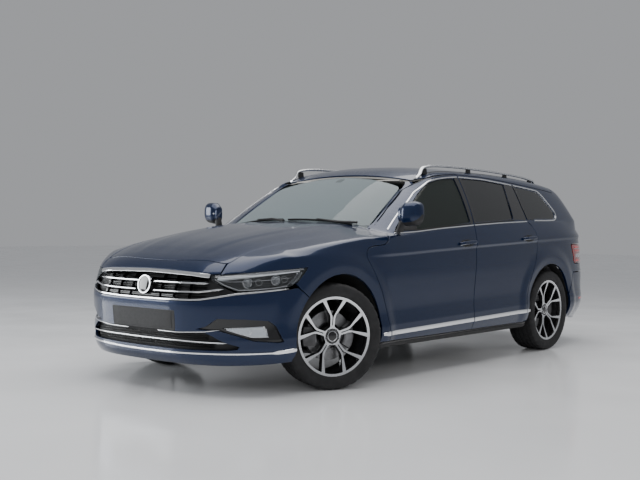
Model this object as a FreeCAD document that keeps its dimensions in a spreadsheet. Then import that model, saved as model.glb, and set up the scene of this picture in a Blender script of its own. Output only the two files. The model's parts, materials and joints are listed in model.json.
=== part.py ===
import FreeCAD, Part
import math, os
from FreeCAD import Vector, Placement, Rotation

# ---------------------------------------------------------------------------
# Station wagon, five doors. Millimetres, x forward, y to the car's left, z up,
# origin on the ground under the middle of the car.
# ---------------------------------------------------------------------------
doc = FreeCAD.newDocument("wagon")
sheet = doc.addObject("Spreadsheet::Sheet", "dims")

DIM = [
    ("front_axle_x", 1506), ("rear_axle_x", -1280), ("wheel_centre_z", 334),
    ("front_track_half", 792), ("rear_track_half", 784),
    ("kingpin_y", 732), ("kingpin_offset", 60), ("steer_rest_deg", 24.3),
    ("tyre_radius", 334), ("tyre_half_width", 117.5), ("tyre_bead_radius", 233), ("tyre_shoulder_radius", 322),
    ("rim_radius", 246), ("rim_half_width", 108), ("rim_barrel_radius", 222), ("rim_wall", 7),
    ("hub_radius", 74), ("hub_bore_radius", 30), ("spoke_inner_radius", 82), ("spoke_outer_radius", 208),
    ("spoke_window_deg", 42), ("face_offset", 92), ("face_thickness", 26), ("disc_radius", 156), ("disc_thickness", 25),
    ("door_depth", 70), ("door_frame_depth", 23), ("shut_gap", 5), ("skin_gap_to_pillar", 7), ("glass_thickness", 5),
    ("arch_radius", 388), ("liner_radius", 402), ("fender_thickness", 14), ("bumper_thickness", 45),
    ("hood_thickness", 22), ("roof_thickness", 34), ("tailgate_thickness", 46), ("quarter_thickness", 95),
    ("front_door_axis_x", 1262), ("rear_door_axis_x", -36), ("door_axis_y", 921),
    ("hood_axis_x", 890), ("hood_axis_z", 1056), ("tailgate_axis_x", -1662), ("tailgate_axis_z", 1452),
    ("floor_z", 205), ("floor_thickness", 22), ("sill_height", 118), ("sill_width", 92), ("cabin_length", 1910),
    ("cabin_width", 1560), ("tunnel_width", 240), ("tunnel_height", 150),
    ("engine_length", 520), ("engine_width", 780), ("engine_height", 490),
    ("tank_length", 520), ("tank_width", 900), ("tank_height", 150),
    ("steering_wheel_radius", 182), ("steering_rim_section", 15), ("column_tilt_deg", 24),
]
VAL = {}
for row, (alias, value) in enumerate(DIM, start=1):
    sheet.set("A%d" % row, alias)
    sheet.set("B%d" % row, str(value))
    sheet.setAlias("B%d" % row, alias)
    VAL[alias] = float(value)
doc.recompute()


def d(alias):
    """A driving dimension, read from the sheet."""
    return float(sheet.get(alias))


# ---------------------------------------------------------------------------
# Body form. Monotone curves through measured points give the half width, the
# belt, the top and the ends, and one function F is negative inside the body.
# ---------------------------------------------------------------------------
def mx(a, b):
    return a if a > b else b


def mn(a, b):
    return a if a < b else b


def ab(v):
    return -v if v < 0 else v


def sqrt(v):
    return math.sqrt(v)


def pw(a, b):
    return 0.0 if a <= 0.0 else a ** b


class Curve:
    def __init__(self, pts):
        pts = sorted(pts)
        self.X = [float(p[0]) for p in pts]
        self.Y = [float(p[1]) for p in pts]
        n = len(pts)
        h = [self.X[i + 1] - self.X[i] for i in range(n - 1)]
        s = [(self.Y[i + 1] - self.Y[i]) / h[i] for i in range(n - 1)]
        m = [0.0] * n
        for i in range(1, n - 1):
            if s[i - 1] * s[i] > 0:
                w1 = 2 * h[i] + h[i - 1]
                w2 = h[i] + 2 * h[i - 1]
                m[i] = (w1 + w2) / (w1 / s[i - 1] + w2 / s[i])
        m[0] = s[0]
        m[-1] = s[-1]
        self.M = m

    def __call__(self, x):
        X = self.X
        x = mn(mx(x, X[0]), X[-1])
        lo, hi = 0, len(X) - 1
        while hi - lo > 1:
            k = (lo + hi) // 2
            if X[k] <= x:
                lo = k
            else:
                hi = k
        h = X[lo + 1] - X[lo]
        t = (x - X[lo]) / h
        q = 1 - t
        return (self.Y[lo] * (1 + 2 * t) * q * q + self.M[lo] * h * t * q * q
                + self.Y[lo + 1] * t * t * (3 - 2 * t) + self.M[lo + 1] * h * t * t * (t - 1))


FXC,RXC,HUBZ=1506.0,-1280.0,334.0
X0F,X0R,NPF,NPR=1100.0,-1300.0,3.6,3.6
XF=Curve([(120,2262),(165,2306),(200,2342),(235,2360),(300,2366),(400,2374),(470,2381),(545,2386.5),(600,2381),(640,2366),(700,2350),(745,2334),(775,2318),(820,2290),(900,2250)])
XR=Curve([(120,-2270),(180,-2320),(230,-2352),(330,-2370),(470,-2380),(560,-2386.5),(640,-2378),(680,-2350),(760,-2334),(860,-2318),(960,-2288),(1010,-2262),(1060,-2228),(1100,-2205)])
ZCR=Curve([(2400,700),(2259,742),(2150,786),(2064,815),(1824,864),(1569,908),(1400,932),(1229,950),(1059,958),(900,967),(657,984),(374,1006),(-82,1035),(-481,1056),(-1025,1073),(-1431,1083),(-1900,1085),(-2400,1078)])
ZCC=Curve([(2400,735),(2330,748),(2306,762),(2280,785),(2250,808),(2200,834),(2130,862),(2050,890),(1900,931),(1700,970),(1500,1002),(1250,1030),(1000,1050),(800,1056),(500,1050),(-82,1045),(-481,1060),(-1425,1092),(-2400,1090)])
YCR=Curve([(2400,700),(2250,770),(2064,825),(1821,852),(1569,864),(1229,872),(1000,874),(657,871),(0,870),(-500,869),(-1000,865),(-1500,853),(-2000,822),(-2400,780)])
PCR=Curve([(0,0),(0.3,0.035),(0.5,0.14),(0.65,0.35),(0.74,0.54),(0.85,0.74),(1,1),(1.2,1.5)])
ZTO=Curve([(1400,833),(1200,842),(870,853),(550,867),(200,881),(-100,893),(-855,922),(-1500,945),(-1950,957),(-2400,962)])
WID=Curve([(2400,906),(1900,908),(1506,908),(1000,911),(500,914),(0,914),(-600,914),(-1280,908),(-1800,900),(-2400,890)])
def ZST(x): return 314.5+(1108.0-x)*0.0208
SEC=Curve([(0,-78),(30,-52),(70,-26),(100,-13),(128,-5),(150,-1),(178,-1),(200,0),(222,-7),(300,-14),(430,-10),(520,-6),(600,-5),(680,-9)])
def smax(a,b,k): return 0.5*(a+b+sqrt((a-b)*(a-b)+k*k))
def smin(a,b,k): return 0.5*(a+b-sqrt((a-b)*(a-b)+k*k))
def sstep(t):
    t=mx(0.0,mn(1.0,t)); return t*t*(3-2*t)
def flare(x,z,xc):
    r=sqrt((x-xc)*(x-xc)+(z-HUBZ)*(z-HUBZ))
    up=13.0*sstep((560.0-r)/105.0)
    return up-6.0*mx(0.0,mn(1.0,(455.0-r)/60.0))
def half_width(x,z):
    zt=ZTO(x); zc=ZCR(x); y1=YCR(x); w=WID(x)
    zs=ZST(x)-146.0
    low=w+SEC(mx(0.0,z-zs))
    fade=sstep((1330.0-x)/330.0)
    d=z-zt
    low=low-fade*(5.0*sstep((d+150.0)/110.0)-9.0*sstep((d+26.0)/24.0))
    up=w-3.0+fade-(w-3.0-y1)*mx(0.0,d/mx(20.0,zc-zt))
    k=4.0+26.0*(1.0-fade)
    return smin(low,up,k)+flare(x,z,FXC)+flare(x,z,RXC)
def top_height(x,a):
    zc=ZCR(x); c=ZCC(x); y1=YCR(x)
    return c-(c-zc)*PCR(a/y1)
def f_low(x,a,z):
    b=half_width(x,z)
    t=mx(0.0,(x-X0F)/(XF(z)-X0F)); tr=mx(0.0,(X0R-x)/(X0R-XR(z)))
    n=NPF if NPF==NPR else NPF
    q=pw(pw(a/b,n)+pw(t,n)+pw(tr,n),1.0/n)
    side=(q-1.0)*b
    top=z-top_height(x,a)
    k=10.0+30.0*sstep((x-1850.0)/300.0)
    return smax(side,top,k)
YBG=Curve([(1200,842),(1060,850),(900,860),(600,867),(0,868),(-500,866),(-1000,861),(-1500,848),(-2000,818),(-2400,785)])
WSB=Curve([(900,-10),(1043,0),(1130,9),(1250,13),(1350,9),(1422,0),(1600,-30)])
ZRC=Curve([(600,1396),(450,1422),(340,1441),(200,1470),(63,1489),(-200,1500),(-600,1501),(-1000,1492),(-1400,1470),(-1700,1443),(-1900,1413),(-2050,1386),(-2200,1356)])
def glass_side(x,z):
    zb=ZCR(x); h=mx(-60.0,z-zb)
    return YBG(x)-0.335*h-0.00034*h*mx(h,0.0)
def wscreen(a,z): return 1013.0-(z-1043.0)*1.71+WSB(z)-0.00027*a*a
def roof(x,a): return ZRC(x)-48.0*pw(a/640.0,2.2)
def rear_screen(a,z): return -1905.0-(1395.0-z)*0.86+0.00030*a*a
def f_green(x,a,z):
    s=a-glass_side(x,z)
    w=(x-wscreen(a,z))*0.505
    r=z-roof(x,a)
    b=(rear_screen(a,z)-x)*0.758
    g=smax(s,w,22.0)
    g=smax(g,r,40.0)
    g=smax(g,b,55.0)
    return mx(g,ZCR(x)-60.0-z)
def F(x,y,z):
    a=ab(y)
    return smin(f_low(x,a,z),f_green(x,a,z),5.0)


def cast(origin, direction, reach, fn=None):
    """Distance from an inside point along a direction to the body's surface."""
    fn = fn or F
    ox, oy, oz = origin
    dx, dy, dz = direction
    lo, hi = 0.0, float(reach)
    for _ in range(20):
        m = 0.5 * (lo + hi)
        if fn(ox + dx * m, oy + dy * m, oz + dz * m) > 0:
            hi = m
        else:
            lo = m
    return 0.5 * (lo + hi)


def lin(a, b, n):
    return [a + (b - a) * i / (n - 1.0) for i in range(n)]


# ray families: each returns the surface point and one set in by a depth
def side_ray(x, z, depths):
    r = cast((x, 0.0, z), (0.0, 1.0, 0.0), 1000.0)
    return [Vector(x, r - q, z) for q in depths]


def top_ray(x, y, depths):
    r = cast((x, y, 420.0), (0.0, 0.0, 1.0), 1200.0)
    return [Vector(x, y, 420.0 + r - q) for q in depths]


def front_ray(deg, z, depths, x0=1250.0):
    a = math.radians(deg)
    c, s = math.cos(a), math.sin(a)
    r = cast((x0, 0.0, z), (c, s, 0.0), 1500.0)
    return [Vector(x0 + c * (r - q), s * (r - q), z) for q in depths]


def rear_ray(deg, z, depths, x0=-1400.0):
    a = math.radians(deg)
    c, s = -math.cos(a), math.sin(a)
    r = cast((x0, 0.0, z), (c, s, 0.0), 1500.0)
    return [Vector(x0 + c * (r - q), s * (r - q), z) for q in depths]


def arc_ray(x, deg, depths, y0=0.0, z0=900.0):
    a = math.radians(deg)
    s, c = math.sin(a), math.cos(a)
    r = cast((x, y0, z0), (0.0, s, c), 1200.0)
    return [Vector(x, y0 + s * (r - q), z0 + c * (r - q)) for q in depths]


def nose_ray(y, z, depths):
    r = cast((900.0, y, z), (1.0, 0.0, 0.0), 1700.0)
    return [Vector(900.0 + r - q, y, z) for q in depths]


def screen_only(x, y, z):
    a = ab(y)
    return smax((x - wscreen(a, z)) * 0.505, z - roof(x, a), 40.0)


def screen_ray(y, s, depths):
    """Windshield: s runs from under the cowl (0) to the header (1), rays square to the glass."""
    z = 1000.0 + 425.0 * s
    x = 1013.0 - 1.71 * (z - 1043.0)
    n = (0.505, 0.0, 0.863)
    o = (x - 400.0 * n[0], y, z - 400.0 * n[2])
    r = cast(o, n, 700.0, screen_only)
    return [Vector(o[0] + (r - q) * n[0], y, o[2] + (r - q) * n[2]) for q in depths]


def tail_ray(y, deg, depths):
    """Tailgate: rays from a line inside the load space, from straight up to the rear."""
    a = math.radians(deg)
    s, c = -math.sin(a), math.cos(a)
    r = cast((-1500.0, y, 900.0), (s, 0.0, c), 1200.0)
    return [Vector(-1500.0 + s * (r - q), y, 900.0 + c * (r - q)) for q in depths]


def surface(grid):
    s = Part.BSplineSurface()
    s.interpolate(grid)
    return s


def slab(fn, us, vs, depth_out, depth_in):
    """A curved plate between two depths under the body's surface."""
    go, gi = [], []
    for u in us:
        ro, ri = [], []
        for v in vs:
            p, q = fn(u, v, (depth_out, depth_in))
            ro.append(p)
            ri.append(q)
        go.append(ro)
        gi.append(ri)
    so, si = surface(go), surface(gi)
    u0, u1, v0, v1 = so.bounds()
    a0, a1, b0, b1 = si.bounds()
    faces = [so.toShape(), si.toShape()]
    for co, ci in ((so.uIso(u0), si.uIso(a0)), (so.uIso(u1), si.uIso(a1)),
                   (so.vIso(v0), si.vIso(b0)), (so.vIso(v1), si.vIso(b1))):
        faces.append(Part.makeRuledSurface(co.toShape(), ci.toShape()))
    shell = Part.makeShell(faces)
    shell.sewShape()
    solid = Part.makeSolid(Part.Shell(shell.Faces))
    if solid.Volume < 0:
        solid.reverse()
    return solid


def face_of(pts3):
    return Part.Face(Part.makePolygon(pts3 + [pts3[0]]))


def prism_y(pts, y0, y1):
    return face_of([Vector(x, y0, z) for x, z in pts]).extrude(Vector(0, y1 - y0, 0))


def prism_x(pts, x0, x1):
    return face_of([Vector(x0, y, z) for y, z in pts]).extrude(Vector(x1 - x0, 0, 0))


def prism_z(pts, z0, z1):
    return face_of([Vector(x, y, z0) for x, y in pts]).extrude(Vector(0, 0, z1 - z0))


def box(x0, x1, y0, y1, z0, z1):
    return Part.makeBox(x1 - x0, y1 - y0, z1 - z0, Vector(x0, y0, z0))


def rounded(pts, r, n=5):
    """A closed outline with its corners rounded by r (or a radius for each corner)."""
    out = []
    m = len(pts)
    for i in range(m):
        p0, p1, p2 = pts[i - 1], pts[i], pts[(i + 1) % m]
        rr = r[i] if isinstance(r, (list, tuple)) else r
        a = (p0[0] - p1[0], p0[1] - p1[1])
        b = (p2[0] - p1[0], p2[1] - p1[1])
        la, lb = math.hypot(*a), math.hypot(*b)
        a = (a[0] / la, a[1] / la)
        b = (b[0] / lb, b[1] / lb)
        ca = mx(-1.0, mn(1.0, a[0] * b[0] + a[1] * b[1]))
        ang = math.acos(ca)
        if rr <= 0 or ang > 3.05:
            out.append(p1)
            continue
        t = mn(rr / math.tan(ang / 2), 0.45 * mn(la, lb))
        q0 = (p1[0] + a[0] * t, p1[1] + a[1] * t)
        q2 = (p1[0] + b[0] * t, p1[1] + b[1] * t)
        for k in range(n + 1):
            w = k / float(n)
            out.append(((1 - w) ** 2 * q0[0] + 2 * w * (1 - w) * p1[0] + w * w * q2[0],
                        (1 - w) ** 2 * q0[1] + 2 * w * (1 - w) * p1[1] + w * w * q2[1]))
    return out


def mirrored(shape):
    return shape.mirror(Vector(0, 0, 0), Vector(0, 1, 0))


def solids(shape, least=2000.0):
    s = [q for q in shape.Solids if q.Volume > least]
    return s[0] if len(s) == 1 else Part.makeCompound(s)


NODES = []


def feature(name, shape):
    """A free-form piece: the shape set from the sheet's sizes."""
    o = doc.addObject("Part::Feature", name)
    o.Shape = shape
    o.Placement = Placement()
    o.Label = name
    NODES.append(o)
    return o


def bound(kind, name, exprs, pos=(0, 0, 0), rot=None):
    o = doc.addObject(kind, name)
    for prop, e in exprs.items():
        o.setExpression(prop, e)
    o.Placement = Placement(Vector(*pos), rot if rot else Rotation())
    return o


def node(o, name):
    o.Label = name
    NODES.append(o)
    return o


GAP = d("shut_gap")
H = GAP / 2.0

# ---------------------------------------------------------------------------
# Shut lines in side view (x, z), at the middle of each gap
# ---------------------------------------------------------------------------
def moved(pts, off):
    """A closed outline grown (off > 0) or shrunk (off < 0)."""
    n = len(pts)
    area = sum(pts[i - 1][0] * pts[i][1] - pts[i][0] * pts[i - 1][1] for i in range(n))
    sg = 1.0 if area > 0 else -1.0
    out = []
    for i in range(n):
        p0, p1, p2 = pts[i - 1], pts[i], pts[(i + 1) % n]
        a = (p1[0] - p0[0], p1[1] - p0[1])
        b = (p2[0] - p1[0], p2[1] - p1[1])
        la, lb = math.hypot(*a), math.hypot(*b)
        na = (a[1] / la * sg, -a[0] / la * sg)
        nb = (b[1] / lb * sg, -b[0] / lb * sg)
        s = (na[0] + nb[0], na[1] + nb[1])
        k = mx(0.35, 1.0 + na[0] * nb[0] + na[1] * nb[1])
        out.append((p1[0] + s[0] * off / k, p1[1] + s[1] * off / k))
    return out


B_SHUT = [(-34, 262), (-50, 500), (-68, 750), (-80, 930), (-92, 1041), (-104, 1250), (-118, 1425)]
FRONT_TOP = [(25, 1415), (170, 1399), (300, 1375), (400, 1335), (492, 1288), (733, 1142), (930, 1014), (985, 975)]
FRONT_LEAD = [(1020, 930), (1071, 905), (1167, 897), (1229, 884), (1258, 858), (1264, 827), (1200, 735), (1120, 600),
              (1065, 470), (1039, 373), (1028, 306), (1026, 262)]
FRONT_DOOR = B_SHUT + FRONT_TOP + FRONT_LEAD
REAR_EDGE = [(-898, 1390), (-908, 1200), (-932, 1082), (-985, 1040), (-1030, 985), (-1046, 920), (-1040, 850), (-1005, 770),
             (-950, 672), (-890, 560), (-855, 450), (-838, 340), (-830, 262)]
REAR_DOOR = B_SHUT + [(-459, 1420), (-786, 1399)] + REAR_EDGE
ROOF_LINE = [(352, 1362), (300, 1377.5), (170, 1401.5), (25, 1417.5), (-118, 1427.5), (-459, 1422.5), (-786, 1401.5),
             (-898, 1392.5), (-1052, 1381), (-1300, 1362), (-1500, 1345), (-1660, 1330), (-1800, 1315)]
FRONT_WINDOW = [(-52, 1060), (-60, 1390), (22, 1388), (165, 1372), (292, 1347), (388, 1306), (478, 1260), (716, 1114),
                (868, 1010), (885, 992), (650, 1004), (374, 1023)]
REAR_WINDOW = [(-134, 1062), (-150, 1396), (-459, 1393), (-770, 1371), (-735, 1230), (-716, 1092), (-482, 1078)]
QUARTER_WINDOW = [(-956, 1098), (-934, 1200), (-922, 1360), (-1052, 1350), (-1292, 1328), (-1340, 1300), (-1392, 1248),
                  (-1480, 1160), (-1470, 1120), (-1450, 1108), (-1434, 1104)]



def side_slab(x0, x1, z0, dz, nx, nz, d_out, d_in):
    """Lower side from z0 up to dz over the belt."""
    def fn(x, w, depths):
        z = z0 + w * (ZCR(x) + dz - z0)
        return side_ray(x, z, depths)
    return slab(fn, lin(x0, x1, nx), lin(0.0, 1.0, nz), d_out, d_in)


ZT = Curve([(1010, 972), (985, 985), (930, 1026), (733, 1155), (492, 1302), (400, 1349), (300, 1388), (170, 1412), (25, 1428), (-118, 1437),
            (-459, 1432), (-786, 1411), (-898, 1402), (-1052, 1391), (-1300, 1372), (-1500, 1355), (-1660, 1340), (-1800, 1325)])


def side_form(x, y, z):
    """Flank and side glass alone, carried on past the windshield."""
    a = ab(y)
    return smin(f_low(x, a, z), a - glass_side(x, z), 5.0)


def upper_slab(x0, x1, nx, nz, d_out, d_in, dz=-30.0, dt=0.0):
    """Window frame zone from just under the belt to the roof line."""
    def fn(x, w, depths):
        z0 = ZCR(x) + dz
        z = z0 + w * (ZT(x) + dt - z0)
        r = cast((x, 0.0, z), (0.0, 1.0, 0.0), 1300.0, side_form)
        return [Vector(x, r - k, z) for k in depths]
    return slab(fn, lin(x0, x1, nx), lin(0.0, 1.0, nz), d_out, d_in)


def screen_edge(z):
    return 1013.0 - 1.71 * (z - 1043.0) - 135.0


DD, DF = d("door_depth"), d("door_frame_depth")

# ---- doors (left ones made, right ones mirrored) ----
low = side_slab(-70.0, 1285.0, 250.0, 4.0, 24, 20, 0.0, DD)
up = upper_slab(-135.0, 985.0, 22, 10, 2.0, 2.0 + DF)
pr = prism_y(moved(FRONT_DOOR, -H), 400.0, 1000.0)
win = prism_y(FRONT_WINDOW, 400.0, 1000.0)
fd = low.common(pr).fuse(up.common(pr)).cut(win)
fd = solids(fd)
feature("left_front_door", fd)
feature("right_front_door", mirrored(fd))
gl = upper_slab(-135.0, 985.0, 22, 10, 8.0, 8.0 + d("glass_thickness"), -10.0)
g1 = solids(gl.common(prism_y(moved(FRONT_WINDOW, -0.6), 400.0, 1000.0)))
feature("left_front_window", g1)
feature("right_front_window", mirrored(g1))

low = side_slab(-1060.0, -20.0, 250.0, 4.0, 20, 20, 0.0, DD)
up = upper_slab(-940.0, -85.0, 12, 10, 2.0, 2.0 + DF)
pr = prism_y(moved(REAR_DOOR, -H), 400.0, 1000.0)
win = prism_y(REAR_WINDOW, 400.0, 1000.0)
rd = solids(low.common(pr).fuse(up.common(pr)).cut(win))
feature("left_rear_door", rd)
feature("right_rear_door", mirrored(rd))
gl = upper_slab(-940.0, -85.0, 12, 10, 8.0, 8.0 + d("glass_thickness"), -10.0)
g2 = solids(gl.common(prism_y(moved(REAR_WINDOW, -0.6), 400.0, 1000.0)))
feature("left_rear_window", g2)
feature("right_rear_window", mirrored(g2))

# ---- door mirrors: a shell on a foot at the front corner of the window ----
hs = Part.makeLoft([Part.Wire(Part.makePolygon([Vector(x, y, z) for y, z in rounded(pr2, 22)] +
                    [Vector(x, rounded(pr2, 22)[0][0], rounded(pr2, 22)[0][1])]))
                    for x, pr2 in ((796.0, [(868, 1066), (1036, 1082), (1034, 1178), (985, 1190), (872, 1150)]),
                                   (862.0, [(866, 1052), (1030, 1060), (1032, 1172), (975, 1186), (868, 1152)]),
                                   (915.0, [(872, 1058), (1000, 1066), (1002, 1150), (960, 1166), (880, 1136)]),
                                   (938.0, [(884, 1080), (970, 1084), (966, 1128), (950, 1136), (892, 1120)]))], True)
foot = Part.makeLoft([Part.makePolygon([Vector(x0, y, z), Vector(x1, y, z), Vector(x1, y2, z2), Vector(x0, y2, z2), Vector(x0, y, z)])
                      for x0, x1, y, z, y2, z2 in ((812, 905, 862.0, 985.0, 872.0, 966.0), (818, 900, 895.0, 1075.0, 935.0, 1062.0))], True)
mir = solids(hs.fuse(foot).cut(fd).cut(g1))
feature("left_mirror", mir)
feature("right_mirror", mirrored(mir))

# ---- front fenders ----
AR, FX, RX, HZ = d("arch_radius"), d("front_axle_x"), d("rear_axle_x"), d("wheel_centre_z")
HOOD_GAP = [(880, 668), (954, 669), (1120, 676), (1282, 678), (1420, 673), (1551, 662), (1720, 632), (1899, 600), (2059, 576),
            (2130, 569), (2172, 562)]
HOOD_FRONT = [(2192, 544), (2203, 500), (2212, 414), (2230, 263), (2240, 130), (2243, 0)]


def shoulder_ray(x, deg, depths):
    return arc_ray(x, deg, depths, 430.0, 560.0)


def arch(x, r, y0, y1):
    c = Part.makeCylinder(r, y1 - y0, Vector(x, y0, HZ), Vector(0, 1, 0))
    return c.fuse(box(x - r, x + r, y0, y1, -50.0, HZ))


fs = slab(shoulder_ray, lin(955.0, 2200.0, 26), lin(18.0, 131.0, 20), 0.0, d("fender_thickness"))
FENDER_SPLIT = [(1806, 773), (1830, 735), (1893, 655), (1800, 588)]
side_area = ([(2250, 1150), (940, 1150), (940, 990), (985, 975)] + FRONT_LEAD + [(1790, 262), (1800, 588)]
             + [(1893, 655), (1830, 735), (1806, 773), (2100, 747), (2250, 735)])
fo = prism_y(moved(side_area, -H), 300.0, 1000.0)
plan = prism_z([(x, y + H) for x, y in HOOD_GAP] + [(2187, 566), (2215, 560), (2290, 560), (2290, 1000), (880, 1000)], 0.0, 1200.0)
fen = fs.common(fo).common(plan).cut(arch(FX, AR, 300.0, 1000.0))
fen = fen.cut(prism_y(moved(FRONT_DOOR, H), 300.0, 1000.0))
fen = solids(fen, 20000.0)

# ---- hood ----
REAR_H = [(1040.0 - 0.00032 * a * a, a) for a in (0, 150, 300, 450, 560, 640)]
hp = [(x, y - H) for x, y in HOOD_GAP if x > 930] + [(x - H, y - H * 0.7) for x, y in HOOD_FRONT]
half = [(x, mx(0.0, y)) for x, y in hp]
outline = list(REAR_H[:-1]) + [(905.0, 640.0), (893.0, 664.0)] + half
outline = [p for p in outline]
full = outline + [(x, -y) for x, y in reversed(outline) if y > 0]
YM = Curve([(880, 700), (1700, 700), (1900, 680), (2100, 630), (2262, 556)])
hs = slab(lambda x, v, q: top_ray(x, v * YM(x), q), lin(882.0, 2258.0, 28), lin(-1.0, 1.0, 25), 0.0, d("hood_thickness"))
hood = solids(hs.common(prism_z(full, 300.0, 1300.0)), 20000.0)
feature("hood", hood)

# ---- windshield ----
WS = [(0, 1402), (286, 1389), (507, 1362), (566, 1352), (588, 1330), (650, 1060), (651, 1044), (560, 1046), (300, 1052), (0, 1055)]
wpoly = WS + [(-y, z) for y, z in reversed(WS) if y > 0]


def glass_ray(y, s, depths):
    return screen_ray(y * (662.0 - 62.0 * s), s, depths)


gs = slab(glass_ray, lin(-1.0, 1.0, 15), lin(0.08, 0.97, 12), 3.0, 3.0 + d("glass_thickness"))
feature("windshield", solids(gs.common(prism_x(wpoly, 200.0, 1300.0))))

# ---- roof with its side rails ----
def roof_fn(x, deg, depths):
    return arc_ray(x, deg, depths, 0.0, 900.0)


rs = slab(roof_fn, [-1800, -1720, -1640, -1550, -1400, -1200, -1000, -800, -600, -400, -200, 0, 120, 220, 300, 347],
          [-57, -54, -51, -48, -45, -41, -36, -28, -18, -8, 0, 8, 18, 28, 36, 41, 45, 48, 51, 54, 57], 0.0, d("roof_thickness"))
ROOF_AREA = ROOF_LINE + [(-1800, 1600), (352, 1600)]
rs = rs.common(prism_y(ROOF_AREA, -800.0, 800.0))
TG = [(0, 1520), (590, 1520), (592, 1440), (600, 1385), (632, 1110), (622, 1000), (578, 900), (562, 650), (0, 650)]
tg_full = TG + [(-y, z) for y, z in reversed(TG) if y > 0]
tgx = d("tailgate_axis_x")
rs = rs.cut(prism_x(moved(tg_full, H), -2400.0, tgx + H))
feature("roof", solids(rs, 20000.0))

# ---- tailgate: upper skin as a spoiler, back panel with its window ----
ts = slab(tail_ray, lin(-650.0, 650.0, 19), [16, 20, 24, 28, 31, 34, 38, 44, 50, 57, 64, 70, 76, 82, 88, 94, 100, 106, 112],
          0.0, d("tailgate_thickness"))
ts = ts.common(prism_x(moved(tg_full, -H), -2400.0, tgx - H))
REAR_GLASS = [(0, 1352), (470, 1346), (520, 1330), (548, 1290), (572, 1120), (560, 1070), (500, 1052), (0, 1048)]
rg_full = REAR_GLASS + [(-y, z) for y, z in reversed(REAR_GLASS) if y > 0]
ts = ts.cut(prism_x(rg_full, -2400.0, -1750.0))
feature("tailgate", solids(ts, 20000.0))
rgs = slab(tail_ray, lin(-650.0, 650.0, 15), [26, 32, 38, 44, 50, 57, 64, 70, 76, 82, 88], 6.0, 6.0 + d("glass_thickness"))
feature("rear_window", solids(rgs.common(prism_x(moved(rg_full, -0.6), -2400.0, -1750.0))))

# ---- quarter panels ----
QT = d("quarter_thickness")


def corner_ray(z, deg, depths):
    """Fan about an upright line inside the rear corner."""
    xo = -1700.0 if z < 985 else -1700.0 + (z - 985.0) * 0.80
    a = math.radians(deg)
    c, s = -math.cos(a), math.sin(a)
    r = cast((xo, 430.0, z), (c, s, 0.0), 1200.0)
    return [Vector(xo + c * (r - q), 430.0 + s * (r - q), z) for q in depths]


qlow = side_slab(-1850.0, -800.0, 250.0, 4.0, 22, 20, 0.0, QT)
qup = upper_slab(-1690.0, -885.0, 14, 10, 2.0, QT - 30.0, 4.6)
qc = slab(corner_ray, [640, 700, 760, 820, 880, 930, 970, 985, 1010, 1050, 1090, 1130, 1180, 1230, 1280, 1320, 1352],
          lin(8.0, 84.0, 16), 1.0, 48.0)
top_line = [(x, z - 1.0) for x, z in ROOF_LINE if x < -850]
qa = [(-884, 1430)] + []
q_area = [(-892, 1391.5)] + top_line[1:] + [(-2300, 1315), (-2300, 643), (-1750, 643), (-1655, 470), (-1655, 262)] + list(reversed(REAR_EDGE[1:]))
qp = prism_y(moved(q_area, -0.1), 300.0, 1000.0)


def trimmed(s):
    s = s.common(qp).cut(prism_y(moved(REAR_DOOR, H), 300.0, 1000.0)).cut(arch(RX, AR, 300.0, 1000.0))
    return s.cut(prism_x(moved(tg_full, H), -2500.0, tgx + H)).cut(prism_y(QUARTER_WINDOW, 400.0, 1000.0))


qlow = trimmed(qlow).cut(box(-2500.0, -1760.0, 300.0, 1000.0, 100.0, 1500.0))
qup = trimmed(qup).cut(box(-2500.0, -1685.0, 300.0, 1000.0, 100.0, 1500.0))
qc = trimmed(qc).cut(box(-1760.4, -700.0, 300.0, 1000.0, 100.0, 1094.0)).cut(box(-1685.4, -700.0, 300.0, 1000.0, 1093.0, 1500.0))


# ---- lamps: each fills a field between two edge curves ----
def field(x0, a0, a1, zlo, zhi, na, nz, d0, d1, back=False):
    ray = rear_ray if back else front_ray

    def fn(a, w, depths):
        lo, hi = zlo(a), zhi(a)
        return ray(a, lo + w * (hi - lo), depths, x0)
    return slab(fn, lin(a0, a1, na), lin(0.0, 1.0, nz), d0, d1)


LT = Curve([(20, 722), (26.4, 725), (40, 744), (56.6, 768), (62, 776)])
LB = Curve([(20, 700), (26.4, 690), (34.5, 630), (42, 636), (50, 650), (56.6, 745), (62, 760)])
lamp = field(1250.0, 26.6, 56.4, lambda a: LB(a) + H, lambda a: LT(a) - H, 16, 7, 2.0, 72.0)
cutl = field(1250.0, 26.2, 57.6, lambda a: LB(a) - H, lambda a: LT(a) + H, 16, 7, -60.0, 200.0)
fen = solids(fen.cut(cutl), 20000.0)
feature("front_fenders", Part.makeCompound(fen.Solids + mirrored(fen).Solids))
RT = Curve([(20, 888), (60, 888), (80, 884)])
tail = field(-1400.0, 39.5, 70.5, lambda a: 716.0, lambda a: 886.0, 10, 8, 2.0, 44.0, True)
tcut = field(-1400.0, 39.0, 71.0, lambda a: 716.0 - H, lambda a: 886.0 + H, 10, 8, -60.0, 47.0, True)
tdeep = field(-1400.0, 39.0, 71.0, lambda a: 700.0, lambda a: 900.0, 10, 8, -60.0, 90.0, True)
q_parts = [qlow.cut(tcut), qup.cut(tcut), qc.common(box(-2500.0, -1760.4, 300.0, 1000.0, 889.4, 1094.0)).cut(tcut),
           qc.common(box(-2500.0, -1685.4, 300.0, 1000.0, 1094.5, 1500.0)),
           qc.common(box(-2500.0, -1760.4, 300.0, 1000.0, 600.0, 712.5)).cut(tcut),
           qc.common(box(-2500.0, -1760.4, 300.0, 1000.0, 713.0, 889.0)).cut(tdeep)]
q = []
for part in q_parts:
    for s in part.Solids:
        if s.Volume > 20000.0:
            q.append(s)
            print("quarter", s.isValid(), round(s.Volume / 1000))
q = Part.makeCompound(q)
feature("quarter_panels", Part.makeCompound(q.Solids + mirrored(q).Solids))
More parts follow.
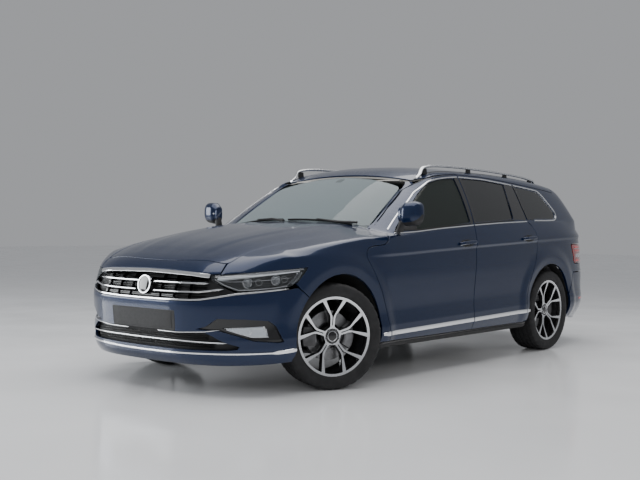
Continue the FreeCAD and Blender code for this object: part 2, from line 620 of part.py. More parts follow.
tb = prism_x(moved(tg_full, H), -2500.0, -1700.0)
tail = solids(tail.cut(tb))
feature("tail_lamps", Part.makeCompound(tail.Solids + mirrored(tail).Solids))
qg = upper_slab(-1690.0, -885.0, 14, 10, 8.0, 8.0 + d("glass_thickness"), -10.0)
qg = solids(qg.common(prism_y(moved(QUARTER_WINDOW, -0.6), 400.0, 1000.0)))
feature("quarter_windows", Part.makeCompound(qg.Solids + mirrored(qg).Solids))

# ---- grille and front bumper ----
GT = Curve([(-26, 724), (-20, 733), (-10, 741), (0, 744), (10, 741), (20, 733), (26, 724)])
GB = Curve([(-26, 588), (-22, 574), (0, 571), (22, 574), (26, 588)])
plate = field(1250.0, -25.7, 25.7, GB, GT, 25, 7, 30.0, 42.0)
bars = []
for k in range(4):
    za, zb = 0.0 + k * 0.27, 0.0 + k * 0.27 + 0.11
    bars.append(field(1250.0, -25.4, 25.4, lambda a, t=za: GB(a) + (GT(a) - GB(a)) * t + 0.5, lambda a, t=zb: GB(a) + (GT(a) - GB(a)) * mn(t, 0.93),
                      25, 4, 4.0, 34.0))
gr = plate
for b in bars:
    gr = gr.fuse(b)
gcut = field(1250.0, -26.05, 26.05, lambda a: GB(a) - H, lambda a: GT(a) + H, 25, 7, -60.0, 200.0)
feature("grille", solids(gr))
LGT = Curve([(-24, 386), (-20, 392), (0, 394), (20, 392), (24, 386)])
LGB = Curve([(-24, 300), (-20, 282), (0, 276), (20, 282), (24, 300)])
feature("lower_grille", field(1250.0, -23.6, 23.6, LGB, LGT, 21, 6, 20.0, 36.0))
lcut = field(1250.0, -24.0, 24.0, lambda a: LGB(a) - H, lambda a: LGT(a) + H, 21, 6, -60.0, 200.0)

fb = slab(front_ray, lin(-80.0, 80.0, 45), [172, 190, 210, 235, 260, 300, 350, 400, 450, 500, 545, 580, 610, 640, 670, 700, 725, 742],
          0.0, d("bumper_thickness"))
fb = fb.cut(cutl).cut(mirrored(cutl)).cut(gcut).cut(lcut)
fb = fb.cut(arch(FX, AR, -1000.0, -300.0)).cut(arch(FX, AR, 300.0, 1000.0))
fz = prism_y(moved(side_area, H), 300.0, 1000.0)
top_strip = [(0, 734), (300, 734), (520, 716)]
fb = fb.cut(fz).cut(mirrored(fz)).cut(box(800.0, 1780.0, -1000.0, 1000.0, 100.0, 900.0))


def lip_ray(y, deg, depths):
    """Fan in the x-z plane over the nose, from up to forward."""
    a = math.radians(deg)
    s, c = math.sin(a), math.cos(a)
    r = cast((2000.0, y, 600.0), (s, 0.0, c), 900.0)
    return [Vector(2000.0 + s * (r - q), y, 600.0 + c * (r - q)) for q in depths]


lp = slab(lip_ray, lin(-560.0, 560.0, 21), [36, 40, 44, 48, 52, 56, 60, 64, 68, 72], 0.0, 38.0)
lf = [(x + H, y) for x, y in HOOD_FRONT]
lip_plan = lf + [(x, -y) for x, y in reversed(lf) if y > 0] + [(2172, -552), (2260, -500), (2420, -480), (2420, 480), (2260, 500), (2172, 552)]
lip_plan = [(2176, 549), (2197, 545)] + lf[1:] + [(x, -y) for x, y in reversed(lf[1:]) if y > 0] + [(2197, -545), (2176, -549), (2262, -549), (2420, -500), (2420, 500), (2262, 549)]
lp = lp.common(prism_z(lip_plan, 700.0, 900.0)).cut(gcut).cut(cutl).cut(mirrored(cutl)).cut(fz).cut(mirrored(fz))
lp_keep = slab(lip_ray, lin(-575.0, 575.0, 21), [34, 40, 44, 48, 52, 56, 60, 64, 68, 74], -30.0, 41.0)
fb = fb.cut(prism_z(lip_plan, 735.0, 900.0)).cut(lp_keep.common(prism_z(moved(lip_plan, H), 640.0, 900.0)))
lamp = solids(lamp.cut(fb).cut(fen))
feature("headlamps", Part.makeCompound(lamp.Solids + mirrored(lamp).Solids))
fbs = [s for s in fb.Solids if s.Volume > 20000.0]
lps = [s for s in lp.Solids if s.Volume > 5000.0]
feature("front_bumper", Part.makeCompound(fbs))
feature("nose_panel", Part.makeCompound(lps) if len(lps) > 1 else lps[0])

# ---- rear bumper ----
rb = slab(rear_ray, lin(-80.0, 80.0, 41), [185, 210, 240, 270, 310, 360, 410, 460, 510, 560, 600, 638], 0.0, d("bumper_thickness"))
rb = rb.cut(arch(RX, AR, -1000.0, -300.0)).cut(arch(RX, AR, 300.0, 1000.0))
rz = prism_y([(-700, 150), (-1660, 150), (-1660, 468), (-1757, 638), (-1757, 900), (-700, 900)], -1000.0, 1000.0)
rb = solids(rb.cut(rz), 20000.0)
feature("rear_bumper", rb)
rb_keep = slab(rear_ray, lin(-80.0, 80.0, 31), [185, 240, 300, 360, 420, 480, 540, 600, 645], -60.0, d("bumper_thickness") + 4.0)
fb_keep = slab(front_ray, lin(-80.0, 80.0, 31), [172, 230, 290, 350, 410, 470, 530, 590, 650, 700, 745], -60.0, d("bumper_thickness") + 4.0)

# ---- pillars: hinge post with the windshield pillar, and the middle pillar ----
fdc = prism_y(moved(FRONT_DOOR, H), 300.0, 1000.0)
wsc = prism_x(moved(wpoly, H), 150.0, 1400.0)
roof_cut = prism_y(ROOF_AREA, -800.0, 800.0)


def at_height(pts, z):
    """First coordinate of a polyline at a height."""
    for (x0, z0), (x1, z1) in zip(pts, pts[1:]):
        if mn(z0, z1) <= z <= mx(z0, z1) and z0 != z1:
            return x0 + (x1 - x0) * (z - z0) / (z1 - z0)
    return pts[-1][0]


door_edge = [p for p in moved(FRONT_DOOR, H + 0.4) if p[0] > 150.0 and p[1] > 930.0]
screen_side = [(y + 3.4, z) for y, z in WS if y > 560]


def screen_form(x, y, z):
    return mx(F(x, y, z), x - wscreen(ab(y), z) - 4.0)


def pillar_section(z):
    """Outline across the windshield pillar: body surface outside, set in inside."""
    xd = at_height(door_edge, z)
    ys = at_height(screen_side, z) + 1.8
    yd = mn(300.0 + cast((xd, 300.0, z), (0.0, 1.0, 0.0), 900.0, side_form), 770.0) - 1.0
    xs = cast((xd - 200.0, ys, z), (1.0, 0.0, 0.0), 900.0, screen_form) + xd - 201.0
    cx, cy = mx(xs, xd) + 6.0, ys + (yd - ys) * 0.74
    pts = []
    for k in range(6):
        t = k / 5.0
        pts.append(Vector((1 - t) ** 2 * xs + 2 * t * (1 - t) * cx + t * t * xd, (1 - t) ** 2 * ys + 2 * t * (1 - t) * cy + t * t * yd, z))
    pts.append(Vector(xd, yd - DF - 9.0, z))
    pts.append(Vector(xd - 30.0, yd - DF - 9.0, z))
    pts.append(Vector(mn(xs, xd) - 34.0, ys, z))
    return Part.makePolygon(pts + [pts[0]])


ap_s = Part.makeLoft([pillar_section(z) for z in (1036, 1058, 1100, 1141, 1190, 1240, 1286, 1318, 1344)], True, True)
print("pillar", ap_s.isValid(), round(ap_s.Volume))
ap_s = ap_s.cut(fdc).cut(box(888.0, 1100.0, 600.0, 678.5, 955.0, 1060.0))
post = box(1000.0, 1075.0, 690.0, 762.0, 228.0, 940.0).fuse(
    Part.makeLoft([Part.makePolygon([Vector(x0, y0, z), Vector(x1, y0, z), Vector(x1, y1, z), Vector(x0, y1, z), Vector(x0, y0, z)])
                   for x0, x1, y0, y1, z in ((1000, 1075, 690, 762, 900), (840, 895, 655, 715, 1035))], True))
post = post.fuse(box(868.0, 925.0, 679.0, 713.0, 985.0, 1040.0))
ap_s = ap_s.fuse(post).cut(box(904.0, 1025.0, 300.0, 688.5, 200.0, 961.0)).cut(box(888.0, 1100.0, 600.0, 678.5, 955.0, 1060.0))
print("post joined", len(ap_s.Solids), [round(q.Volume / 1000) for q in ap_s.Solids])
bl = side_slab(-125.0, -5.0, 228.0, -6.0, 4, 12, DD + 9.0, DD + 55.0).fuse(box(-118.0, -62.0, 757.0, 784.0, 1000.0, 1085.0))
bu = upper_slab(-150.0, -60.0, 4, 9, DF + 9.0, DF + 82.0, 12.0, -25.0)
bp = bl.fuse(bu)
bp = bp.cut(roof_cut).cut(box(-200.0, 100.0, 700.0, 794.2, 100.0, 330.2)).cut(box(-200.0, 100.0, 700.0, 1000.0, 100.0, 258.7))
aps = solids(ap_s)
bps = solids(bp)
allp = []
for s in (aps, bps):
    allp += s.Solids + mirrored(s).Solids
feature("door_pillars", Part.makeCompound(allp))

# ---- floor, tunnel and sills ----
fz0, ft = d("floor_z"), d("floor_thickness")
fl = box(-905.0, 995.0, -776.0, 776.0, fz0, fz0 + ft)
tun = box(-905.0, 995.0, -120.0, 120.0, fz0 + ft - 1.0, fz0 + ft + 150.0).cut(box(-906.0, 996.0, -104.0, 104.0, fz0 + 1.0, fz0 + ft + 134.0))
fl = fl.cut(box(-906.0, 996.0, -104.0, 104.0, 0.0, fz0 + ft + 10.0)).fuse(tun)
sill = side_slab(-888.0, 1114.0, 222.0, 0.0, 20, 20, 0.0, 84.0).common(box(-888.0, 1114.0, 500.0, 1000.0, 221.0, 258.5))
inner = box(-826.0, 1080.0, 774.0, 794.0, 206.0, 330.0)
sl = sill.fuse(inner)
fl = fl.fuse(sl).fuse(mirrored(sl))
fl = fl.fuse(box(-925.0, -895.0, -776.0, 776.0, fz0, 470.0)).cut(box(-930.0, -890.0, -104.0, 104.0, 204.0, 361.0))
fl = fl.cut(Part.makeCylinder(400.5, 1700.0, Vector(RX, -850.0, HZ), Vector(0, 1, 0)))
feature("floor_pan", solids(fl))

# ---- firewall, cowl and engine bay ----
fw = box(1002.0, 1024.0, -688.0, 688.0, 228.0, 960.0).fuse(box(905.0, 1024.0, -640.0, 640.0, 938.0, 960.0))
fw = fw.cut(box(990.0, 1040.0, -110.0, 110.0, 200.0, 390.0))
feature("firewall", fw)


def tub(x, r, y0, y1, zc, y_in):
    """A wheelhouse: half a drum over the tyre, closed on its inner side."""
    c = Part.makeCylinder(r + 8.0, y1 - y_in, Vector(x, y_in, HZ), Vector(0, 1, 0))
    c = c.cut(Part.makeCylinder(r, y1 - y_in, Vector(x, y_in + 8.0, HZ), Vector(0, 1, 0)))
    return c.cut(box(x - r - 20, x + r + 20, y_in - 10, y1 + 10, -100.0, zc))


LR = d("liner_radius")
tf = tub(FX, LR, 0, 868.0, 262.0, 452.0)
tf = tf.cut(box(FX - 70, FX + 70, 440.0, 470.0, 100.0, 700.0)).cut(box(1000.0, 1112.0, 400.0, 1000.0, 0.0, 1200.0))
tower = box(FX - 75, FX + 75, 520.0, 640.0, 745.0, 790.0)
tf = solids(tf.fuse(tower).cut(fb_keep).cut(slab(shoulder_ray, lin(955.0, 2200.0, 26), lin(18.0, 131.0, 20), -60.0, d("fender_thickness") + 4.0)))
feature("front_wheelhouses", Part.makeCompound(tf.Solids + mirrored(tf).Solids))

eng = bound("Part::Box", "engine_block", {"Length": "dims.engine_length", "Width": "dims.engine_width", "Height": "dims.engine_height"},
            (1330.0, -390.0, 355.0))
node(eng, "engine")
feature("radiator", box(2130.0, 2200.0, -470.0, 470.0, 262.0, 700.0).fuse(box(2095.0, 2131.0, -520.0, 520.0, 215.0, 262.5)))

# ---- load space floor with the wheel well, side beams, rear panel and inner wheel tubs ----
bf = box(-2244.0, -928.0, -610.0, 610.0, 592.0, 616.0)
well = box(-2080.0, -1500.0, -380.0, 380.0, 330.0, 593.0).cut(box(-2068.0, -1512.0, -368.0, 368.0, 342.0, 600.0))
beam = box(-2240.0, -1690.0, 520.0, 600.0, 420.0, 593.0).fuse(box(-1700.0, -926.0, 540.0, 610.0, 470.0, 593.0))
bf = bf.fuse(well).fuse(beam).fuse(mirrored(beam)).fuse(box(-2282.0, -2238.0, -600.0, 600.0, 300.0, 640.0))
tr = tub(RX, 392.0, 0, 792.0, 430.0, 608.0)
bf = bf.fuse(tr).fuse(mirrored(tr)).fuse(box(-940.0, -926.0, -610.0, 610.0, 300.0, 600.0))
bf = bf.cut(rb_keep)
feature("boot_floor", solids(bf, 50000.0))

# ---- dashboard, steering wheel, seats ----
dash = prism_y(rounded([(900, 560), (880, 935), (720, 962), (600, 905), (575, 800), (640, 700), (660, 560)], 30), -672.0, 672.0)
con = prism_y(rounded([(662, 377.3), (662, 640), (420, 520), (-190, 520), (-230, 377.3)], 30), -112.0, 112.0)
feature("dashboard", dash.fuse(con))


def seat(y0, y1):
    cushion = prism_y(rounded([(440, 330), (455, 470), (420, 512), (0, 470), (-60, 400), (-70, 330)], 28), y0, y1)
    back = prism_y(rounded([(-60, 400), (35, 470), (-110, 985), (-150, 1015), (-205, 1000), (-190, 900), (-95, 440)], 26), y0 + 6, y1 - 6)
    head = prism_y(rounded([(-135, 1045), (-125, 1190), (-165, 1215), (-225, 1195), (-222, 1050)], 24), 0.5 * (y0 + y1) - 135, 0.5 * (y0 + y1) + 135)
    neck = prism_y([(-165, 1000), (-165, 1060), (-185, 1060), (-185, 1000)], 0.5 * (y0 + y1) - 70, 0.5 * (y0 + y1) + 70)
    rails = prism_y([(430, 227.3), (430, 340), (-40, 340), (-40, 227.3)], y0 + 60, y1 - 60)
    return cushion.fuse(back).fuse(head).fuse(neck).fuse(rails)


s1 = seat(125.0, 625.0)
feature("front_seats", Part.makeCompound([solids(s1), mirrored(solids(s1))]))
bench = prism_y(rounded([(-420, 330), (-405, 480), (-440, 520), (-800, 480), (-880, 440), (-885, 330)], 28), -660.0, 660.0)
rback = prism_y(rounded([(-790, 470), (-985, 1000), (-1040, 1020), (-1070, 990), (-905, 480), (-880, 445)], 22), -640.0, 640.0)
rseat = bench.fuse(rback)
for yc in (-400.0, 0.0, 400.0):
    rseat = rseat.fuse(prism_y(rounded([(-995, 1012), (-1003, 1110), (-1035, 1125), (-1068, 1110), (-1060, 1012)], 14), yc - 120, yc + 120))
rseat = rseat.fuse(box(-860.0, -450.0, -600.0, 600.0, 228.0, 335.0))
rseat = rseat.cut(box(-1200.0, -894.5, -700.0, 700.0, 200.0, 616.4)).cut(box(-930.0, -400.0, -120.4, 120.4, 200.0, 377.4))
rseat = rseat.cut(box(-1200.0, 0.0, -700.0, 700.0, 200.0, 227.4))
for y0 in (607.6, -700.0):
    rseat = rseat.cut(Part.makeCylinder(400.5, 92.4, Vector(RX, y0, HZ), Vector(0, 1, 0)))
feature("rear_seat", solids(rseat))

# steering wheel: rim, hub and three spokes about the column
ring = bound("Part::Torus", "steering_ring", {"Radius1": "dims.steering_wheel_radius", "Radius2": "dims.steering_rim_section"})
hub = bound("Part::Cylinder", "steering_hub", {"Radius": "62", "Height": "44"}, (0, 0, -22))
sp1 = bound("Part::Box", "steering_spoke_cross", {"Length": "2 * dims.steering_wheel_radius - 6", "Width": "44", "Height": "18"},
            (-179.0, -22.0, -9.0))
sp2 = bound("Part::Box", "steering_spoke_down", {"Length": "40", "Width": "dims.steering_wheel_radius - 4", "Height": "18"}, (-20.0, -178.0, -9.0))
col = bound("Part::Cylinder", "steering_column_stub", {"Radius": "22", "Height": "70"}, (0, 0, -92))
sw = doc.addObject("Part::MultiFuse", "steering_wheel")
sw.Shapes = [ring, hub, sp1, sp2, col]
# local z points back along the column to the driver, local y up
tilt = math.radians(d("column_tilt_deg"))
zc_ = Vector(-math.cos(tilt), 0, math.sin(tilt))
yc_ = Vector(math.sin(tilt), 0, math.cos(tilt))
xc_ = yc_.cross(zc_)
m = FreeCAD.Matrix(xc_.x, yc_.x, zc_.x, 455.0, xc_.y, yc_.y, zc_.y, 370.0, xc_.z, yc_.z, zc_.z, 912.0, 0, 0, 0, 1)
sw.Placement = Placement(m)
node(sw, "steering_wheel")

# ---- roof rails: a raised bar on two feet each side ----
def rail_path():
    out = []
    for x in (300, 275, 235, 180, 90, -60, -300, -600, -900, -1200, -1350, -1430, -1475, -1500):
        zr = F_ROOF(x)
        up = 30.0 * mn(1.0, mn((312.0 - x) / 120.0, (x + 1512.0) / 120.0)) ** 0.6
        out.append((x, 612.0 - 8.0 * (abs(x + 600.0) / 900.0) ** 2, zr + up))
    return out


def F_ROOF(x):
    r = cast((x, 612.0, 900.0), (0.0, 0.0, 1.0), 700.0)
    return 900.0 + r


rp = rail_path()
secs = []
for x, y, z in rp:
    secs.append(Part.makePolygon([Vector(x, y - 15, z - 8), Vector(x, y + 15, z - 10), Vector(x, y + 16, z + 4), Vector(x, y + 6, z + 12),
                                  Vector(x, y - 10, z + 12), Vector(x, y - 16, z + 5), Vector(x, y - 15, z - 8)]))
rail = Part.makeLoft(secs, True, True)
for xa, xb in ((298, 170), (-1498, -1370), (-560, -640)):
    z0 = mn(F_ROOF(xa), F_ROOF(xb))
    rail = rail.fuse(box(mn(xa, xb), mx(xa, xb), 600.0, 618.0, z0 - 6.0, z0 + 24.0))
rcut = slab(roof_fn, lin(-1640, 330, 16), [28, 31, 34, 37, 40, 43, 46, 49, 52], -0.2, 120.0)
rail = solids(rail.cut(rcut).cut(rs), 10000.0)
feature("roof_rails", Part.makeCompound(rail.Solids + mirrored(rail).Solids))

# ---- underside ----
sub = box(1330.0, 1680.0, -330.0, 330.0, 205.0, 255.0).cut(box(1400.0, 1610.0, -250.0, 250.0, 200.0, 260.0))
sus = [sub]
arm = prism_z([(1480, 700), (1532, 700), (1560, 560), (1640, 330), (1560, 300), (1480, 470), (1420, 330), (1345, 300), (1440, 540)], 206.0, 228.0)
ball = Part.makeCylinder(26.0, 22.0, Vector(FX, 732.0, 206.0))
arm = arm.fuse(box(1486.0, 1526.0, 690.0, 732.0, 206.0, 228.0)).fuse(ball)
shaft = Part.makeCylinder(14.0, 250.0, Vector(FX, 350.0, 334.0), Vector(0, 1, 0))
strut = Part.makeCylinder(27.0, 311.0, Vector(FX, 598.0, 420.0), Vector(0, -0.02, 1))
link = box(1492.0, 1520.0, 560.0, 600.0, 215.0, 440.0)
halfs = arm.fuse(link).fuse(strut).fuse(shaft)
sub_all = sub.fuse(halfs).fuse(mirrored(halfs))
feature("front_suspension", solids(sub_all))

ex = box(1000.0, 1330.0, -40.0, 40.0, 232.0, 262.0)
pipe = Part.makeCylinder(27.0, 2000.0, Vector(-1010.0, 0.0, 262.0), Vector(1, 0, 0))
mid = box(-560.0, 60.0, -80.0, 80.0, 222.0, 306.0)
over = Part.makeCylinder(27.0, 470.0, Vector(-1010.0, 0.0, 262.0), Vector(-0.93, 0.36, 0.02))
mufl = box(-2200.0, -2110.0, -430.0, 430.0, 232.0, 320.0)
run2 = Part.makeCylinder(27.0, 720.0, Vector(-1447.0, 169.0, 271.0), Vector(-1, 0.12, 0.0))
exh = pipe.cut(mid).fuse(mid).fuse(over).fuse(run2).fuse(mufl)
feature("exhaust", solids(exh))

tank = bound("Part::Box", "tank_block", {"Length": "230", "Width": "520", "Height": "dims.tank_height + 40"}, (-1185.0, -585.0, 250.0))
node(tank, "fuel_tank")


# ---------------------------------------------------------------------------
# Wheels: local z is the axle, pointing outward; each is a body of its own
# ---------------------------------------------------------------------------
def origin_plane(body, role):
    for f in body.Origin.OriginFeatures:
        if f.Role == role:
            return f


def sketch_on(body, name, role):
    sk = body.newObject("Sketcher::SketchObject", name)
    sk.AttachmentSupport = [(origin_plane(body, role), "")]
    sk.MapMode = "FlatFace"
    return sk


def poly(sk, pts):
    n = len(pts)
    for i in range(n):
        a, b = pts[i], pts[(i + 1) % n]
        sk.addGeometry(Part.LineSegment(Vector(a[0], a[1], 0), Vector(b[0], b[1], 0)), False)


def revolved(name, profile):
    """Profile points are (radius, offset along the axle)."""
    b = doc.addObject("PartDesign::Body", name)
    sk = sketch_on(b, name + "_profile", "XZ_Plane")
    poly(sk, profile)
    r = b.newObject("PartDesign::Revolution", name + "_turn")
    r.Profile = sk
    r.ReferenceAxis = (sk, ["V_Axis"])
    r.Angle = 360.0
    sk.Visibility = False
    b.Tip = r
    return b


TR, TW, TB, TS = d("tyre_radius"), d("tyre_half_width"), d("tyre_bead_radius"), d("tyre_shoulder_radius")
TYRE = [(TB, 100), (252, 108), (285, TW), (308, 114), (TS, 104), (330, 88), (TR, 55), (TR, -55), (330, -88), (TS, -104), (308, -114),
        (285, -TW), (252, -108), (TB, -100), (TB, -88), (262, -96), (300, -92), (306, -60), (306, 60), (300, 92), (262, 96), (TB, 88)]
RB, RW = d("rim_barrel_radius"), d("rim_half_width")
RIM = [(RB - 7, 84), (RB + 3, 100), (232.5, 99.5), (232.5, 88), (RB + 1, 80), (RB, 40), (205, 20), (205, -20), (RB, -60), (RB + 2, -84), (232.5, -88),
       (232.5, -99.5), (RB - 2, -100), (RB - 6, -84), (RB - 7, -60), (198, -22), (198, 20), (RB - 8, 42)]


def place(px, py, sx, side, steer):
    """Axle direction in plan for a wheel on side +1 (left) or -1, turned by steer degrees."""
    a = math.radians(steer)
    out = Vector(-math.sin(a) * side, math.cos(a) * side, 0)
    return out


def wheel_frame(cx, cy, side, steer):
    a = math.radians(steer)
    zc2 = Vector(-math.sin(a) * side, math.cos(a) * side, 0)
    yc2 = Vector(0, 0, 1)
    xc2 = yc2.cross(zc2)
    return FreeCAD.Matrix(xc2.x, yc2.x, zc2.x, cx, xc2.y, yc2.y, zc2.y, cy, xc2.z, yc2.z, zc2.z, HZ, 0, 0, 0, 1)


SR = -d("steer_rest_deg")
K, KY = d("kingpin_offset"), d("kingpin_y")
aa = math.radians(SR)
WHEELS = [("left_front", FX - K * math.sin(aa), KY + K * math.cos(aa), 1, SR),
          ("right_front", FX + K * math.sin(aa), -KY - K * math.cos(aa), -1, SR),
          ("left_rear", RX, d("rear_track_half"), 1, 0.0), ("right_rear", RX, -d("rear_track_half"), -1, 0.0)]
for wn, cx, cy, side, st in WHEELS:
    t = revolved(wn + "_tyre", TYRE)
    t.Placement = Placement(wheel_frame(cx, cy, side, st))
    node(t, wn + "_tyre")
    b = doc.addObject("PartDesign::Body", wn + "_rim")
    sk = sketch_on(b, wn + "_barrel_profile", "XZ_Plane")
    poly(sk, [(20, 88), (60, 92), (74, 82), (150, 84), (RB - 14, 92), (RB + 3, 100), (232.5, 99.5), (232.5, 88), (RB + 1, 80), (RB, 40),
              (205, 20), (205, -20), (RB, -60), (RB + 2, -84), (232.5, -88), (232.5, -99.5), (RB - 2, -100), (RB - 6, -84),
              (RB - 7, -60), (198, -22), (198, 20), (RB - 8, 42), (RB - 10, 66), (150, 58), (78, 50), (74, -1), (156, 5), (156, -20),
              (70, -20), (20, -20)])
    r = b.newObject("PartDesign::Revolution", wn + "_barrel")
    r.Profile = sk
    r.ReferenceAxis = (sk, ["V_Axis"])
    r.Angle = 360.0
    doc.recompute()
    sk2 = sketch_on(b, wn + "_window_sketch", "XY_Plane")
    # one opening between two spokes
    half = math.radians(21.0)
    r0, r1 = d("spoke_inner_radius") + 8.0, d("spoke_outer_radius")
    pts = []
    for k in range(7):
        a = math.pi / 2 - half + 2 * half * k / 6.0
        pts.append((r1 * math.cos(a), r1 * math.sin(a)))
    h2 = math.radians(16.0)
    for k in range(5):
        a = math.pi / 2 + h2 - 2 * h2 * k / 4.0
        pts.append((r0 * math.cos(a), r0 * math.sin(a)))
    a0 = math.radians(36.0)
    pts = [(x * math.cos(a0) - y * math.sin(a0), x * math.sin(a0) + y * math.cos(a0)) for x, y in pts]
    poly(sk2, pts)
    pk = b.newObject("PartDesign::Pocket", wn + "_window")
    pk.Profile = sk2
    pk.Type = 0
    pk.setExpression("Length", "dims.face_offset + 20")
    pk.Reversed = True
    doc.recompute()
    v1 = b.Shape.Volume
    pp = b.newObject("PartDesign::PolarPattern", wn + "_windows")
    pp.Originals = [pk]
    pp.Axis = (sk2, ["N_Axis"])
    pp.Angle = 360.0
    pp.Occurrences = 5
    b.Tip = pp
    doc.recompute()
    b.Placement = Placement(wheel_frame(cx, cy, side, st))
    node(b, wn + "_rim")
    print(wn, "rim volume", round(v1 / 1000), round(b.Shape.Volume / 1000))


# ---- wheel carriers with their brake calipers ----
def carrier_parts(front):
    """In wheel axes: x forward (left side), y up, z outward."""
    hub_b = Part.makeCylinder(58.0, 72.0, Vector(0, 0, -98.0))
    arm_b = Part.makeBox(92.0, 150.0, 44.0, Vector(-46.0, -60.0, -92.0))
    s = 1.0 if front else -1.0
    cal = Part.makeBox(92.0, 118.0, 88.0, Vector(104.0 if s < 0 else -196.0, -59.0, -52.0))
    slot = Part.makeCylinder(163.0, 37.0, Vector(0, 0, -26.0))
    cal = cal.cut(slot).common(Part.makeCylinder(190.0, 200.0, Vector(0, 0, -100.0)))
    brd = Part.makeBox(150.0, 44.0, 22.0, Vector(-20.0 if s < 0 else -130.0, -22.0, -52.0))
    return hub_b.fuse(arm_b).fuse(cal).fuse(brd)


def pose(shape, cx, cy, side, st):
    s = shape.copy()
    s.Placement = Placement(wheel_frame(cx, cy, side, st))
    return s


cp = carrier_parts(True)
for wn, cx, cy, side, st in WHEELS[:2]:
    c = cp.copy()
    s = pose(c, cx, cy, side, st)
    king = Part.makeCylinder(21.0, 66.0, Vector(FX, side * KY, 231.5))
    s = s.fuse(king)
    feature(wn.replace("_front", "_front_knuckle"), solids(s))

rcp = carrier_parts(False)
xb = box(-1330.0, -1230.0, -470.0, 470.0, 262.0, 320.0)
rear = xb
for wn, cx, cy, side, st in WHEELS[2:]:
    c = pose(rcp, cx, cy, side, st)
    lo, hi = (440.0, 700.0) if side > 0 else (-700.0, -440.0)
    a1 = box(-1300.0, -1262.0, lo, hi, 264.0, 300.0)
    a2 = box(-1230.0, -1205.0, lo, hi, 330.0, 352.0).fuse(box(-1235.0, -1200.0, lo if side > 0 else hi - 30, lo + 30 if side > 0 else hi, 300.0, 352.0))
    lo2, hi2 = (604.0, 654.0) if side > 0 else (-654.0, -604.0)
    tr_arm = prism_y([(-1240, 290), (-1240, 350), (-1000, 330), (-945, 330), (-945, 270), (-1000, 262)], lo2, hi2)
    rear = rear.fuse(c).fuse(a1).fuse(tr_arm)
rear = rear.cut(box(-1400.0, -1180.0, 46.0, 166.0, 230.0, 303.0))
feature("rear_suspension", solids(rear))

# ---------------------------------------------------------------------------
doc.recompute()
bad = []
for o in doc.Objects:
    if "Invalid" in o.State or "Error" in o.State:
        bad.append((o.Name, o.State))
for o in NODES:
    if o.Shape.isNull() or not o.Shape.isValid() or o.Shape.Volume < 100.0:
        bad.append((o.Label, "shape"))
if bad:
    print("not sound:", bad)
os.makedirs("parts", exist_ok=True)
total = 0.0
for o in ([] if bad else NODES):
    o.Shape.exportStep("parts/%s.step" % o.Label)
    bb = o.Shape.optimalBoundingBox()
    total += o.Shape.Volume
    print("%-20s solids %d vol %.1f L box %.0f..%.0f %.0f..%.0f %.0f..%.0f" % (o.Label, len(o.Shape.Solids), o.Shape.Volume / 1e6,
          bb.XMin, bb.XMax, bb.YMin, bb.YMax, bb.ZMin, bb.ZMax))
print("nodes", len(NODES), "solid volume m3", round(total / 1e9, 3))
if bad:
    raise SystemExit("some pieces are not sound")
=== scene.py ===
import json
import math
import bpy
import bmesh
import numpy as np
from mathutils import Matrix, Vector
from mathutils.geometry import delaunay_2d_cdt

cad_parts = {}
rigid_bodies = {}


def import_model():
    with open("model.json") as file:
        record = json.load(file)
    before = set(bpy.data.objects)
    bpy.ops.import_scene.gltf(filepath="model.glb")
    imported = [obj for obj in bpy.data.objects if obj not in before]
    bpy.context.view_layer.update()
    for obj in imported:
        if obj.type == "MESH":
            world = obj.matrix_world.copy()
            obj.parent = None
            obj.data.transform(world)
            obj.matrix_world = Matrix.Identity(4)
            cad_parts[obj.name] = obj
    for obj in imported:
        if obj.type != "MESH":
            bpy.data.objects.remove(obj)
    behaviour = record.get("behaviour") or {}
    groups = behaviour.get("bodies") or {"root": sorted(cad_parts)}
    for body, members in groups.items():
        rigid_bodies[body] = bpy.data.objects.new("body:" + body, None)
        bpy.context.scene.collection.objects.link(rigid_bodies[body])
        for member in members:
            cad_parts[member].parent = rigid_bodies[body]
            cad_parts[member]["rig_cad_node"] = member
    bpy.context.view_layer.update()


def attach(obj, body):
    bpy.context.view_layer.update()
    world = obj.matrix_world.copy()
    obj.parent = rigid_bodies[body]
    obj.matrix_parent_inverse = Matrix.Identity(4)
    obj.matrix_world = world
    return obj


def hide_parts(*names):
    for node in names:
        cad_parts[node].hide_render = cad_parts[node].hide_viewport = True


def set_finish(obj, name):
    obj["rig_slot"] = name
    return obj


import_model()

SC = bpy.context.scene.collection

# ---------------------------------------------------------------------------
# The body's form, in millimetres: the same functions as in the CAD source
# ---------------------------------------------------------------------------
mx = np.maximum
mn = np.minimum
sqrt = np.sqrt


def ab(v):
    return np.abs(v)


def pw(a, b):
    return np.power(np.maximum(a, 0.0), b)


class Curve:
    """Smooth monotone curve through points."""

    def __init__(self, pts):
        pts = sorted(pts)
        self.X = np.array([p[0] for p in pts], float)
        self.Y = np.array([p[1] for p in pts], float)
        n = len(pts)
        h = np.diff(self.X)
        d = np.diff(self.Y) / h
        m = np.zeros(n)
        for i in range(1, n - 1):
            if d[i - 1] * d[i] > 0:
                w1 = 2 * h[i] + h[i - 1]
                w2 = h[i] + 2 * h[i - 1]
                m[i] = (w1 + w2) / (w1 / d[i - 1] + w2 / d[i])
        m[0], m[-1] = d[0], d[-1]
        self.M = m

    def __call__(self, x):
        x = np.asarray(x, float)
        xc = np.clip(x, self.X[0], self.X[-1])
        i = np.clip(np.searchsorted(self.X, xc, side="right") - 1, 0, len(self.X) - 2)
        h = self.X[i + 1] - self.X[i]
        t = (xc - self.X[i]) / h
        return (self.Y[i] * (1 + 2 * t) * (1 - t) ** 2 + self.M[i] * h * t * (1 - t) ** 2
                + self.Y[i + 1] * t * t * (3 - 2 * t) + self.M[i + 1] * h * t * t * (t - 1))


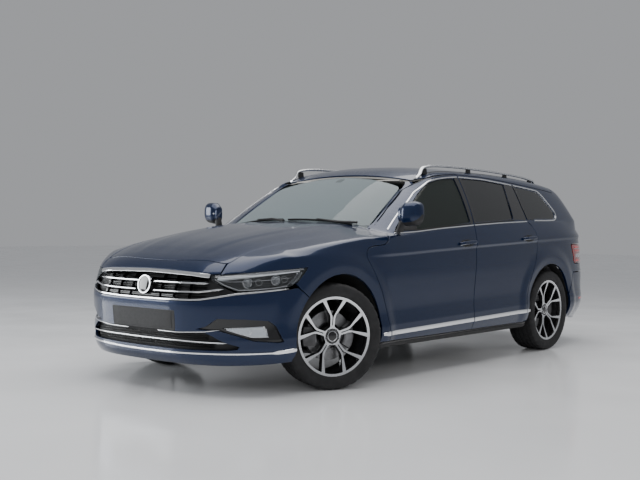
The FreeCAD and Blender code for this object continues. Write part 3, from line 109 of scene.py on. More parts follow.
FXC,RXC,HUBZ=1506.0,-1280.0,334.0
X0F,X0R,NPF,NPR=1100.0,-1300.0,3.6,3.6
XF=Curve([(120,2262),(165,2306),(200,2342),(235,2360),(300,2366),(400,2374),(470,2381),(545,2386.5),(600,2381),(640,2366),(700,2350),(745,2334),(775,2318),(820,2290),(900,2250)])
XR=Curve([(120,-2270),(180,-2320),(230,-2352),(330,-2370),(470,-2380),(560,-2386.5),(640,-2378),(680,-2350),(760,-2334),(860,-2318),(960,-2288),(1010,-2262),(1060,-2228),(1100,-2205)])
ZCR=Curve([(2400,700),(2259,742),(2150,786),(2064,815),(1824,864),(1569,908),(1400,932),(1229,950),(1059,958),(900,967),(657,984),(374,1006),(-82,1035),(-481,1056),(-1025,1073),(-1431,1083),(-1900,1085),(-2400,1078)])
ZCC=Curve([(2400,735),(2330,748),(2306,762),(2280,785),(2250,808),(2200,834),(2130,862),(2050,890),(1900,931),(1700,970),(1500,1002),(1250,1030),(1000,1050),(800,1056),(500,1050),(-82,1045),(-481,1060),(-1425,1092),(-2400,1090)])
YCR=Curve([(2400,700),(2250,770),(2064,825),(1821,852),(1569,864),(1229,872),(1000,874),(657,871),(0,870),(-500,869),(-1000,865),(-1500,853),(-2000,822),(-2400,780)])
PCR=Curve([(0,0),(0.3,0.035),(0.5,0.14),(0.65,0.35),(0.74,0.54),(0.85,0.74),(1,1),(1.2,1.5)])
ZTO=Curve([(1400,833),(1200,842),(870,853),(550,867),(200,881),(-100,893),(-855,922),(-1500,945),(-1950,957),(-2400,962)])
WID=Curve([(2400,906),(1900,908),(1506,908),(1000,911),(500,914),(0,914),(-600,914),(-1280,908),(-1800,900),(-2400,890)])
def ZST(x): return 314.5+(1108.0-x)*0.0208
SEC=Curve([(0,-78),(30,-52),(70,-26),(100,-13),(128,-5),(150,-1),(178,-1),(200,0),(222,-7),(300,-14),(430,-10),(520,-6),(600,-5),(680,-9)])
def smax(a,b,k): return 0.5*(a+b+sqrt((a-b)*(a-b)+k*k))
def smin(a,b,k): return 0.5*(a+b-sqrt((a-b)*(a-b)+k*k))
def sstep(t):
    t=mx(0.0,mn(1.0,t)); return t*t*(3-2*t)
def flare(x,z,xc):
    r=sqrt((x-xc)*(x-xc)+(z-HUBZ)*(z-HUBZ))
    up=13.0*sstep((560.0-r)/105.0)
    return up-6.0*mx(0.0,mn(1.0,(455.0-r)/60.0))
def half_width(x,z):
    zt=ZTO(x); zc=ZCR(x); y1=YCR(x); w=WID(x)
    zs=ZST(x)-146.0
    low=w+SEC(mx(0.0,z-zs))
    fade=sstep((1330.0-x)/330.0)
    d=z-zt
    low=low-fade*(5.0*sstep((d+150.0)/110.0)-9.0*sstep((d+26.0)/24.0))
    up=w-3.0+fade-(w-3.0-y1)*mx(0.0,d/mx(20.0,zc-zt))
    k=4.0+26.0*(1.0-fade)
    return smin(low,up,k)+flare(x,z,FXC)+flare(x,z,RXC)
def top_height(x,a):
    zc=ZCR(x); c=ZCC(x); y1=YCR(x)
    return c-(c-zc)*PCR(a/y1)
def f_low(x,a,z):
    b=half_width(x,z)
    t=mx(0.0,(x-X0F)/(XF(z)-X0F)); tr=mx(0.0,(X0R-x)/(X0R-XR(z)))
    n=NPF if NPF==NPR else NPF
    q=pw(pw(a/b,n)+pw(t,n)+pw(tr,n),1.0/n)
    side=(q-1.0)*b
    top=z-top_height(x,a)
    k=10.0+30.0*sstep((x-1850.0)/300.0)
    return smax(side,top,k)
YBG=Curve([(1200,842),(1060,850),(900,860),(600,867),(0,868),(-500,866),(-1000,861),(-1500,848),(-2000,818),(-2400,785)])
WSB=Curve([(900,-10),(1043,0),(1130,9),(1250,13),(1350,9),(1422,0),(1600,-30)])
ZRC=Curve([(600,1396),(450,1422),(340,1441),(200,1470),(63,1489),(-200,1500),(-600,1501),(-1000,1492),(-1400,1470),(-1700,1443),(-1900,1413),(-2050,1386),(-2200,1356)])
def glass_side(x,z):
    zb=ZCR(x); h=mx(-60.0,z-zb)
    return YBG(x)-0.335*h-0.00034*h*mx(h,0.0)
def wscreen(a,z): return 1013.0-(z-1043.0)*1.71+WSB(z)-0.00027*a*a
def roof(x,a): return ZRC(x)-48.0*pw(a/640.0,2.2)
def rear_screen(a,z): return -1905.0-(1395.0-z)*0.86+0.00030*a*a
def f_green(x,a,z):
    s=a-glass_side(x,z)
    w=(x-wscreen(a,z))*0.505
    r=z-roof(x,a)
    b=(rear_screen(a,z)-x)*0.758
    g=smax(s,w,22.0)
    g=smax(g,r,40.0)
    g=smax(g,b,55.0)
    return mx(g,ZCR(x)-60.0-z)
def F(x,y,z):
    a=ab(y)
    return smin(f_low(x,a,z),f_green(x,a,z),5.0)


def side_form(x, y, z):
    """Flank and side glass alone, carried on past the windshield."""
    a = ab(y)
    return smin(f_low(x, a, z), a - glass_side(x, z), 5.0)


def screen_form(x, y, z):
    a = ab(y)
    return smax((x - wscreen(a, z)) * 0.505, z - roof(x, a), 40.0)


def sp(t, e):
    return math.copysign(abs(t) ** e, t)


def cast(O, D, reach=1500.0, fn=F, n=25):
    """Distances from inside points along directions to the body's surface."""
    O, D = np.broadcast_arrays(np.asarray(O, float), np.asarray(D, float))
    lo = np.zeros(len(O))
    hi = np.full(len(O), float(reach))
    for _ in range(n):
        m = 0.5 * (lo + hi)
        P = O + D * m[:, None]
        out = fn(P[:, 0], P[:, 1], P[:, 2]) > 0
        hi = np.where(out, m, hi)
        lo = np.where(out, lo, m)
    return 0.5 * (lo + hi)


def normal(P, fn=F, e=1.2):
    g = []
    for k in range(3):
        a, b = P.copy(), P.copy()
        a[:, k] += e
        b[:, k] -= e
        g.append(fn(a[:, 0], a[:, 1], a[:, 2]) - fn(b[:, 0], b[:, 1], b[:, 2]))
    g = np.stack(g, 1)
    return g / np.maximum(np.linalg.norm(g, axis=1), 1e-9)[:, None]


class Dom:
    """A flat domain, in about millimetres, and the rays that carry it onto the body."""

    def __init__(self, kind, c=(0, 0, 0), R=900.0, fn=F, reach=1500.0):
        self.kind, self.c, self.R, self.fn, self.reach = kind, np.array(c, float), R, fn, reach

    def rays(self, P):
        P = np.asarray(P, float).reshape(-1, 2)
        u, v = P[:, 0], P[:, 1]
        o, l = np.zeros_like(u), np.ones_like(u)
        c, R, k = self.c, self.R, self.kind
        if k == "side":
            return np.stack([u, o, v], 1), np.stack([o, l, o], 1)
        if k == "top":
            return np.stack([u, v, o + 420.0], 1), np.stack([o, o, l], 1)
        if k == "post":      # rays fan round an upright line
            a = u / R
            return np.stack([o + c[0], o + c[1], v], 1), np.stack([np.cos(a), np.sin(a), o], 1)
        if k == "ball":
            a, e = u / R, v / R
            return np.stack([o + c[0], o + c[1], o + c[2]], 1), np.stack([np.cos(e) * np.cos(a), np.cos(e) * np.sin(a), np.sin(e)], 1)
        if k == "arc":       # rays fan round a lengthwise line
            a = v / R
            return np.stack([u, o + c[1], o + c[2]], 1), np.stack([o, np.sin(a), np.cos(a)], 1)
        if k == "tail":      # rays fan round a crosswise line, from up to rearward
            a = v / R
            return np.stack([o + c[0], u, o + c[2]], 1), np.stack([-np.sin(a), o, np.cos(a)], 1)
        if k == "screen":
            z = 1000.0 + v * 0.505 / 1.0
            x = 1013.0 - 1.71 * (z - 1043.0)
            return np.stack([x - 202.0, u, z - 345.2], 1), np.stack([0.505 * l, o, 0.863 * l], 1)
        raise ValueError(k)

    def to2(self, Q):
        Q = np.asarray(Q, float)
        x, y, z = Q[:, 0], Q[:, 1], Q[:, 2]
        c, R, k = self.c, self.R, self.kind
        if k == "side":
            return np.stack([x, z], 1)
        if k == "top":
            return np.stack([x, y], 1)
        if k == "post":
            return np.stack([R * np.arctan2(y - c[1], x - c[0]), z], 1)
        if k == "ball":
            return np.stack([R * np.arctan2(y - c[1], x - c[0]), R * np.arctan2(z - c[2], np.hypot(x - c[0], y - c[1]))], 1)
        if k == "arc":
            return np.stack([x, R * np.arctan2(y - c[1], z - c[2])], 1)
        if k == "tail":
            return np.stack([y, R * np.arctan2(c[0] - x, z - c[2])], 1)
        if k == "screen":
            # foot of the normal from the point on the glass's base line
            t = (x - 1013.0) * -0.863 + (z - 1043.0) * 0.505
            zz = 1043.0 + t * 0.505
            return np.stack([y, (zz - 1000.0) / 0.505], 1)
        raise ValueError(k)

    def at(self, P, lift=0.0):
        """Surface point, outward normal and ray direction."""
        O, D = self.rays(P)
        r = cast(O, D, self.reach, self.fn)
        Q = O + D * r[:, None]
        N = normal(Q, self.fn)
        s = np.sum(N * D, axis=1)
        N = np.where(s[:, None] < 0, -N, N)
        return Q + N * lift, N, D


def dense(pts, step=9.0, closed=True):
    pts = [np.array(p, float) for p in pts]
    out = []
    n = len(pts)
    for i in range(n if closed else n - 1):
        a, b = pts[i], pts[(i + 1) % n]
        k = max(1, int(round(np.linalg.norm(b - a) / step)))
        for j in range(k):
            out.append(a + (b - a) * j / k)
    if not closed:
        out.append(pts[-1])
    return np.array(out)


def rounded(pts, rad, closed=True, skip=()):
    """Round a polygon's corners. rad is one number or one for each corner."""
    n = len(pts)
    rr = rad if isinstance(rad, (list, tuple)) else [rad] * n
    out = []
    for i in range(n):
        p = np.array(pts[i], float)
        if (not closed and i in (0, n - 1)) or rr[i] <= 0:
            out.append(p)
            continue
        a, b = np.array(pts[i - 1], float), np.array(pts[(i + 1) % n], float)
        la, lb = np.linalg.norm(a - p), np.linalg.norm(b - p)
        if la < 1e-6 or lb < 1e-6:
            continue
        t = min(rr[i], la * 0.48, lb * 0.48)
        p0, p1 = p + (a - p) / la * t, p + (b - p) / lb * t
        for k in range(6):
            q = k / 5.0
            out.append((1 - q) ** 2 * p0 + 2 * q * (1 - q) * p + q * q * p1)
    return [tuple(q) for q in out]


def smooth(pts, n=8, closed=False):
    """Catmull-Rom through points."""
    P = [np.array(p, float) for p in pts]
    m = len(P)
    out = []
    for i in range(m if closed else m - 1):
        p1, p2 = P[i], P[(i + 1) % m]
        p0 = P[i - 1] if (closed or i > 0) else 2 * p1 - p2
        p3 = P[(i + 2) % m] if (closed or i + 2 < m) else 2 * p2 - p1
        for k in range(n):
            t = k / n
            out.append(0.5 * (2 * p1 + (p2 - p0) * t + (2 * p0 - 5 * p1 + 4 * p2 - p3) * t * t + (3 * p1 - p0 - 3 * p2 + p3) * t ** 3))
    if not closed:
        out.append(P[-1])
    return [tuple(q) for q in out]


def moved(pts, off):
    """A closed outline grown (off > 0) or shrunk (off < 0)."""
    n = len(pts)
    area = sum(pts[i - 1][0] * pts[i][1] - pts[i][0] * pts[i - 1][1] for i in range(n))
    sg = 1.0 if area > 0 else -1.0
    out = []
    for i in range(n):
        p0, p1, p2 = pts[i - 1], pts[i], pts[(i + 1) % n]
        a = (p1[0] - p0[0], p1[1] - p0[1])
        b = (p2[0] - p1[0], p2[1] - p1[1])
        la, lb = max(1e-9, math.hypot(*a)), max(1e-9, math.hypot(*b))
        na = (a[1] / la * sg, -a[0] / la * sg)
        nb = (b[1] / lb * sg, -b[0] / lb * sg)
        s = (na[0] + nb[0], na[1] + nb[1])
        k = max(0.35, 1.0 + na[0] * nb[0] + na[1] * nb[1])
        out.append((p1[0] + s[0] * off / k, p1[1] + s[1] * off / k))
    return out


def inside(P, loops):
    """Even-odd test of points against closed loops."""
    c = np.zeros(len(P), bool)
    for L in loops:
        A, B = L, np.roll(L, -1, axis=0)
        for (x0, y0), (x1, y1) in zip(A, B):
            if y0 == y1:
                continue
            hit = (P[:, 1] >= min(y0, y1)) & (P[:, 1] < max(y0, y1))
            xc = x0 + (P[:, 1] - y0) * (x1 - x0) / (y1 - y0)
            c ^= hit & (P[:, 0] < xc)
    return c


def near(P, loops, d):
    """True for points nearer than d to a loop."""
    bad = np.zeros(len(P), bool)
    for L in loops:
        A, B = L, np.roll(L, -1, axis=0)
        V = B - A
        W = np.maximum((V ** 2).sum(1), 1e-9)
        for k in range(0, len(P), 4000):
            Q = P[k:k + 4000]
            t = np.clip(((Q[:, None, :] - A[None]) * V[None]).sum(2) / W[None], 0, 1)
            e = Q[:, None, :] - (A[None] + V[None] * t[..., None])
            bad[k:k + 4000] |= ((e ** 2).sum(2).min(1) < d * d)
    return bad


def new_mesh(name, V, Fc, mats, mi=None, N=None, sharp=None):
    """A mesh object from millimetres."""
    V = np.array(V, float)
    V[:, 0] = np.clip(V[:, 0], -2386.3, 2383.4)
    me = bpy.data.meshes.new(name)
    me.from_pydata((np.asarray(V, float) * 0.001).tolist(), [], [tuple(int(i) for i in f) for f in Fc])
    for m in mats:
        me.materials.append(m)
    if mi is not None:
        me.polygons.foreach_set("material_index", np.asarray(mi, np.int32))
    me.polygons.foreach_set("use_smooth", np.ones(len(me.polygons), bool))
    me.validate(clean_customdata=False)
    me.update()
    if N is not None:
        me.normals_split_custom_set_from_vertices([tuple(v) for v in np.asarray(N, float)])
    if sharp is not None:
        me.set_sharp_from_angle(angle=math.radians(sharp))
    o = bpy.data.objects.new(name, me)
    SC.objects.link(o)
    return o


def mirror_copy(o, name):
    """The other side's piece."""
    me = o.data.copy()
    me.name = name
    n = len(me.vertices)
    co = np.zeros(n * 3)
    me.vertices.foreach_get("co", co)
    co = co.reshape(-1, 3)
    ln = np.zeros(len(me.loops) * 3, np.float32)
    try:
        me.corner_normals.foreach_get("vector", ln)
    except Exception:
        ln = None
    polys = [list(p.vertices) for p in me.polygons]
    starts = [p.loop_start for p in me.polygons]
    mi = [p.material_index for p in me.polygons]
    co[:, 1] *= -1
    m2 = bpy.data.meshes.new(name)
    m2.from_pydata(co.tolist(), [], [p[::-1] for p in polys])
    for m in me.materials:
        m2.materials.append(m)
    m2.polygons.foreach_set("material_index", np.array(mi, np.int32))
    m2.polygons.foreach_set("use_smooth", np.ones(len(polys), bool))
    m2.update()
    if ln is not None:
        ln = ln.reshape(-1, 3)
        out = []
        for s, p in zip(starts, polys):
            for k in range(len(p) - 1, -1, -1):
                v = ln[s + k]
                out.append((float(v[0]), -float(v[1]), float(v[2])))
        m2.normals_split_custom_set(out)
    bpy.data.meshes.remove(me)
    q = bpy.data.objects.new(name, m2)
    SC.objects.link(q)
    return q


def panel(name, dom, outer, holes, grid, mats, depth=12.0, r=2.6, gap=2.4, body="body", rep=(), lift=0.0, flange=10.0,
          hole_gap=None, inner=True, bump=None, dmin=7.0, slot=None, soften=0):
    """A body panel: the surface inside an outline, with rolled edges, a flange and an inner skin.
    outer and holes are closed loops in the domain, at the middle of the gaps."""
    loops = [np.asarray(outer, float)] + [np.asarray(h, float) for h in holes]
    G = np.asarray(grid, float).reshape(-1, 2)
    if len(G):
        G = G[inside(G, loops)]
        G = G[~near(G, loops, dmin)]
    pts = [Vector((float(a), float(b))) for L in loops for a, b in L] + [Vector((float(a), float(b))) for a, b in G]
    edges, k = [], 0
    for L in loops:
        n = len(L)
        edges += [(k + i, k + (i + 1) % n) for i in range(n)]
        k += n
    nb = k
    v2, _, f2, ov, _, _ = delaunay_2d_cdt(pts, edges, [], 0, 1e-4, True)
    v2 = np.array([tuple(v) for v in v2])
    f2 = np.array([list(f) for f in f2 if len(f) == 3])
    back = {}
    for i, o in enumerate(ov):
        for j in o:
            back[j] = i
    cen = v2[f2].mean(1)
    f2 = f2[inside(cen, loops)]
    Q, N, D = dom.at(v2, lift)
    if bump is not None:
        Q, N = bump(Q, N, v2)
    for _ in range(soften):
        acc = N * 2.0
        tot = N[f2].sum(1)
        for k_ in range(3):
            np.add.at(acc, f2[:, k_], tot)
        N = acc / np.maximum(np.linalg.norm(acc, axis=1), 1e-9)[:, None]
    # make the faces face outward
    a, b, c = Q[f2[:, 0]], Q[f2[:, 1]], Q[f2[:, 2]]
    fn_ = np.cross(b - a, c - a)
    flip = (fn_ * (N[f2[:, 0]] + N[f2[:, 1]] + N[f2[:, 2]])).sum(1) < 0
    f2 = np.where(flip[:, None], f2[:, ::-1], f2)
    ln = np.linalg.norm(fn_, axis=1)
    f2 = f2[ln > 1e-7]
    dep = depth(Q) if callable(depth) else np.full(len(Q), float(depth))
    V, NN, Fc, mi = [Q.copy()], [N], [f2], [np.zeros(len(f2), int)]
    count = len(Q)
    Vin = Q - D * dep[:, None]
    k = 0
    ring_in = {}
    for li, L in enumerate(loops):
        n = len(L)
        ids = np.array([back[k + i] for i in range(n)])
        k += n
        g = gap if li == 0 else (gap if hole_gap is None else hole_gap)
        P0, Nn, Dd, dd = Q[ids], N[ids], D[ids], dep[ids]
        Tn = np.roll(P0, -1, axis=0) - np.roll(P0, 1, axis=0)
        Tn /= np.maximum(np.linalg.norm(Tn, axis=1), 1e-9)[:, None]
        S = np.cross(Tn, Nn)
        S /= np.maximum(np.linalg.norm(S, axis=1), 1e-9)[:, None]
        # which way is out of the material
        area = np.sum(L[:, 0] * np.roll(L[:, 1], -1) - np.roll(L[:, 0], -1) * L[:, 1])
        t2 = np.roll(L, -1, axis=0) - np.roll(L, 1, axis=0)
        n2 = np.stack([t2[:, 1], -t2[:, 0]], 1) * (1 if area > 0 else -1)
        n2 /= np.maximum(np.linalg.norm(n2, axis=1), 1e-9)[:, None]
        if li > 0:
            n2 = -n2
        Pt, _, _ = dom.at(L + n2 * 1.5, lift)
        sg = np.sign(((Pt - P0) * S).sum(1))
        S = S * (1 if sg.sum() >= 0 else -1)
        V[0][ids] = P0 - S * (g + r)
        rows = [ids]
        for ph in (30, 60, 90):
            p = math.radians(ph)
            V.append(P0 - S * (g + r) + S * (r * math.sin(p)) - Nn * (r * (1 - math.cos(p))))
            NN.append(Nn * math.cos(p) + S * math.sin(p))
            rows.append(np.arange(count, count + n))
            count += n
        fl = np.minimum(flange, dd * 0.8)
        V.append(P0 - S * g - Nn * r - Dd * fl[:, None])
        NN.append(S)
        rows.append(np.arange(count, count + n))
        count += n
        if inner:
            V.append(P0 - S * g - Dd * dd[:, None])
            NN.append(S)
            rows.append(np.arange(count, count + n))
            count += n
            Vin[ids] = P0 - S * g - Dd * dd[:, None]
        for q, (ra, rb) in enumerate(zip(rows[:-1], rows[1:])):
            A, B, C, E = ra, np.roll(ra, -1), np.roll(rb, -1), rb
            quad = np.stack([A, B, C, E], 1)
            allv = np.concatenate(V)
            alln = np.concatenate(NN)
            fnm = np.cross(allv[quad[:, 1]] - allv[quad[:, 0]], allv[quad[:, 3]] - allv[quad[:, 0]])
            if (fnm * alln[quad[:, 3]]).sum() < 0:
                quad = quad[:, ::-1]
            Fc.append(quad)
            mi.append(np.full(n, 1 if q == 4 else 0))
    if inner:
        V.append(Vin)
        NN.append(-D)
        Fc.append(f2[:, ::-1] + count)
        mi.append(np.full(len(f2), 1))
        count += len(Vin)
    V, NN = np.concatenate(V), np.concatenate(NN)
    faces = [list(f) for A in Fc for f in A]
    mats = list(mats) + [mats[0]] * (2 - len(mats))
    o = new_mesh(name, V, faces, mats, np.concatenate(mi), NN)
    # leave no loose vertices
    bm = bmesh.new()
    bm.from_mesh(o.data)
    loose = [v for v in bm.verts if not v.link_faces]
    if loose:
        NL = None
        keep = np.array([bool(v.link_faces) for v in bm.verts])
        bm.free()
        idx = np.cumsum(keep) - 1
        faces = [[int(idx[i]) for i in f] for f in faces]
        mats_, mi_ = list(o.data.materials), np.concatenate(mi)
        me = o.data
        bpy.data.objects.remove(o)
        bpy.data.meshes.remove(me)
        o = new_mesh(name, V[keep], faces, mats_, mi_, NN[keep])
    else:
        bm.free()
    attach(o, body)
    if rep:
        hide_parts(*rep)
    if slot:
        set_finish(o, slot)
    return o


def other_side(o, name, body, rep=(), slot=None):
    q = mirror_copy(o, name)
    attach(q, body)
    if rep:
        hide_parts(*rep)
    if slot or "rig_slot" in o:
        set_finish(q, slot or o["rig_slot"])
    return q


def grid2(u0, u1, v0, v1, du, dv, stagger=True):
    us, vs = np.arange(u0, u1, du), np.arange(v0, v1, dv)
    out = []
    for j, v in enumerate(vs):
        out += [(u + (du / 2 if stagger and j % 2 else 0), v) for u in us]
    return np.array(out)


def sweep(name, P, N, profile, mats, body="body", scale=None, closed=False, caps=True, sharp=35, lift=0.0, slot=None, side=None):
    """A bar along a path. profile is a closed list of (side, height) in mm, scale one (a, b) for each path point."""
    P, N = np.asarray(P, float), np.asarray(N, float)
    n = len(P)
    T = np.roll(P, -1, axis=0) - np.roll(P, 1, axis=0)
    if not closed:
        T[0], T[-1] = P[1] - P[0], P[-1] - P[-2]
    T /= np.maximum(np.linalg.norm(T, axis=1), 1e-9)[:, None]
    S = np.cross(T, N)
    S /= np.maximum(np.linalg.norm(S, axis=1), 1e-9)[:, None]
    m = len(profile)
    V = []
    for i in range(n):
        a, b = (1, 1) if scale is None else scale[i]
        for s, h in profile:
            V.append(P[i] + S[i] * s * a + N[i] * (h * b + lift))
    Fc = []
    for i in range(n if closed else n - 1):
        j = (i + 1) % n
        for k in range(m):
            l = (k + 1) % m
            Fc.append((i * m + k, i * m + l, j * m + l, j * m + k))
    if caps and not closed:
        Fc.append(tuple(range(m))[::-1])
        Fc.append(tuple((n - 1) * m + k for k in range(m)))
    V = np.array(V)
    # outward facing
    c = V.reshape(n, m, 3).mean(1)
    f = np.array([q for q in Fc if len(q) == 4])
    nn = np.cross(V[f[:, 1]] - V[f[:, 0]], V[f[:, 3]] - V[f[:, 0]])
    cc = c[(f[:, 0] // m)]
    if (nn * (V[f[:, 0]] - cc)).sum() < 0:
        Fc = [tuple(q[::-1]) for q in Fc]
    o = new_mesh(name, V, Fc, mats, sharp=sharp)
    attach(o, body)
    if slot:
        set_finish(o, slot)
    return o


def bar(w, h, r=0.35, base=-1.0):
    """Cross-section of a raised bar, w wide and h high with soft shoulders."""
    a = w / 2
    return [(-a, base), (-a, h * (1 - r)), (-a * 0.86, h * 0.93), (-a * 0.55, h), (a * 0.55, h), (a * 0.86, h * 0.93), (a, h * (1 - r)), (a, base)]


def on_path(dom, pts, step=9.0, closed=False, lift=0.0):
    L = dense(pts, step, closed)
    Q, N, D = dom.at(L, lift)
    return Q, N


def revolve(name, prof, mats, seg=96, mi=None, sharp=30, center=True):
    """Lathe a profile of (radius, height) round the z axis."""
    V, Fc, M = [], [], []
    n = len(prof)
    for i in range(seg):
        a = 2 * math.pi * i / seg
        for rr, z in prof:
            V.append((rr * math.cos(a), rr * math.sin(a), z))
    for i in range(seg):
        j = (i + 1) % seg
        for k in range(n - 1):
            Fc.append((i * n + k, j * n + k, j * n + k + 1, i * n + k + 1))
            M.append(mi[k] if mi else 0)
    return V, Fc, M

# ---------------------------------------------------------------------------
# Materials
# ---------------------------------------------------------------------------
def mat(name, color, rough=0.5, metal=0.0, coat=0.0, coat_rough=0.03, spec=0.5, trans=0.0, ior=1.45, alpha=1.0, sheen=0.0,
        bump=None, tint=None, rough_var=None, emit=None):
    """A surface with its own noise. bump is (scale, distance m, strength, kind), tint (scale, amount), rough_var (scale, amount)."""
    m = bpy.data.materials.new(name)
    m.use_nodes = True
    nt = m.node_tree
    b = nt.nodes["Principled BSDF"]
    b.inputs["Base Color"].default_value = (*color, 1)
    b.inputs["Roughness"].default_value = rough
    b.inputs["Metallic"].default_value = metal
    b.inputs["Coat Weight"].default_value = coat
    b.inputs["Coat Roughness"].default_value = coat_rough
    b.inputs["Specular IOR Level"].default_value = spec
    b.inputs["Transmission Weight"].default_value = trans
    b.inputs["IOR"].default_value = ior
    b.inputs["Alpha"].default_value = alpha
    b.inputs["Sheen Weight"].default_value = sheen
    if emit:
        b.inputs["Emission Color"].default_value = (*emit[0], 1)
        b.inputs["Emission Strength"].default_value = emit[1]
    tc = nt.nodes.new("ShaderNodeTexCoord")

    def noise(scale, detail=3.0, kind="noise"):
        t = nt.nodes.new("ShaderNodeTexVoronoi" if kind == "voronoi" else "ShaderNodeTexNoise")
        t.inputs["Scale"].default_value = scale
        if kind != "voronoi":
            t.inputs["Detail"].default_value = detail
        nt.links.new(tc.outputs["Object"], t.inputs["Vector"])
        return t
    if tint:
        t = noise(tint[0], 4.0)
        r = nt.nodes.new("ShaderNodeMapRange")
        r.inputs["From Min"].default_value, r.inputs["From Max"].default_value = 0.3, 0.7
        r.inputs["To Min"].default_value, r.inputs["To Max"].default_value = 0.0, 1.0
        nt.links.new(t.outputs["Fac"], r.inputs["Value"])
        x = nt.nodes.new("ShaderNodeMix")
        x.data_type = "RGBA"
        x.inputs[6].default_value = (*[c * (1 - tint[1]) for c in color], 1)
        x.inputs[7].default_value = (*[min(1, c * (1 + tint[1])) for c in color], 1)
        nt.links.new(r.outputs["Result"], x.inputs[0])
        nt.links.new(x.outputs[2], b.inputs["Base Color"])
    if rough_var:
        t = noise(rough_var[0], 2.0)
        r = nt.nodes.new("ShaderNodeMapRange")
        r.inputs["From Min"].default_value, r.inputs["From Max"].default_value = 0.3, 0.7
        r.inputs["To Min"].default_value, r.inputs["To Max"].default_value = max(0, rough - rough_var[1]), min(1, rough + rough_var[1])
        nt.links.new(t.outputs["Fac"], r.inputs["Value"])
        nt.links.new(r.outputs["Result"], b.inputs["Roughness"])
    if bump:
        t = noise(bump[0], 3.0, bump[3] if len(bump) > 3 else "noise")
        bp = nt.nodes.new("ShaderNodeBump")
        bp.inputs["Distance"].default_value = bump[1]
        bp.inputs["Strength"].default_value = bump[2]
        nt.links.new(t.outputs["Distance" if len(bump) > 3 and bump[3] == "voronoi" else "Fac"], bp.inputs["Height"])
        nt.links.new(bp.outputs["Normal"], b.inputs["Normal"])
    return m


M_PAINT = mat("paint", (0.0022, 0.0120, 0.046), 0.28, 0.45, 0.62, 0.02, 0.30, tint=(900.0, 0.10), rough_var=(1400.0, 0.03))
M_JAMB = mat("paint_inside", (0.006, 0.026, 0.070), 0.45, 0.5, 0.6, 0.12, tint=(500.0, 0.08))
M_BLACK = mat("black_plastic", (0.012, 0.012, 0.013), 0.55, bump=(900.0, 0.0003, 0.35), rough_var=(60.0, 0.06))
M_GLOSSB = mat("gloss_black", (0.004, 0.004, 0.005), 0.09, 0.0, 0.6, 0.03, rough_var=(30.0, 0.02), tint=(20.0, 0.15))
M_CHROME = mat("chrome", (0.86, 0.87, 0.89), 0.10, 1.0, rough_var=(50.0, 0.03), tint=(30.0, 0.03))
M_SATIN = mat("satin_trim", (0.72, 0.73, 0.75), 0.26, 1.0, rough_var=(120.0, 0.04), tint=(40.0, 0.04))
M_MACH = mat("machined_rim", (0.78, 0.79, 0.81), 0.24, 1.0, 0.5, 0.05, rough_var=(200.0, 0.05), bump=(1600.0, 0.00012, 0.3))
M_RIMB = mat("rim_black", (0.010, 0.010, 0.011), 0.22, 0.1, 0.7, 0.05, rough_var=(40.0, 0.04), tint=(35.0, 0.2))
M_BARREL = mat("rim_barrel", (0.045, 0.046, 0.05), 0.42, 0.7, 0.1, rough_var=(50.0, 0.08), tint=(25.0, 0.25))
M_TYRE = mat("tyre_rubber", (0.016, 0.016, 0.017), 0.72, bump=(420.0, 0.0004, 0.35), rough_var=(18.0, 0.10), tint=(14.0, 0.18))
M_TREAD = mat("tyre_tread", (0.013, 0.013, 0.014), 0.85, bump=(300.0, 0.0006, 0.5), tint=(10.0, 0.25))
M_STEEL = mat("brake_steel", (0.24, 0.24, 0.245), 0.36, 1.0, rough_var=(80.0, 0.1), tint=(25.0, 0.18))
M_IRON = mat("cast_metal", (0.13, 0.13, 0.135), 0.6, 0.6, bump=(260.0, 0.0006, 0.5), tint=(18.0, 0.3))
M_CALIPER = mat("caliper", (0.22, 0.22, 0.23), 0.45, 0.6, bump=(300.0, 0.0004, 0.4), tint=(22.0, 0.2))
M_LINER = mat("wheel_liner", (0.010, 0.010, 0.010), 0.9, bump=(150.0, 0.0012, 0.6), tint=(12.0, 0.3))
M_TRIM = mat("trim_dark", (0.018, 0.018, 0.019), 0.6, bump=(700.0, 0.0005, 0.5, "voronoi"), rough_var=(25.0, 0.06))
M_TRIM2 = mat("trim_grey", (0.055, 0.055, 0.057), 0.55, bump=(700.0, 0.0005, 0.5, "voronoi"), rough_var=(25.0, 0.06))
M_HEADL = mat("headliner", (0.42, 0.41, 0.39), 0.9, sheen=0.2, bump=(1300.0, 0.0006, 0.5), tint=(60.0, 0.05))
M_CARPET = mat("carpet", (0.022, 0.022, 0.024), 0.95, sheen=0.3, bump=(1500.0, 0.002, 0.8), tint=(200.0, 0.3))
M_SEAT = mat("seat_leather", (0.030, 0.030, 0.033), 0.46, bump=(520.0, 0.0008, 0.55, "voronoi"), rough_var=(16.0, 0.08), tint=(9.0, 0.12))
M_SEAT2 = mat("seat_leather_panel", (0.042, 0.042, 0.045), 0.52, bump=(380.0, 0.0010, 0.6, "voronoi"), rough_var=(16.0, 0.08), tint=(9.0, 0.12))
M_THREAD = mat("seat_thread", (0.30, 0.30, 0.31), 0.7, bump=(2500.0, 0.0003, 0.6), tint=(800.0, 0.2))
M_RUBBER = mat("seal_rubber", (0.010, 0.010, 0.010), 0.66, bump=(500.0, 0.0003, 0.3), tint=(30.0, 0.2))
M_UNDER = mat("underbody", (0.030, 0.031, 0.033), 0.7, 0.2, bump=(120.0, 0.0012, 0.5), tint=(8.0, 0.3))
M_EXH = mat("exhaust_steel", (0.34, 0.33, 0.31), 0.38, 1.0, rough_var=(20.0, 0.12), tint=(10.0, 0.25))
M_AMBER = mat("lamp_amber", (0.75, 0.22, 0.02), 0.25, 0.0, 0.5, tint=(60.0, 0.1))
M_LED = mat("lamp_white", (0.86, 0.88, 0.92), 0.22, 0.0, 0.6, emit=((0.9, 0.95, 1.0), 0.25), tint=(90.0, 0.04))
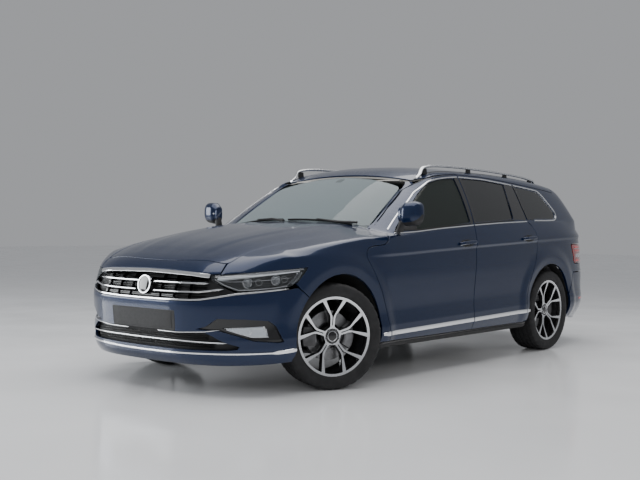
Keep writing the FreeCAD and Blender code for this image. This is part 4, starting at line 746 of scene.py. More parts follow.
M_REFL = mat("reflector", (0.80, 0.81, 0.83), 0.12, 1.0, tint=(25.0, 0.12), rough_var=(90.0, 0.05))
M_LENSG = mat("projector_glass", (0.75, 0.80, 0.86), 0.03, 0.0, 1.0, 0.0, trans=0.6, ior=1.5, rough_var=(10.0, 0.01))
M_REDG = mat("tail_red", (0.22, 0.004, 0.006), 0.18, 0.0, 1.0, 0.02, tint=(60.0, 0.25), rough_var=(80.0, 0.05))
M_REDL = mat("tail_red_bright", (0.62, 0.012, 0.014), 0.25, 0.0, 1.0, 0.02, tint=(90.0, 0.15))
M_PLATE = mat("plate_holder", (0.012, 0.012, 0.013), 0.40, 0.0, 0.2, bump=(500.0, 0.0004, 0.3), rough_var=(30.0, 0.05))
M_DISPLAY = mat("display", (0.003, 0.004, 0.006), 0.06, 0.0, 1.0, 0.02, rough_var=(8.0, 0.02))


def glass(name, color, dark, rough=0.0):
    """Thin pane: see-through with a clear reflection, tinted by dark (0 clear, 1 opaque)."""
    m = bpy.data.materials.new(name)
    m.use_nodes = True
    nt = m.node_tree
    b = nt.nodes["Principled BSDF"]
    b.inputs["Base Color"].default_value = (*color, 1)
    b.inputs["Roughness"].default_value = rough
    b.inputs["IOR"].default_value = 1.52
    b.inputs["Specular IOR Level"].default_value = 0.5
    b.inputs["Coat Weight"].default_value = 0.4
    b.inputs["Coat Roughness"].default_value = 0.0
    tc = nt.nodes.new("ShaderNodeTexCoord")
    t = nt.nodes.new("ShaderNodeTexNoise")
    t.inputs["Scale"].default_value = 3.0
    nt.links.new(tc.outputs["Object"], t.inputs["Vector"])
    fr = nt.nodes.new("ShaderNodeFresnel")
    fr.inputs["IOR"].default_value = 1.6
    r = nt.nodes.new("ShaderNodeMapRange")
    r.inputs["From Min"].default_value, r.inputs["From Max"].default_value = 0.0, 1.0
    r.inputs["To Min"].default_value, r.inputs["To Max"].default_value = dark, 1.0
    nt.links.new(fr.outputs["Fac"], r.inputs["Value"])
    ad = nt.nodes.new("ShaderNodeMath")
    ad.operation = "MULTIPLY_ADD"
    ad.inputs[1].default_value = 0.02
    nt.links.new(t.outputs["Fac"], ad.inputs[0])
    nt.links.new(r.outputs["Result"], ad.inputs[2])
    nt.links.new(ad.outputs["Value"], b.inputs["Alpha"])
    return m


M_GLASS = glass("clear_glass", (0.055, 0.065, 0.062), 0.12)
M_SCREEN = glass("screen_glass", (0.26, 0.31, 0.33), 0.20)
M_PRIV = glass("privacy_glass", (0.006, 0.007, 0.008), 0.90)
M_LAMPG = glass("lamp_cover", (0.12, 0.13, 0.14), 0.07)
M_FRIT = mat("glass_frit", (0.004, 0.004, 0.005), 0.12, 0.0, 0.8, 0.02, tint=(30.0, 0.1), rough_var=(15.0, 0.02))

# ---------------------------------------------------------------------------
# Camera, floor and light
# ---------------------------------------------------------------------------
CF, CA, CP, CR = 994.0, math.radians(39.782), math.radians(0.909), math.radians(0.683)
CPOS = Vector((6.382, 4.754, 1.033))
fw = Vector((-math.cos(CA) * math.cos(CP), -math.sin(CA) * math.cos(CP), -math.sin(CP)))
rt = Vector((-math.sin(CA), math.cos(CA), 0.0))
up = rt.cross(fw)
rt, up = rt * math.cos(CR) + up * math.sin(CR), up * math.cos(CR) - rt * math.sin(CR)
cam = bpy.data.objects.new("camera", bpy.data.cameras.new("camera"))
SC.objects.link(cam)
cam.matrix_world = Matrix(((rt.x, up.x, -fw.x, CPOS.x), (rt.y, up.y, -fw.y, CPOS.y), (rt.z, up.z, -fw.z, CPOS.z), (0, 0, 0, 1)))
cam.data.sensor_width = 36.0
cam.data.lens = CF / 640.0 * 36.0
cam.data.clip_end = 200.0
bpy.context.scene.camera = cam

bm = bmesh.new()
bmesh.ops.create_grid(bm, x_segments=40, y_segments=40, size=30.0)
me = bpy.data.meshes.new("floor")
bm.to_mesh(me)
bm.free()
floor = bpy.data.objects.new("floor", me)
SC.objects.link(floor)
fm = mat("floor_pale", (0.78, 0.79, 0.81), 0.16, 0.0, spec=0.5, rough_var=(1.3, 0.05), tint=(0.6, 0.02), bump=(3.0, 0.001, 0.05))
me.materials.append(fm)


def wall(name, pts, color, rough=0.8):
    bmw = bmesh.new()
    bmw.faces.new([bmw.verts.new(p) for p in pts])
    mw = bpy.data.meshes.new(name)
    bmw.to_mesh(mw)
    bmw.free()
    ow = bpy.data.objects.new(name, mw)
    SC.objects.link(ow)
    mw.materials.append(mat(name + "_mat", color, rough, tint=(0.8, 0.05)))
    return ow


def area(name, loc, target, sx, sy, power, color=(1, 1, 1), glossy=True):
    ld = bpy.data.lights.new(name, "AREA")
    ld.shape = "RECTANGLE"
    ld.size, ld.size_y, ld.energy, ld.color = sx, sy, power, color
    lo = bpy.data.objects.new(name, ld)
    SC.objects.link(lo)
    lo.location = loc
    d = Vector(target) - Vector(loc)
    lo.rotation_mode = "QUATERNION"
    lo.rotation_quaternion = d.to_track_quat("-Z", "Y")
    lo.visible_glossy = glossy
    return lo


area("top_soft", (0.5, 0.0, 5.2), (0.5, 0.0, 0.0), 9.0, 5.0, 420.0, (1.0, 0.99, 0.97))
area("window_light", (6.5, -7.5, 2.4), (0.8, -0.5, 0.8), 6.0, 3.6, 620.0, (0.95, 0.98, 1.0))
area("front_fill", (8.5, 5.5, 3.4), (0.5, 0.5, 0.6), 5.0, 2.6, 210.0, (1.0, 0.99, 0.97), glossy=False)
area("left_strip", (-1.5, 7.5, 3.6), (-0.3, 0.5, 0.6), 7.0, 1.6, 120.0, (1.0, 0.98, 0.95), glossy=False)
w = bpy.data.worlds.new("world")
bpy.context.scene.world = w
w.use_nodes = True
bg = w.node_tree.nodes["Background"]
bg.inputs["Color"].default_value = (0.52, 0.53, 0.55, 1)
bg.inputs["Strength"].default_value = 0.70

# ---------------------------------------------------------------------------
# Shut lines (side view x, z), at the middle of each gap
# ---------------------------------------------------------------------------
B_SHUT = [(-34, 262), (-50, 500), (-68, 750), (-80, 930), (-92, 1041), (-104, 1250), (-118, 1425)]
FRONT_TOP = [(25, 1415), (170, 1399), (300, 1375), (400, 1335), (492, 1288), (733, 1142), (930, 1014), (985, 975)]
FRONT_LEAD = [(1020, 930), (1071, 905), (1167, 897), (1229, 884), (1258, 858), (1264, 827), (1200, 735), (1120, 600),
              (1065, 470), (1039, 373), (1028, 306), (1026, 262)]
REAR_EDGE = [(-898, 1390), (-908, 1200), (-932, 1082), (-985, 1040), (-1030, 985), (-1046, 920), (-1040, 850), (-1005, 770),
             (-950, 672), (-890, 560), (-855, 450), (-838, 340), (-830, 262)]
ROOF_LINE = [(352, 1362), (300, 1377.5), (170, 1401.5), (25, 1417.5), (-118, 1427.5), (-459, 1422.5), (-786, 1401.5),
             (-898, 1392.5), (-1052, 1381), (-1300, 1362), (-1500, 1345), (-1660, 1330), (-1800, 1315)]
LEAD = smooth(FRONT_LEAD[:6], 4) + FRONT_LEAD[6:]
FRONT_DOOR = B_SHUT + FRONT_TOP + LEAD
REAR_DOOR = B_SHUT + [(-459, 1420), (-786, 1399)] + [REAR_EDGE[0]] + smooth(REAR_EDGE[1:], 3)
FRONT_WINDOW = [(-52, 1060), (-60, 1390), (22, 1388), (165, 1372), (292, 1347), (388, 1306), (478, 1260), (716, 1114),
                (868, 1010), (885, 992), (650, 1004), (374, 1023)]
REAR_WINDOW = [(-134, 1062), (-150, 1396), (-459, 1393), (-770, 1371), (-735, 1230), (-716, 1092), (-482, 1078)]
QUARTER_WINDOW = [(-956, 1098), (-934, 1200), (-922, 1360), (-1052, 1350), (-1292, 1328), (-1340, 1300), (-1392, 1248),
                  (-1480, 1160), (-1470, 1120), (-1450, 1108), (-1434, 1104)]


def flank(x, y, z):
    """Side of the body: its own form low down, drawn in to the rounded form ahead of the front window."""
    k = np.clip((x - 60.0) / 420.0, 0.0, 1.0)
    k = k * k * (3.0 - 2.0 * k)
    return side_form(x, y, z) * (1.0 - k) + F(x, y, z) * k


D_SIDE = Dom("side", fn=flank)
D_SIDEF = Dom("side", fn=F)
AR, LRAD = 388.0, 402.0


def side_rows(x0, x1, dx, z0=225.0, top=None):
    """Points on the flank in rows that follow its creases."""
    out = []
    xs = np.arange(x0, x1 + dx, dx)
    zs0 = ZST(xs) - 146.0
    zt, zc = ZTO(xs), ZCR(xs)
    rows = [zs0 + s for s in (0, 14, 30, 50, 70, 85, 100, 114, 128, 140, 150, 164, 178, 190, 200, 211, 222, 240, 262, 285, 310, 340, 372, 405, 438, 470, 500, 528)]
    for d_ in (-110, -85, -65, -50, -40, -32, -26, -20, -14, -8, -2, 4, 12, 24, 40, 58, 76, 94):
        rows.append(zt + d_)
    for k in (-14, -8, -4, 0, 3, 6, 10, 16):
        rows.append(zc + k)
    for j, r in enumerate(rows):
        off = dx / 2 if j % 2 else 0
        for x, z in zip(xs, np.asarray(r) * np.ones(len(xs))):
            out.append((x + off, z))
    out = np.array(out)
    # thin out rows that come too near each other
    key = {}
    for x, z in out:
        k = (round(x / (dx / 2)), int(z // 6))
        key.setdefault(k, (x, z))
    out = np.array(list(key.values()))
    zc = ZCR(out[:, 0])
    out = out[out[:, 1] < zc + 17]
    if top is not None:
        g = grid2(x0, x1, 985, top, 22, 22)
        g = g[g[:, 1] > ZCR(g[:, 0]) + 22]
        out = np.concatenate([out, g])
    return out


def door_depth(Q):
    t = np.clip((Q[:, 2] - (ZCR(Q[:, 0]) - 14.0)) / 10.0, 0, 1)
    return 66.0 - 44.0 * t


def side_panel(name, outline, hole, x0, x1, body, rep):
    L = dense(rounded(outline, 5), 8)
    H = [dense(rounded(hole, 14), 8)] if hole else []
    o = panel(name, D_SIDE, L, H, side_rows(x0, x1, 24.0, top=1430), [M_PAINT, M_TRIM], depth=door_depth, body=body, rep=rep,
              hole_gap=0.0, slot="paint")
    return o


fd = side_panel("left_front_door_skin", FRONT_DOOR, FRONT_WINDOW, -120, 1290, "left_front_door", ["left_front_door"])
other_side(fd, "right_front_door_skin", "right_front_door", ["right_front_door"])
rd = side_panel("left_rear_door_skin", REAR_DOOR, REAR_WINDOW, -1060, -20, "left_rear_door", ["left_rear_door"])
other_side(rd, "right_rear_door_skin", "right_rear_door", ["right_rear_door"])


def pane(name, loop, dom, depth, thick, m, body, rep, grid, side=True):
    L = dense(rounded(loop, 12), 12)
    o = panel(name, dom, L, [], grid, [m, m], depth=thick, r=0.8, gap=0.4, lift=-depth, flange=1.0, body=body, rep=rep, dmin=9)
    return o


g = grid2(-80, 940, 980, 1400, 26, 26)
o = pane("left_front_glass", FRONT_WINDOW, D_SIDE, 7.0, 4.0, M_GLASS, "left_front_door", ["left_front_window"], g)
other_side(o, "right_front_glass", "right_front_door", ["right_front_window"])
g = grid2(-790, -120, 1040, 1400, 26, 26)
o = pane("left_rear_glass", REAR_WINDOW, D_SIDE, 7.0, 4.0, M_PRIV, "left_rear_door", ["left_rear_window"], g)
other_side(o, "right_rear_glass", "right_rear_door", ["right_rear_window"])


# ---------------------------------------------------------------------------
# Hood, fenders, quarters, roof, tailgate
# ---------------------------------------------------------------------------
def at3(kind, pts, fn=F, **k):
    return Dom(kind, fn=fn, **k).at(np.array(pts, float))[0]


HOOD_GAP = [(954, 669), (1120, 676), (1282, 678), (1420, 673), (1551, 662), (1720, 632), (1899, 600), (2059, 576), (2130, 569)]
HOOD_FRONT = [(2206, 500), (2214, 414), (2232, 263), (2242, 130), (2245, 0)]
hood_half = ([(1040.0 - 0.00032 * a * a, float(a)) for a in range(0, 601, 40)] + [(905.0, 640.0), (893.0, 667.0)] + HOOD_GAP
             + [(2172, 564), (2196, 545)] + HOOD_FRONT)
hood_loop = hood_half + [(x, -y) for x, y in reversed(hood_half[1:-1])]
D_TOP = Dom("top")


def hood_bump(Q, N, P):
    """Two soft creases that run back from the grille's corners."""
    def h(x, y):
        a = ab(y)
        yc = 330.0 + (2240.0 - x) * 0.165
        t = sstep((yc - a) / 70.0)
        inner = sstep((yc - 175.0 - a) / 90.0)
        fade = sstep((2215.0 - x) / 160.0) * sstep((x - 960.0) / 120.0)
        return (4.5 * t - 2.0 * inner) * fade - 4.5 * fade * 0.0
    x, y = Q[:, 0], Q[:, 1]
    d0 = h(x, y)
    e = 2.0
    gx = (h(x + e, y) - h(x - e, y)) / (2 * e)
    gy = (h(x, y + e) - h(x, y - e)) / (2 * e)
    Q = Q.copy()
    Q[:, 2] += d0 - 2.5
    N = N.copy()
    N[:, 0] -= gx * N[:, 2]
    N[:, 1] -= gy * N[:, 2]
    N /= np.linalg.norm(N, axis=1)[:, None]
    return Q, N


g = grid2(880, 2260, -700, 700, 22, 15)
hd = panel("hood_skin", D_TOP, dense(rounded(hood_loop, 26), 10), [], g, [M_PAINT, M_JAMB], depth=20, body="hood", rep=["hood"],
           bump=hood_bump, slot="paint")

# the fan domains
D_FEN = Dom("arc", (0, 430, 560), 480.0)
D_QTR = Dom("ball", (-1400, 0, 850), 1000.0)
D_ROOF = Dom("arc", (0, 0, 900), 700.0)
D_TAIL = Dom("tail", (-1500, 0, 900), 620.0)
D_NOSE = Dom("ball", (1250, 0, 500), 1050.0)
D_REAR = Dom("ball", (-1400, 0, 500), 950.0)
LAMP = [(26.3, 692), (26.1, 724), (33, 735), (42, 748), (50, 760), (56.9, 770), (55.6, 740), (53.2, 690), (50.2, 655), (46, 644), (40, 635), (34.5, 631), (30, 662)]


def deg_post(pts, cx, back=False, lift=0.0):
    """Points given by an angle round an upright line and a height."""
    p = np.array(pts, float)
    a = np.radians(p[:, 0])
    if back:
        a = math.pi - a
    dom = Dom("post", (cx, 0, 0), 1000.0)
    return dom.at(np.stack([a * 1000.0, p[:, 1]], 1), lift)


def arch_pts(cx, a0, a1, R=AR, n=44):
    return [(cx + R * math.cos(a0 + (a1 - a0) * k / n), 334.0 + R * math.sin(a0 + (a1 - a0) * k / n)) for k in range(n + 1)]


side3 = lambda pts: at3("side", pts, F)
sidef3 = lambda pts: at3("side", pts, side_form)
# left fender
a_b = math.pi + math.asin(72.0 / AR)
a_f = math.atan2(254.0, 294.0)
lead = [p for p in LEAD]
pts_side = lead + [(1026, 262)] + [(1060, 262), (1100, 262)] + arch_pts(FXC, a_b, a_f) + [(1832, 611), (1868, 637)]
lamp_out = [(52.4, 676), (53.2, 690), (55.6, 740), (56.9, 770), (50, 760), (42, 748), (34, 736.5), (29.0, 729)]
hgap = [(2196, 553), (2172, 564)] + HOOD_GAP[::-1] + [(905, 668)]
rear_top = [(900, 700), (903, 760), (925, 806), (955, 836), (988, 850)]
F3 = np.concatenate([side3(dense(pts_side, 9, False)), deg_post(dense(lamp_out, 3.0, False), 1250.0)[0],
                     at3("top", dense(rounded(hgap, 20, False), 10, False)), at3("top", dense(rear_top, 12, False))])
fen_loop = D_FEN.to2(F3)
xs = np.arange(905, 2290, 15.0)
Q = at3("top", np.stack([xs, np.minimum(YCR(xs) - 3, 1000)], 1))
v0 = D_FEN.to2(np.stack([xs, YCR(xs), ZCR(xs)], 1))[:, 1]
gr = []
for j, o_ in enumerate(list(np.arange(-330, -30, 15)) + [-22, -14, -8, -3, 2, 7, 13, 21, 30] + list(np.arange(44, 900, 14))):
    gr.append(np.stack([xs + (7.5 if j % 2 else 0), v0 + o_], 1))
gr = np.concatenate(gr)
fe = panel("left_fender_skin", D_FEN, fen_loop, [], gr, [M_PAINT, M_JAMB], depth=12, body="body", rep=["front_fenders"], dmin=7.5, slot="paint", soften=3)
other_side(fe, "right_fender_skin", "body", ["front_fenders"])

# left quarter
YTG = Curve([(1500, 590), (1440, 592), (1385, 600), (1250, 617), (1110, 632), (1050, 630), (1000, 620), (950, 600), (900, 580), (800, 570), (650, 564)])


def tg_edge(degs):
    d_ = np.radians(np.array(degs, float))
    y = np.full(len(d_), 600.0)
    for _ in range(6):
        P = D_TAIL.at(np.stack([y, d_ * D_TAIL.R], 1))[0]
        y = YTG(P[:, 2])
    return D_TAIL.at(np.stack([y, d_ * D_TAIL.R], 1))[0]


te = tg_edge(np.linspace(18.5, 109, 120))
te_up = te[te[:, 2] > 892]
te_lo = te[(te[:, 2] < 710) & (te[:, 2] > 646)]


def corner_line(z, d0, d1, n):
    return deg_post([(d0 + (d1 - d0) * k / n, z) for k in range(n + 1)], -1400.0, True)[0]


TLA = 31.5
tl_front = [(70.5, 884), (71.2, 876), (70.8, 840), (69.0, 790), (68.0, 740), (67.2, 724), (66.0, 716)]
roofl = [p for p in ROOF_LINE if p[0] < -890 and p[0] > -1640] + [(-1640, 1331.7)]
Q3 = [side3(dense([(-830, 262)] + REAR_EDGE[::-1][1:-1] + [(-898, 1389)], 9, False)),
      side3(dense(roofl, 12, False)),
      at3("top", dense([(-1645, 655), (-1654, 625), (-1661, 600)], 12, False)),
      te_up,
      corner_line(888, TLA + 0.3, 69.5, 40)[:],
      deg_post(dense(tl_front, 3.0, False), -1400.0, True)[0],
      corner_line(714, 65.0, TLA + 0.3, 36),
      te_lo,
      corner_line(642, 32.5, 60.0, 30),
      side3(dense([(-1757, 641), (-1700, 542), (-1652, 468)], 9, False)),
      side3(arch_pts(RXC, math.pi - math.asin(136.0 / AR), -math.asin(72.0 / AR), n=60)),
      side3(dense([(-890, 262), (-850, 262)], 9, False))]
Q3 = np.concatenate(Q3)
q_loop = D_QTR.to2(Q3)
H3 = D_QTR.to2(at3("side", dense(rounded(QUARTER_WINDOW, 22), 9), side_form))
xs = np.arange(-820, -2330, -14.0)
cr = D_QTR.to2(at3("side", np.stack([xs, ZTO(xs)], 1)))
be = D_QTR.to2(at3("side", np.stack([xs[xs > -1700], ZCR(xs[xs > -1700])], 1), side_form))
us = np.arange(q_loop[:, 0].min(), q_loop[:, 0].max(), 15.0)
o1 = np.argsort(cr[:, 0])
vc = np.interp(us, cr[o1, 0], cr[o1, 1])
o2 = np.argsort(be[:, 0])
vb = np.interp(us, be[o2, 0], be[o2, 1])
gr = []
for j, o_ in enumerate(list(np.arange(-800, -120, 15)) + [-108, -92, -76, -60, -46, -34, -26, -19, -12, -6, 0, 6, 14, 26, 42, 60]):
    gr.append(np.stack([us + (7 if j % 2 else 0), vc + o_], 1))
for j, o_ in enumerate([-14, -8, -3, 1, 5, 10, 18, 30] + list(np.arange(44, 600, 15))):
    gr.append(np.stack([us + (7 if j % 2 else 0), vb + o_], 1))
gr = np.concatenate(gr)
ql = panel("left_quarter_skin", D_QTR, q_loop, [H3], gr, [M_PAINT, M_TRIM2], depth=24, body="body", rep=["quarter_panels"], hole_gap=0.0,
           dmin=7.5, slot="paint", flange=20, soften=2)
other_side(ql, "right_quarter_skin", "body", ["quarter_panels"])
g = grid2(-1500, -900, 1080, 1380, 26, 26)
o = pane("left_quarter_glass", QUARTER_WINDOW, D_SIDE, 7.0, 4.0, M_PRIV, "body", ["quarter_windows"], g)
other_side(o, "right_quarter_glass", "body", ["quarter_windows"])

# roof
fr_edge = [(350.0, y) for y in np.linspace(-560, 560, 60)]
R3 = np.concatenate([at3("top", fr_edge), side3(dense([(352, 1364)] + ROOF_LINE[1:-2] + [(-1640, 1331.7)], 14, False)),
                     at3("top", [(-1645, 655), (-1652, 630)]),
                     at3("top", [(-1660.0, y) for y in np.linspace(600, -600, 60)]),
                     at3("top", [(-1652, -630), (-1645, -655)]),
                     at3("side", dense([(352, 1364)] + ROOF_LINE[1:-2] + [(-1640, 1331.7)], 14, False)[::-1]) * np.array([1, -1, 1])])
rl = D_ROOF.to2(R3)
g = grid2(-1700, 380, -900, 900, 36, 20)
rf = panel("roof_skin", D_ROOF, rl, [], g, [M_PAINT, M_HEADL], depth=26, body="body", rep=["roof"], dmin=9, slot="paint")

# tailgate
D_RX = Dom("post", (-1500, 0, 0), 1000.0)
top_e = at3("top", [(-1665.0, y) for y in np.linspace(-588, 588, 60)])
te2 = te[(te[:, 2] > 656)]
te2 = te2[te2[:, 0] < -1668]
bot = []
for y in np.linspace(560, -560, 50):
    O = np.array([[-1500.0, y, 654.0]])
    r = cast(O, np.array([[-1.0, 0, 0]]))
    bot.append((-1500.0 - r[0], y, 654.0))
T3 = np.concatenate([top_e, te2, np.array(bot), (te2 * np.array([1, -1, 1]))[::-1]])
t_loop = D_TAIL.to2(T3)
REAR_GLASS = [(0, 1352), (300, 1350), (470, 1346), (520, 1330), (548, 1290), (572, 1120), (560, 1070), (500, 1052), (300, 1049), (0, 1048)]
rg_full = REAR_GLASS + [(-y, z) for y, z in reversed(REAR_GLASS[1:-1])]
rgl = dense(rounded(rg_full, 20), 12)
O = np.stack([np.full(len(rgl), -1500.0), rgl[:, 0], rgl[:, 1]], 1)
r = cast(O, np.tile([-1.0, 0, 0], (len(O), 1)))
rg3 = O - r[:, None] * np.array([1.0, 0, 0])
rgd = D_TAIL.to2(rg3)
g = grid2(-660, 660, 150, 1250, 20, 20)


def tail_bump(Q, N, P):
    """Recess for the plate between two soft creases and a step under the window."""
    def h(y, z):
        a = ab(y)
        plate = sstep((330.0 - a) / 30.0) * sstep((z - 690.0) / 20.0) * sstep((838.0 - z) / 20.0)
        lip = sstep((1010.0 - z) / 30.0) * sstep((z - 900.0) / 60.0)
        return -22.0 * plate + 5.0 * lip
    y, z = Q[:, 1], Q[:, 2]
    e = 2.0
    gy = (h(y + e, z) - h(y - e, z)) / (2 * e)
    gz = (h(y, z + e) - h(y, z - e)) / (2 * e)
    back = (Q[:, 2] < 1030)
    Q, N = Q.copy(), N.copy()
    Q[:, 0] -= np.where(back, h(y, z), 0)
    N[:, 1] += np.where(back, gy * N[:, 0], 0)
    N[:, 2] += np.where(back, gz * N[:, 0], 0)
    N /= np.linalg.norm(N, axis=1)[:, None]
    return Q, N


tg = panel("tailgate_skin", D_TAIL, t_loop, [rgd], g, [M_PAINT, M_TRIM2], depth=30, body="tailgate", rep=["tailgate"], hole_gap=0.0, dmin=8,
           slot="paint", bump=tail_bump)
o = panel("rear_glass", D_TAIL, rgd, [], grid2(-600, 600, 150, 1250, 26, 26), [M_PRIV], depth=4.0, r=0.8, gap=0.4, lift=-7.0, flange=1.0,
          body="tailgate", rep=["rear_window"], dmin=9)


# ---------------------------------------------------------------------------
# Nose: bumper, grille, lamps
# ---------------------------------------------------------------------------
D_AZ = Dom("post", (1250, 0, 0), 1000.0)


def az2(pts, step=9.0, closed=False):
    """Angles round the front upright line and heights to the post domain."""
    p = dense([(math.radians(a) * 1000.0, z) for a, z in pts], step, closed)
    return p


def az3(pts, step=9.0, closed=False):
    return D_AZ.at(az2(pts, step, closed))[0]


def nose2(pts, step=9.0, closed=False):
    return D_NOSE.to2(az3(pts, step, closed))


def sym(pts):
    """Closed loop from its left half, listed from the middle outward and back."""
    p = [tuple(q) for q in pts]
    return p + [(-a, b) for a, b in reversed(p) if abs(a) > 1e-6]


TOPB = [(0, 566), (10, 567), (22, 571), (28, 591), (34, 613), (42, 628), (50, 641.5), (53, 651)]
side_b = at3("side", [(1868, 637), (1832, 611)] + arch_pts(FXC, a_f, -math.asin(72.0 / AR), n=30) + [(1896, 240), (1908, 215)])
lower_b = az3([(51.5, 203), (44, 193), (30, 186), (15, 182), (0, 181)], 12)
half = np.concatenate([az3(TOPB, 9), side_b, lower_b])
b_half = D_NOSE.to2(half)
b_loop = np.concatenate([b_half, (b_half * np.array([-1, 1]))[::-1][1:-1]])
# openings
HOLE_A = [(0, 384), (13, 383), (22, 383), (24.9, 386), (27.2, 366), (29.7, 340), (32.5, 320), (35.2, 306), (34.5, 290), (31, 281), (15, 276), (0, 274)]
HOLE_B = [(22.0, 404), (25.2, 420), (28.6, 470), (36.6, 468), (43.6, 457), (45.8, 425), (48.4, 330), (46.5, 326), (39.4, 338), (35.1, 366), (28.8, 400), (25.0, 400.5)]
hA = nose2(sym(HOLE_A), 8, True)
hBl = nose2(HOLE_B, 6, True)
hBr = (hBl * np.array([-1, 1]))[::-1]
g = grid2(-1080, 1080, -420, 240, 17, 17)
bump_zone = None
bs = panel("front_bumper_skin", D_NOSE, b_loop, [hA, hBl, hBr], g, [M_PAINT, M_BLACK], depth=20, body="body", rep=["front_bumper"],
           hole_gap=0.0, slot="paint", flange=16)
# dark panels behind the openings
HA2 = [(0, 392), (22, 392), (27, 394), (31, 350), (37, 300), (36, 282), (31, 272), (15, 267), (0, 265)]
gA = grid2(-700, 700, -300, 0, 26, 26)
panel("lower_intake_back", D_NOSE, nose2(sym(HA2), 10, True), [], gA, [M_BLACK], depth=3, lift=-34, body="body", rep=["lower_grille"])
HB2 = [(20.5, 396), (24, 428), (28, 478), (37, 476), (45, 464), (47.2, 428), (49.6, 322), (46.8, 318), (38.6, 330), (34.6, 358), (28.4, 392)]
hb2 = nose2(HB2, 9, True)
gB = grid2(300, 900, -300, 0, 24, 24)
o = panel("left_fog_surround", D_NOSE, hb2, [], gB, [M_GLOSSB], depth=3, lift=-22, body="body")
other_side(o, "right_fog_surround", "body")
# grille backing, ending in a wedge under each lamp
GR = [(0, 748), (10, 745), (20, 737), (26.6, 727), (26.3, 700), (30, 662), (34.4, 629), (33.6, 610), (28, 588), (22, 568), (0, 563)]
gG = grid2(-700, 700, -100, 300, 24, 24)
panel("grille_back", D_NOSE, nose2(sym(GR), 9, True), [], gG, [M_BLACK], depth=3, lift=-40, body="body", rep=["grille"])
# strip above the grille
hf = [(2247.5, 0), (2244.5, 130), (2234.5, 263), (2216.5, 414), (2208.5, 500), (2199, 549)]
n3 = np.concatenate([at3("top", dense(hf, 12, False)), az3([(29.0, 731), (26.3, 727), (20, 736.5), (10, 744.5), (0, 747.5)], 8)])
nh = D_NOSE.to2(n3)
n_loop = np.concatenate([nh, (nh * np.array([-1, 1]))[::-1][1:-1]])
panel("nose_strip", D_NOSE, n_loop, [], grid2(-700, 700, 150, 420, 13, 13), [M_PAINT, M_BLACK], depth=14, body="body", rep=["nose_panel"],
      slot="paint", dmin=5)


def strip(name, pts, w, h, m, base=-8.0, lift=0.0, taper=None, dom=None, both=False, body="body", step=8.0, slot="chrome"):
    Q, N = on_path(dom or D_AZ, [(math.radians(a) * 1000.0, z) for a, z in pts], step, False)
    sc = None
    if taper:
        t = np.linspace(0, 1, len(Q))
        sc = [(float(np.interp(v, taper[0], taper[1])), 1.0) for v in t]
    o = sweep(name, Q, N, bar(w, h, base=base), [m], body, scale=sc, lift=lift, slot=slot)
    if both:
        other_side(o, name.replace("left", "right"), body, slot=slot)
    return o


def symline(pts):
    return [(-a, z) for a, z in reversed(pts) if a > 0] + list(pts)


tp = lambda: ([0, 0.02, 0.98, 1], [0.3, 1, 1, 0.3])
strip("grille_top_bar", symline([(0, 734), (10, 731), (20, 725), (26.0, 716)]), 26, 9, M_CHROME, base=-14, taper=([0, 0.01, 0.99, 1], [0.7, 1, 1, 0.7]))
strip("grille_lower_frame", symline([(0, 571), (10, 572), (20, 576.5), (23.5, 581), (28, 596), (34, 617), (42, 632.5), (49.8, 646)]), 8.5, 1.2, M_CHROME,
      base=-14, taper=([0, 0.03, 0.97, 1], [0.3, 1, 1, 0.3]))
strip("left_slat_upper", [(3.4, 674), (14, 674.5), (25.6, 676)], 9, -7, M_CHROME, base=-30, taper=([0, 0.04, 0.93, 1], [1, 1, 1, 0.15]), both=True)
strip("left_slat_lower", [(4.4, 620), (14, 621.5), (22.4, 625.5), (26, 634), (30.4, 646)], 9, -7, M_CHROME, base=-30, taper=([0, 0.04, 0.93, 1], [1, 1, 1, 0.15]), both=True)
# dark ribs between the slats
for i, z in enumerate((592, 601, 645, 655, 695, 703)):
    strip("grille_rib_%d" % i, symline([(0, z), (12, z + 0.5), (24.5, z + 3)]), 3.2, -24, M_GLOSSB, base=-38, slot="black")
for i, a in enumerate((7, 13, 19)):
    for s in (-1, 1):
        strip("grille_post_%d_%s" % (i, "l" if s > 0 else "r"), [(s * a, 572), (s * a, 735)], 4, -25, M_GLOSSB, base=-38, slot="black", step=20)
strip("lower_slat", symline([(0, 327), (15, 328), (28.7, 327), (31.5, 326)]), 7, -4, M_CHROME, base=-30, taper=([0, 0.03, 0.97, 1], [0.2, 1, 1, 0.2]))
strip("left_lip_strip", [(7, 378), (16, 379), (24.8, 391), (29.5, 405)], 4.5, 1.5, M_CHROME, base=-8, taper=([0, 0.05, 0.9, 1], [0.3, 1, 1, 0.2]), both=True)
for i, z in enumerate((296, 309, 345, 360)):
    strip("lower_rib_%d" % i, symline([(0, z), (15, z), (27.5 if z < 340 else 25.5, z)]), 3.0, -20, M_GLOSSB, base=-33, slot="black")
strip("chin_strip", symline([(0, 252), (10, 253.5), (25.8, 263), (40, 266.5), (47.5, 268)]), 11, 7, M_CHROME, base=-6)
strip("left_chin_end", [(44.5, 267), (47.0, 270), (50, 275), (52.5, 279.5)], 22, 8, M_CHROME, base=-6, taper=([0, 0.2, 0.9, 1], [0.5, 1, 1.05, 0.85]), both=True)

# round disc in the grille, bare
V, Fc, M = revolve("d", [(0.01, 7), (18, 6.6), (36, 5.5), (47, 3.6), (50, 3.4), (51.5, 6.2), (56.5, 6.4), (59, 4), (59.5, -22)], None, 72,
                   mi=[0, 0, 0, 0, 0, 1, 1, 1])
V = np.array(V)
tl = math.radians(9.0)
W = np.stack([2360.0 + V[:, 2] * math.cos(tl) - V[:, 1] * math.sin(tl) * 1.0, V[:, 0], 651.0 + V[:, 1] * math.cos(tl) + V[:, 2] * math.sin(tl)], 1)
o = new_mesh("grille_disc", W, Fc, [M_GLOSSB, M_CHROME], M, sharp=35)
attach(o, "body")

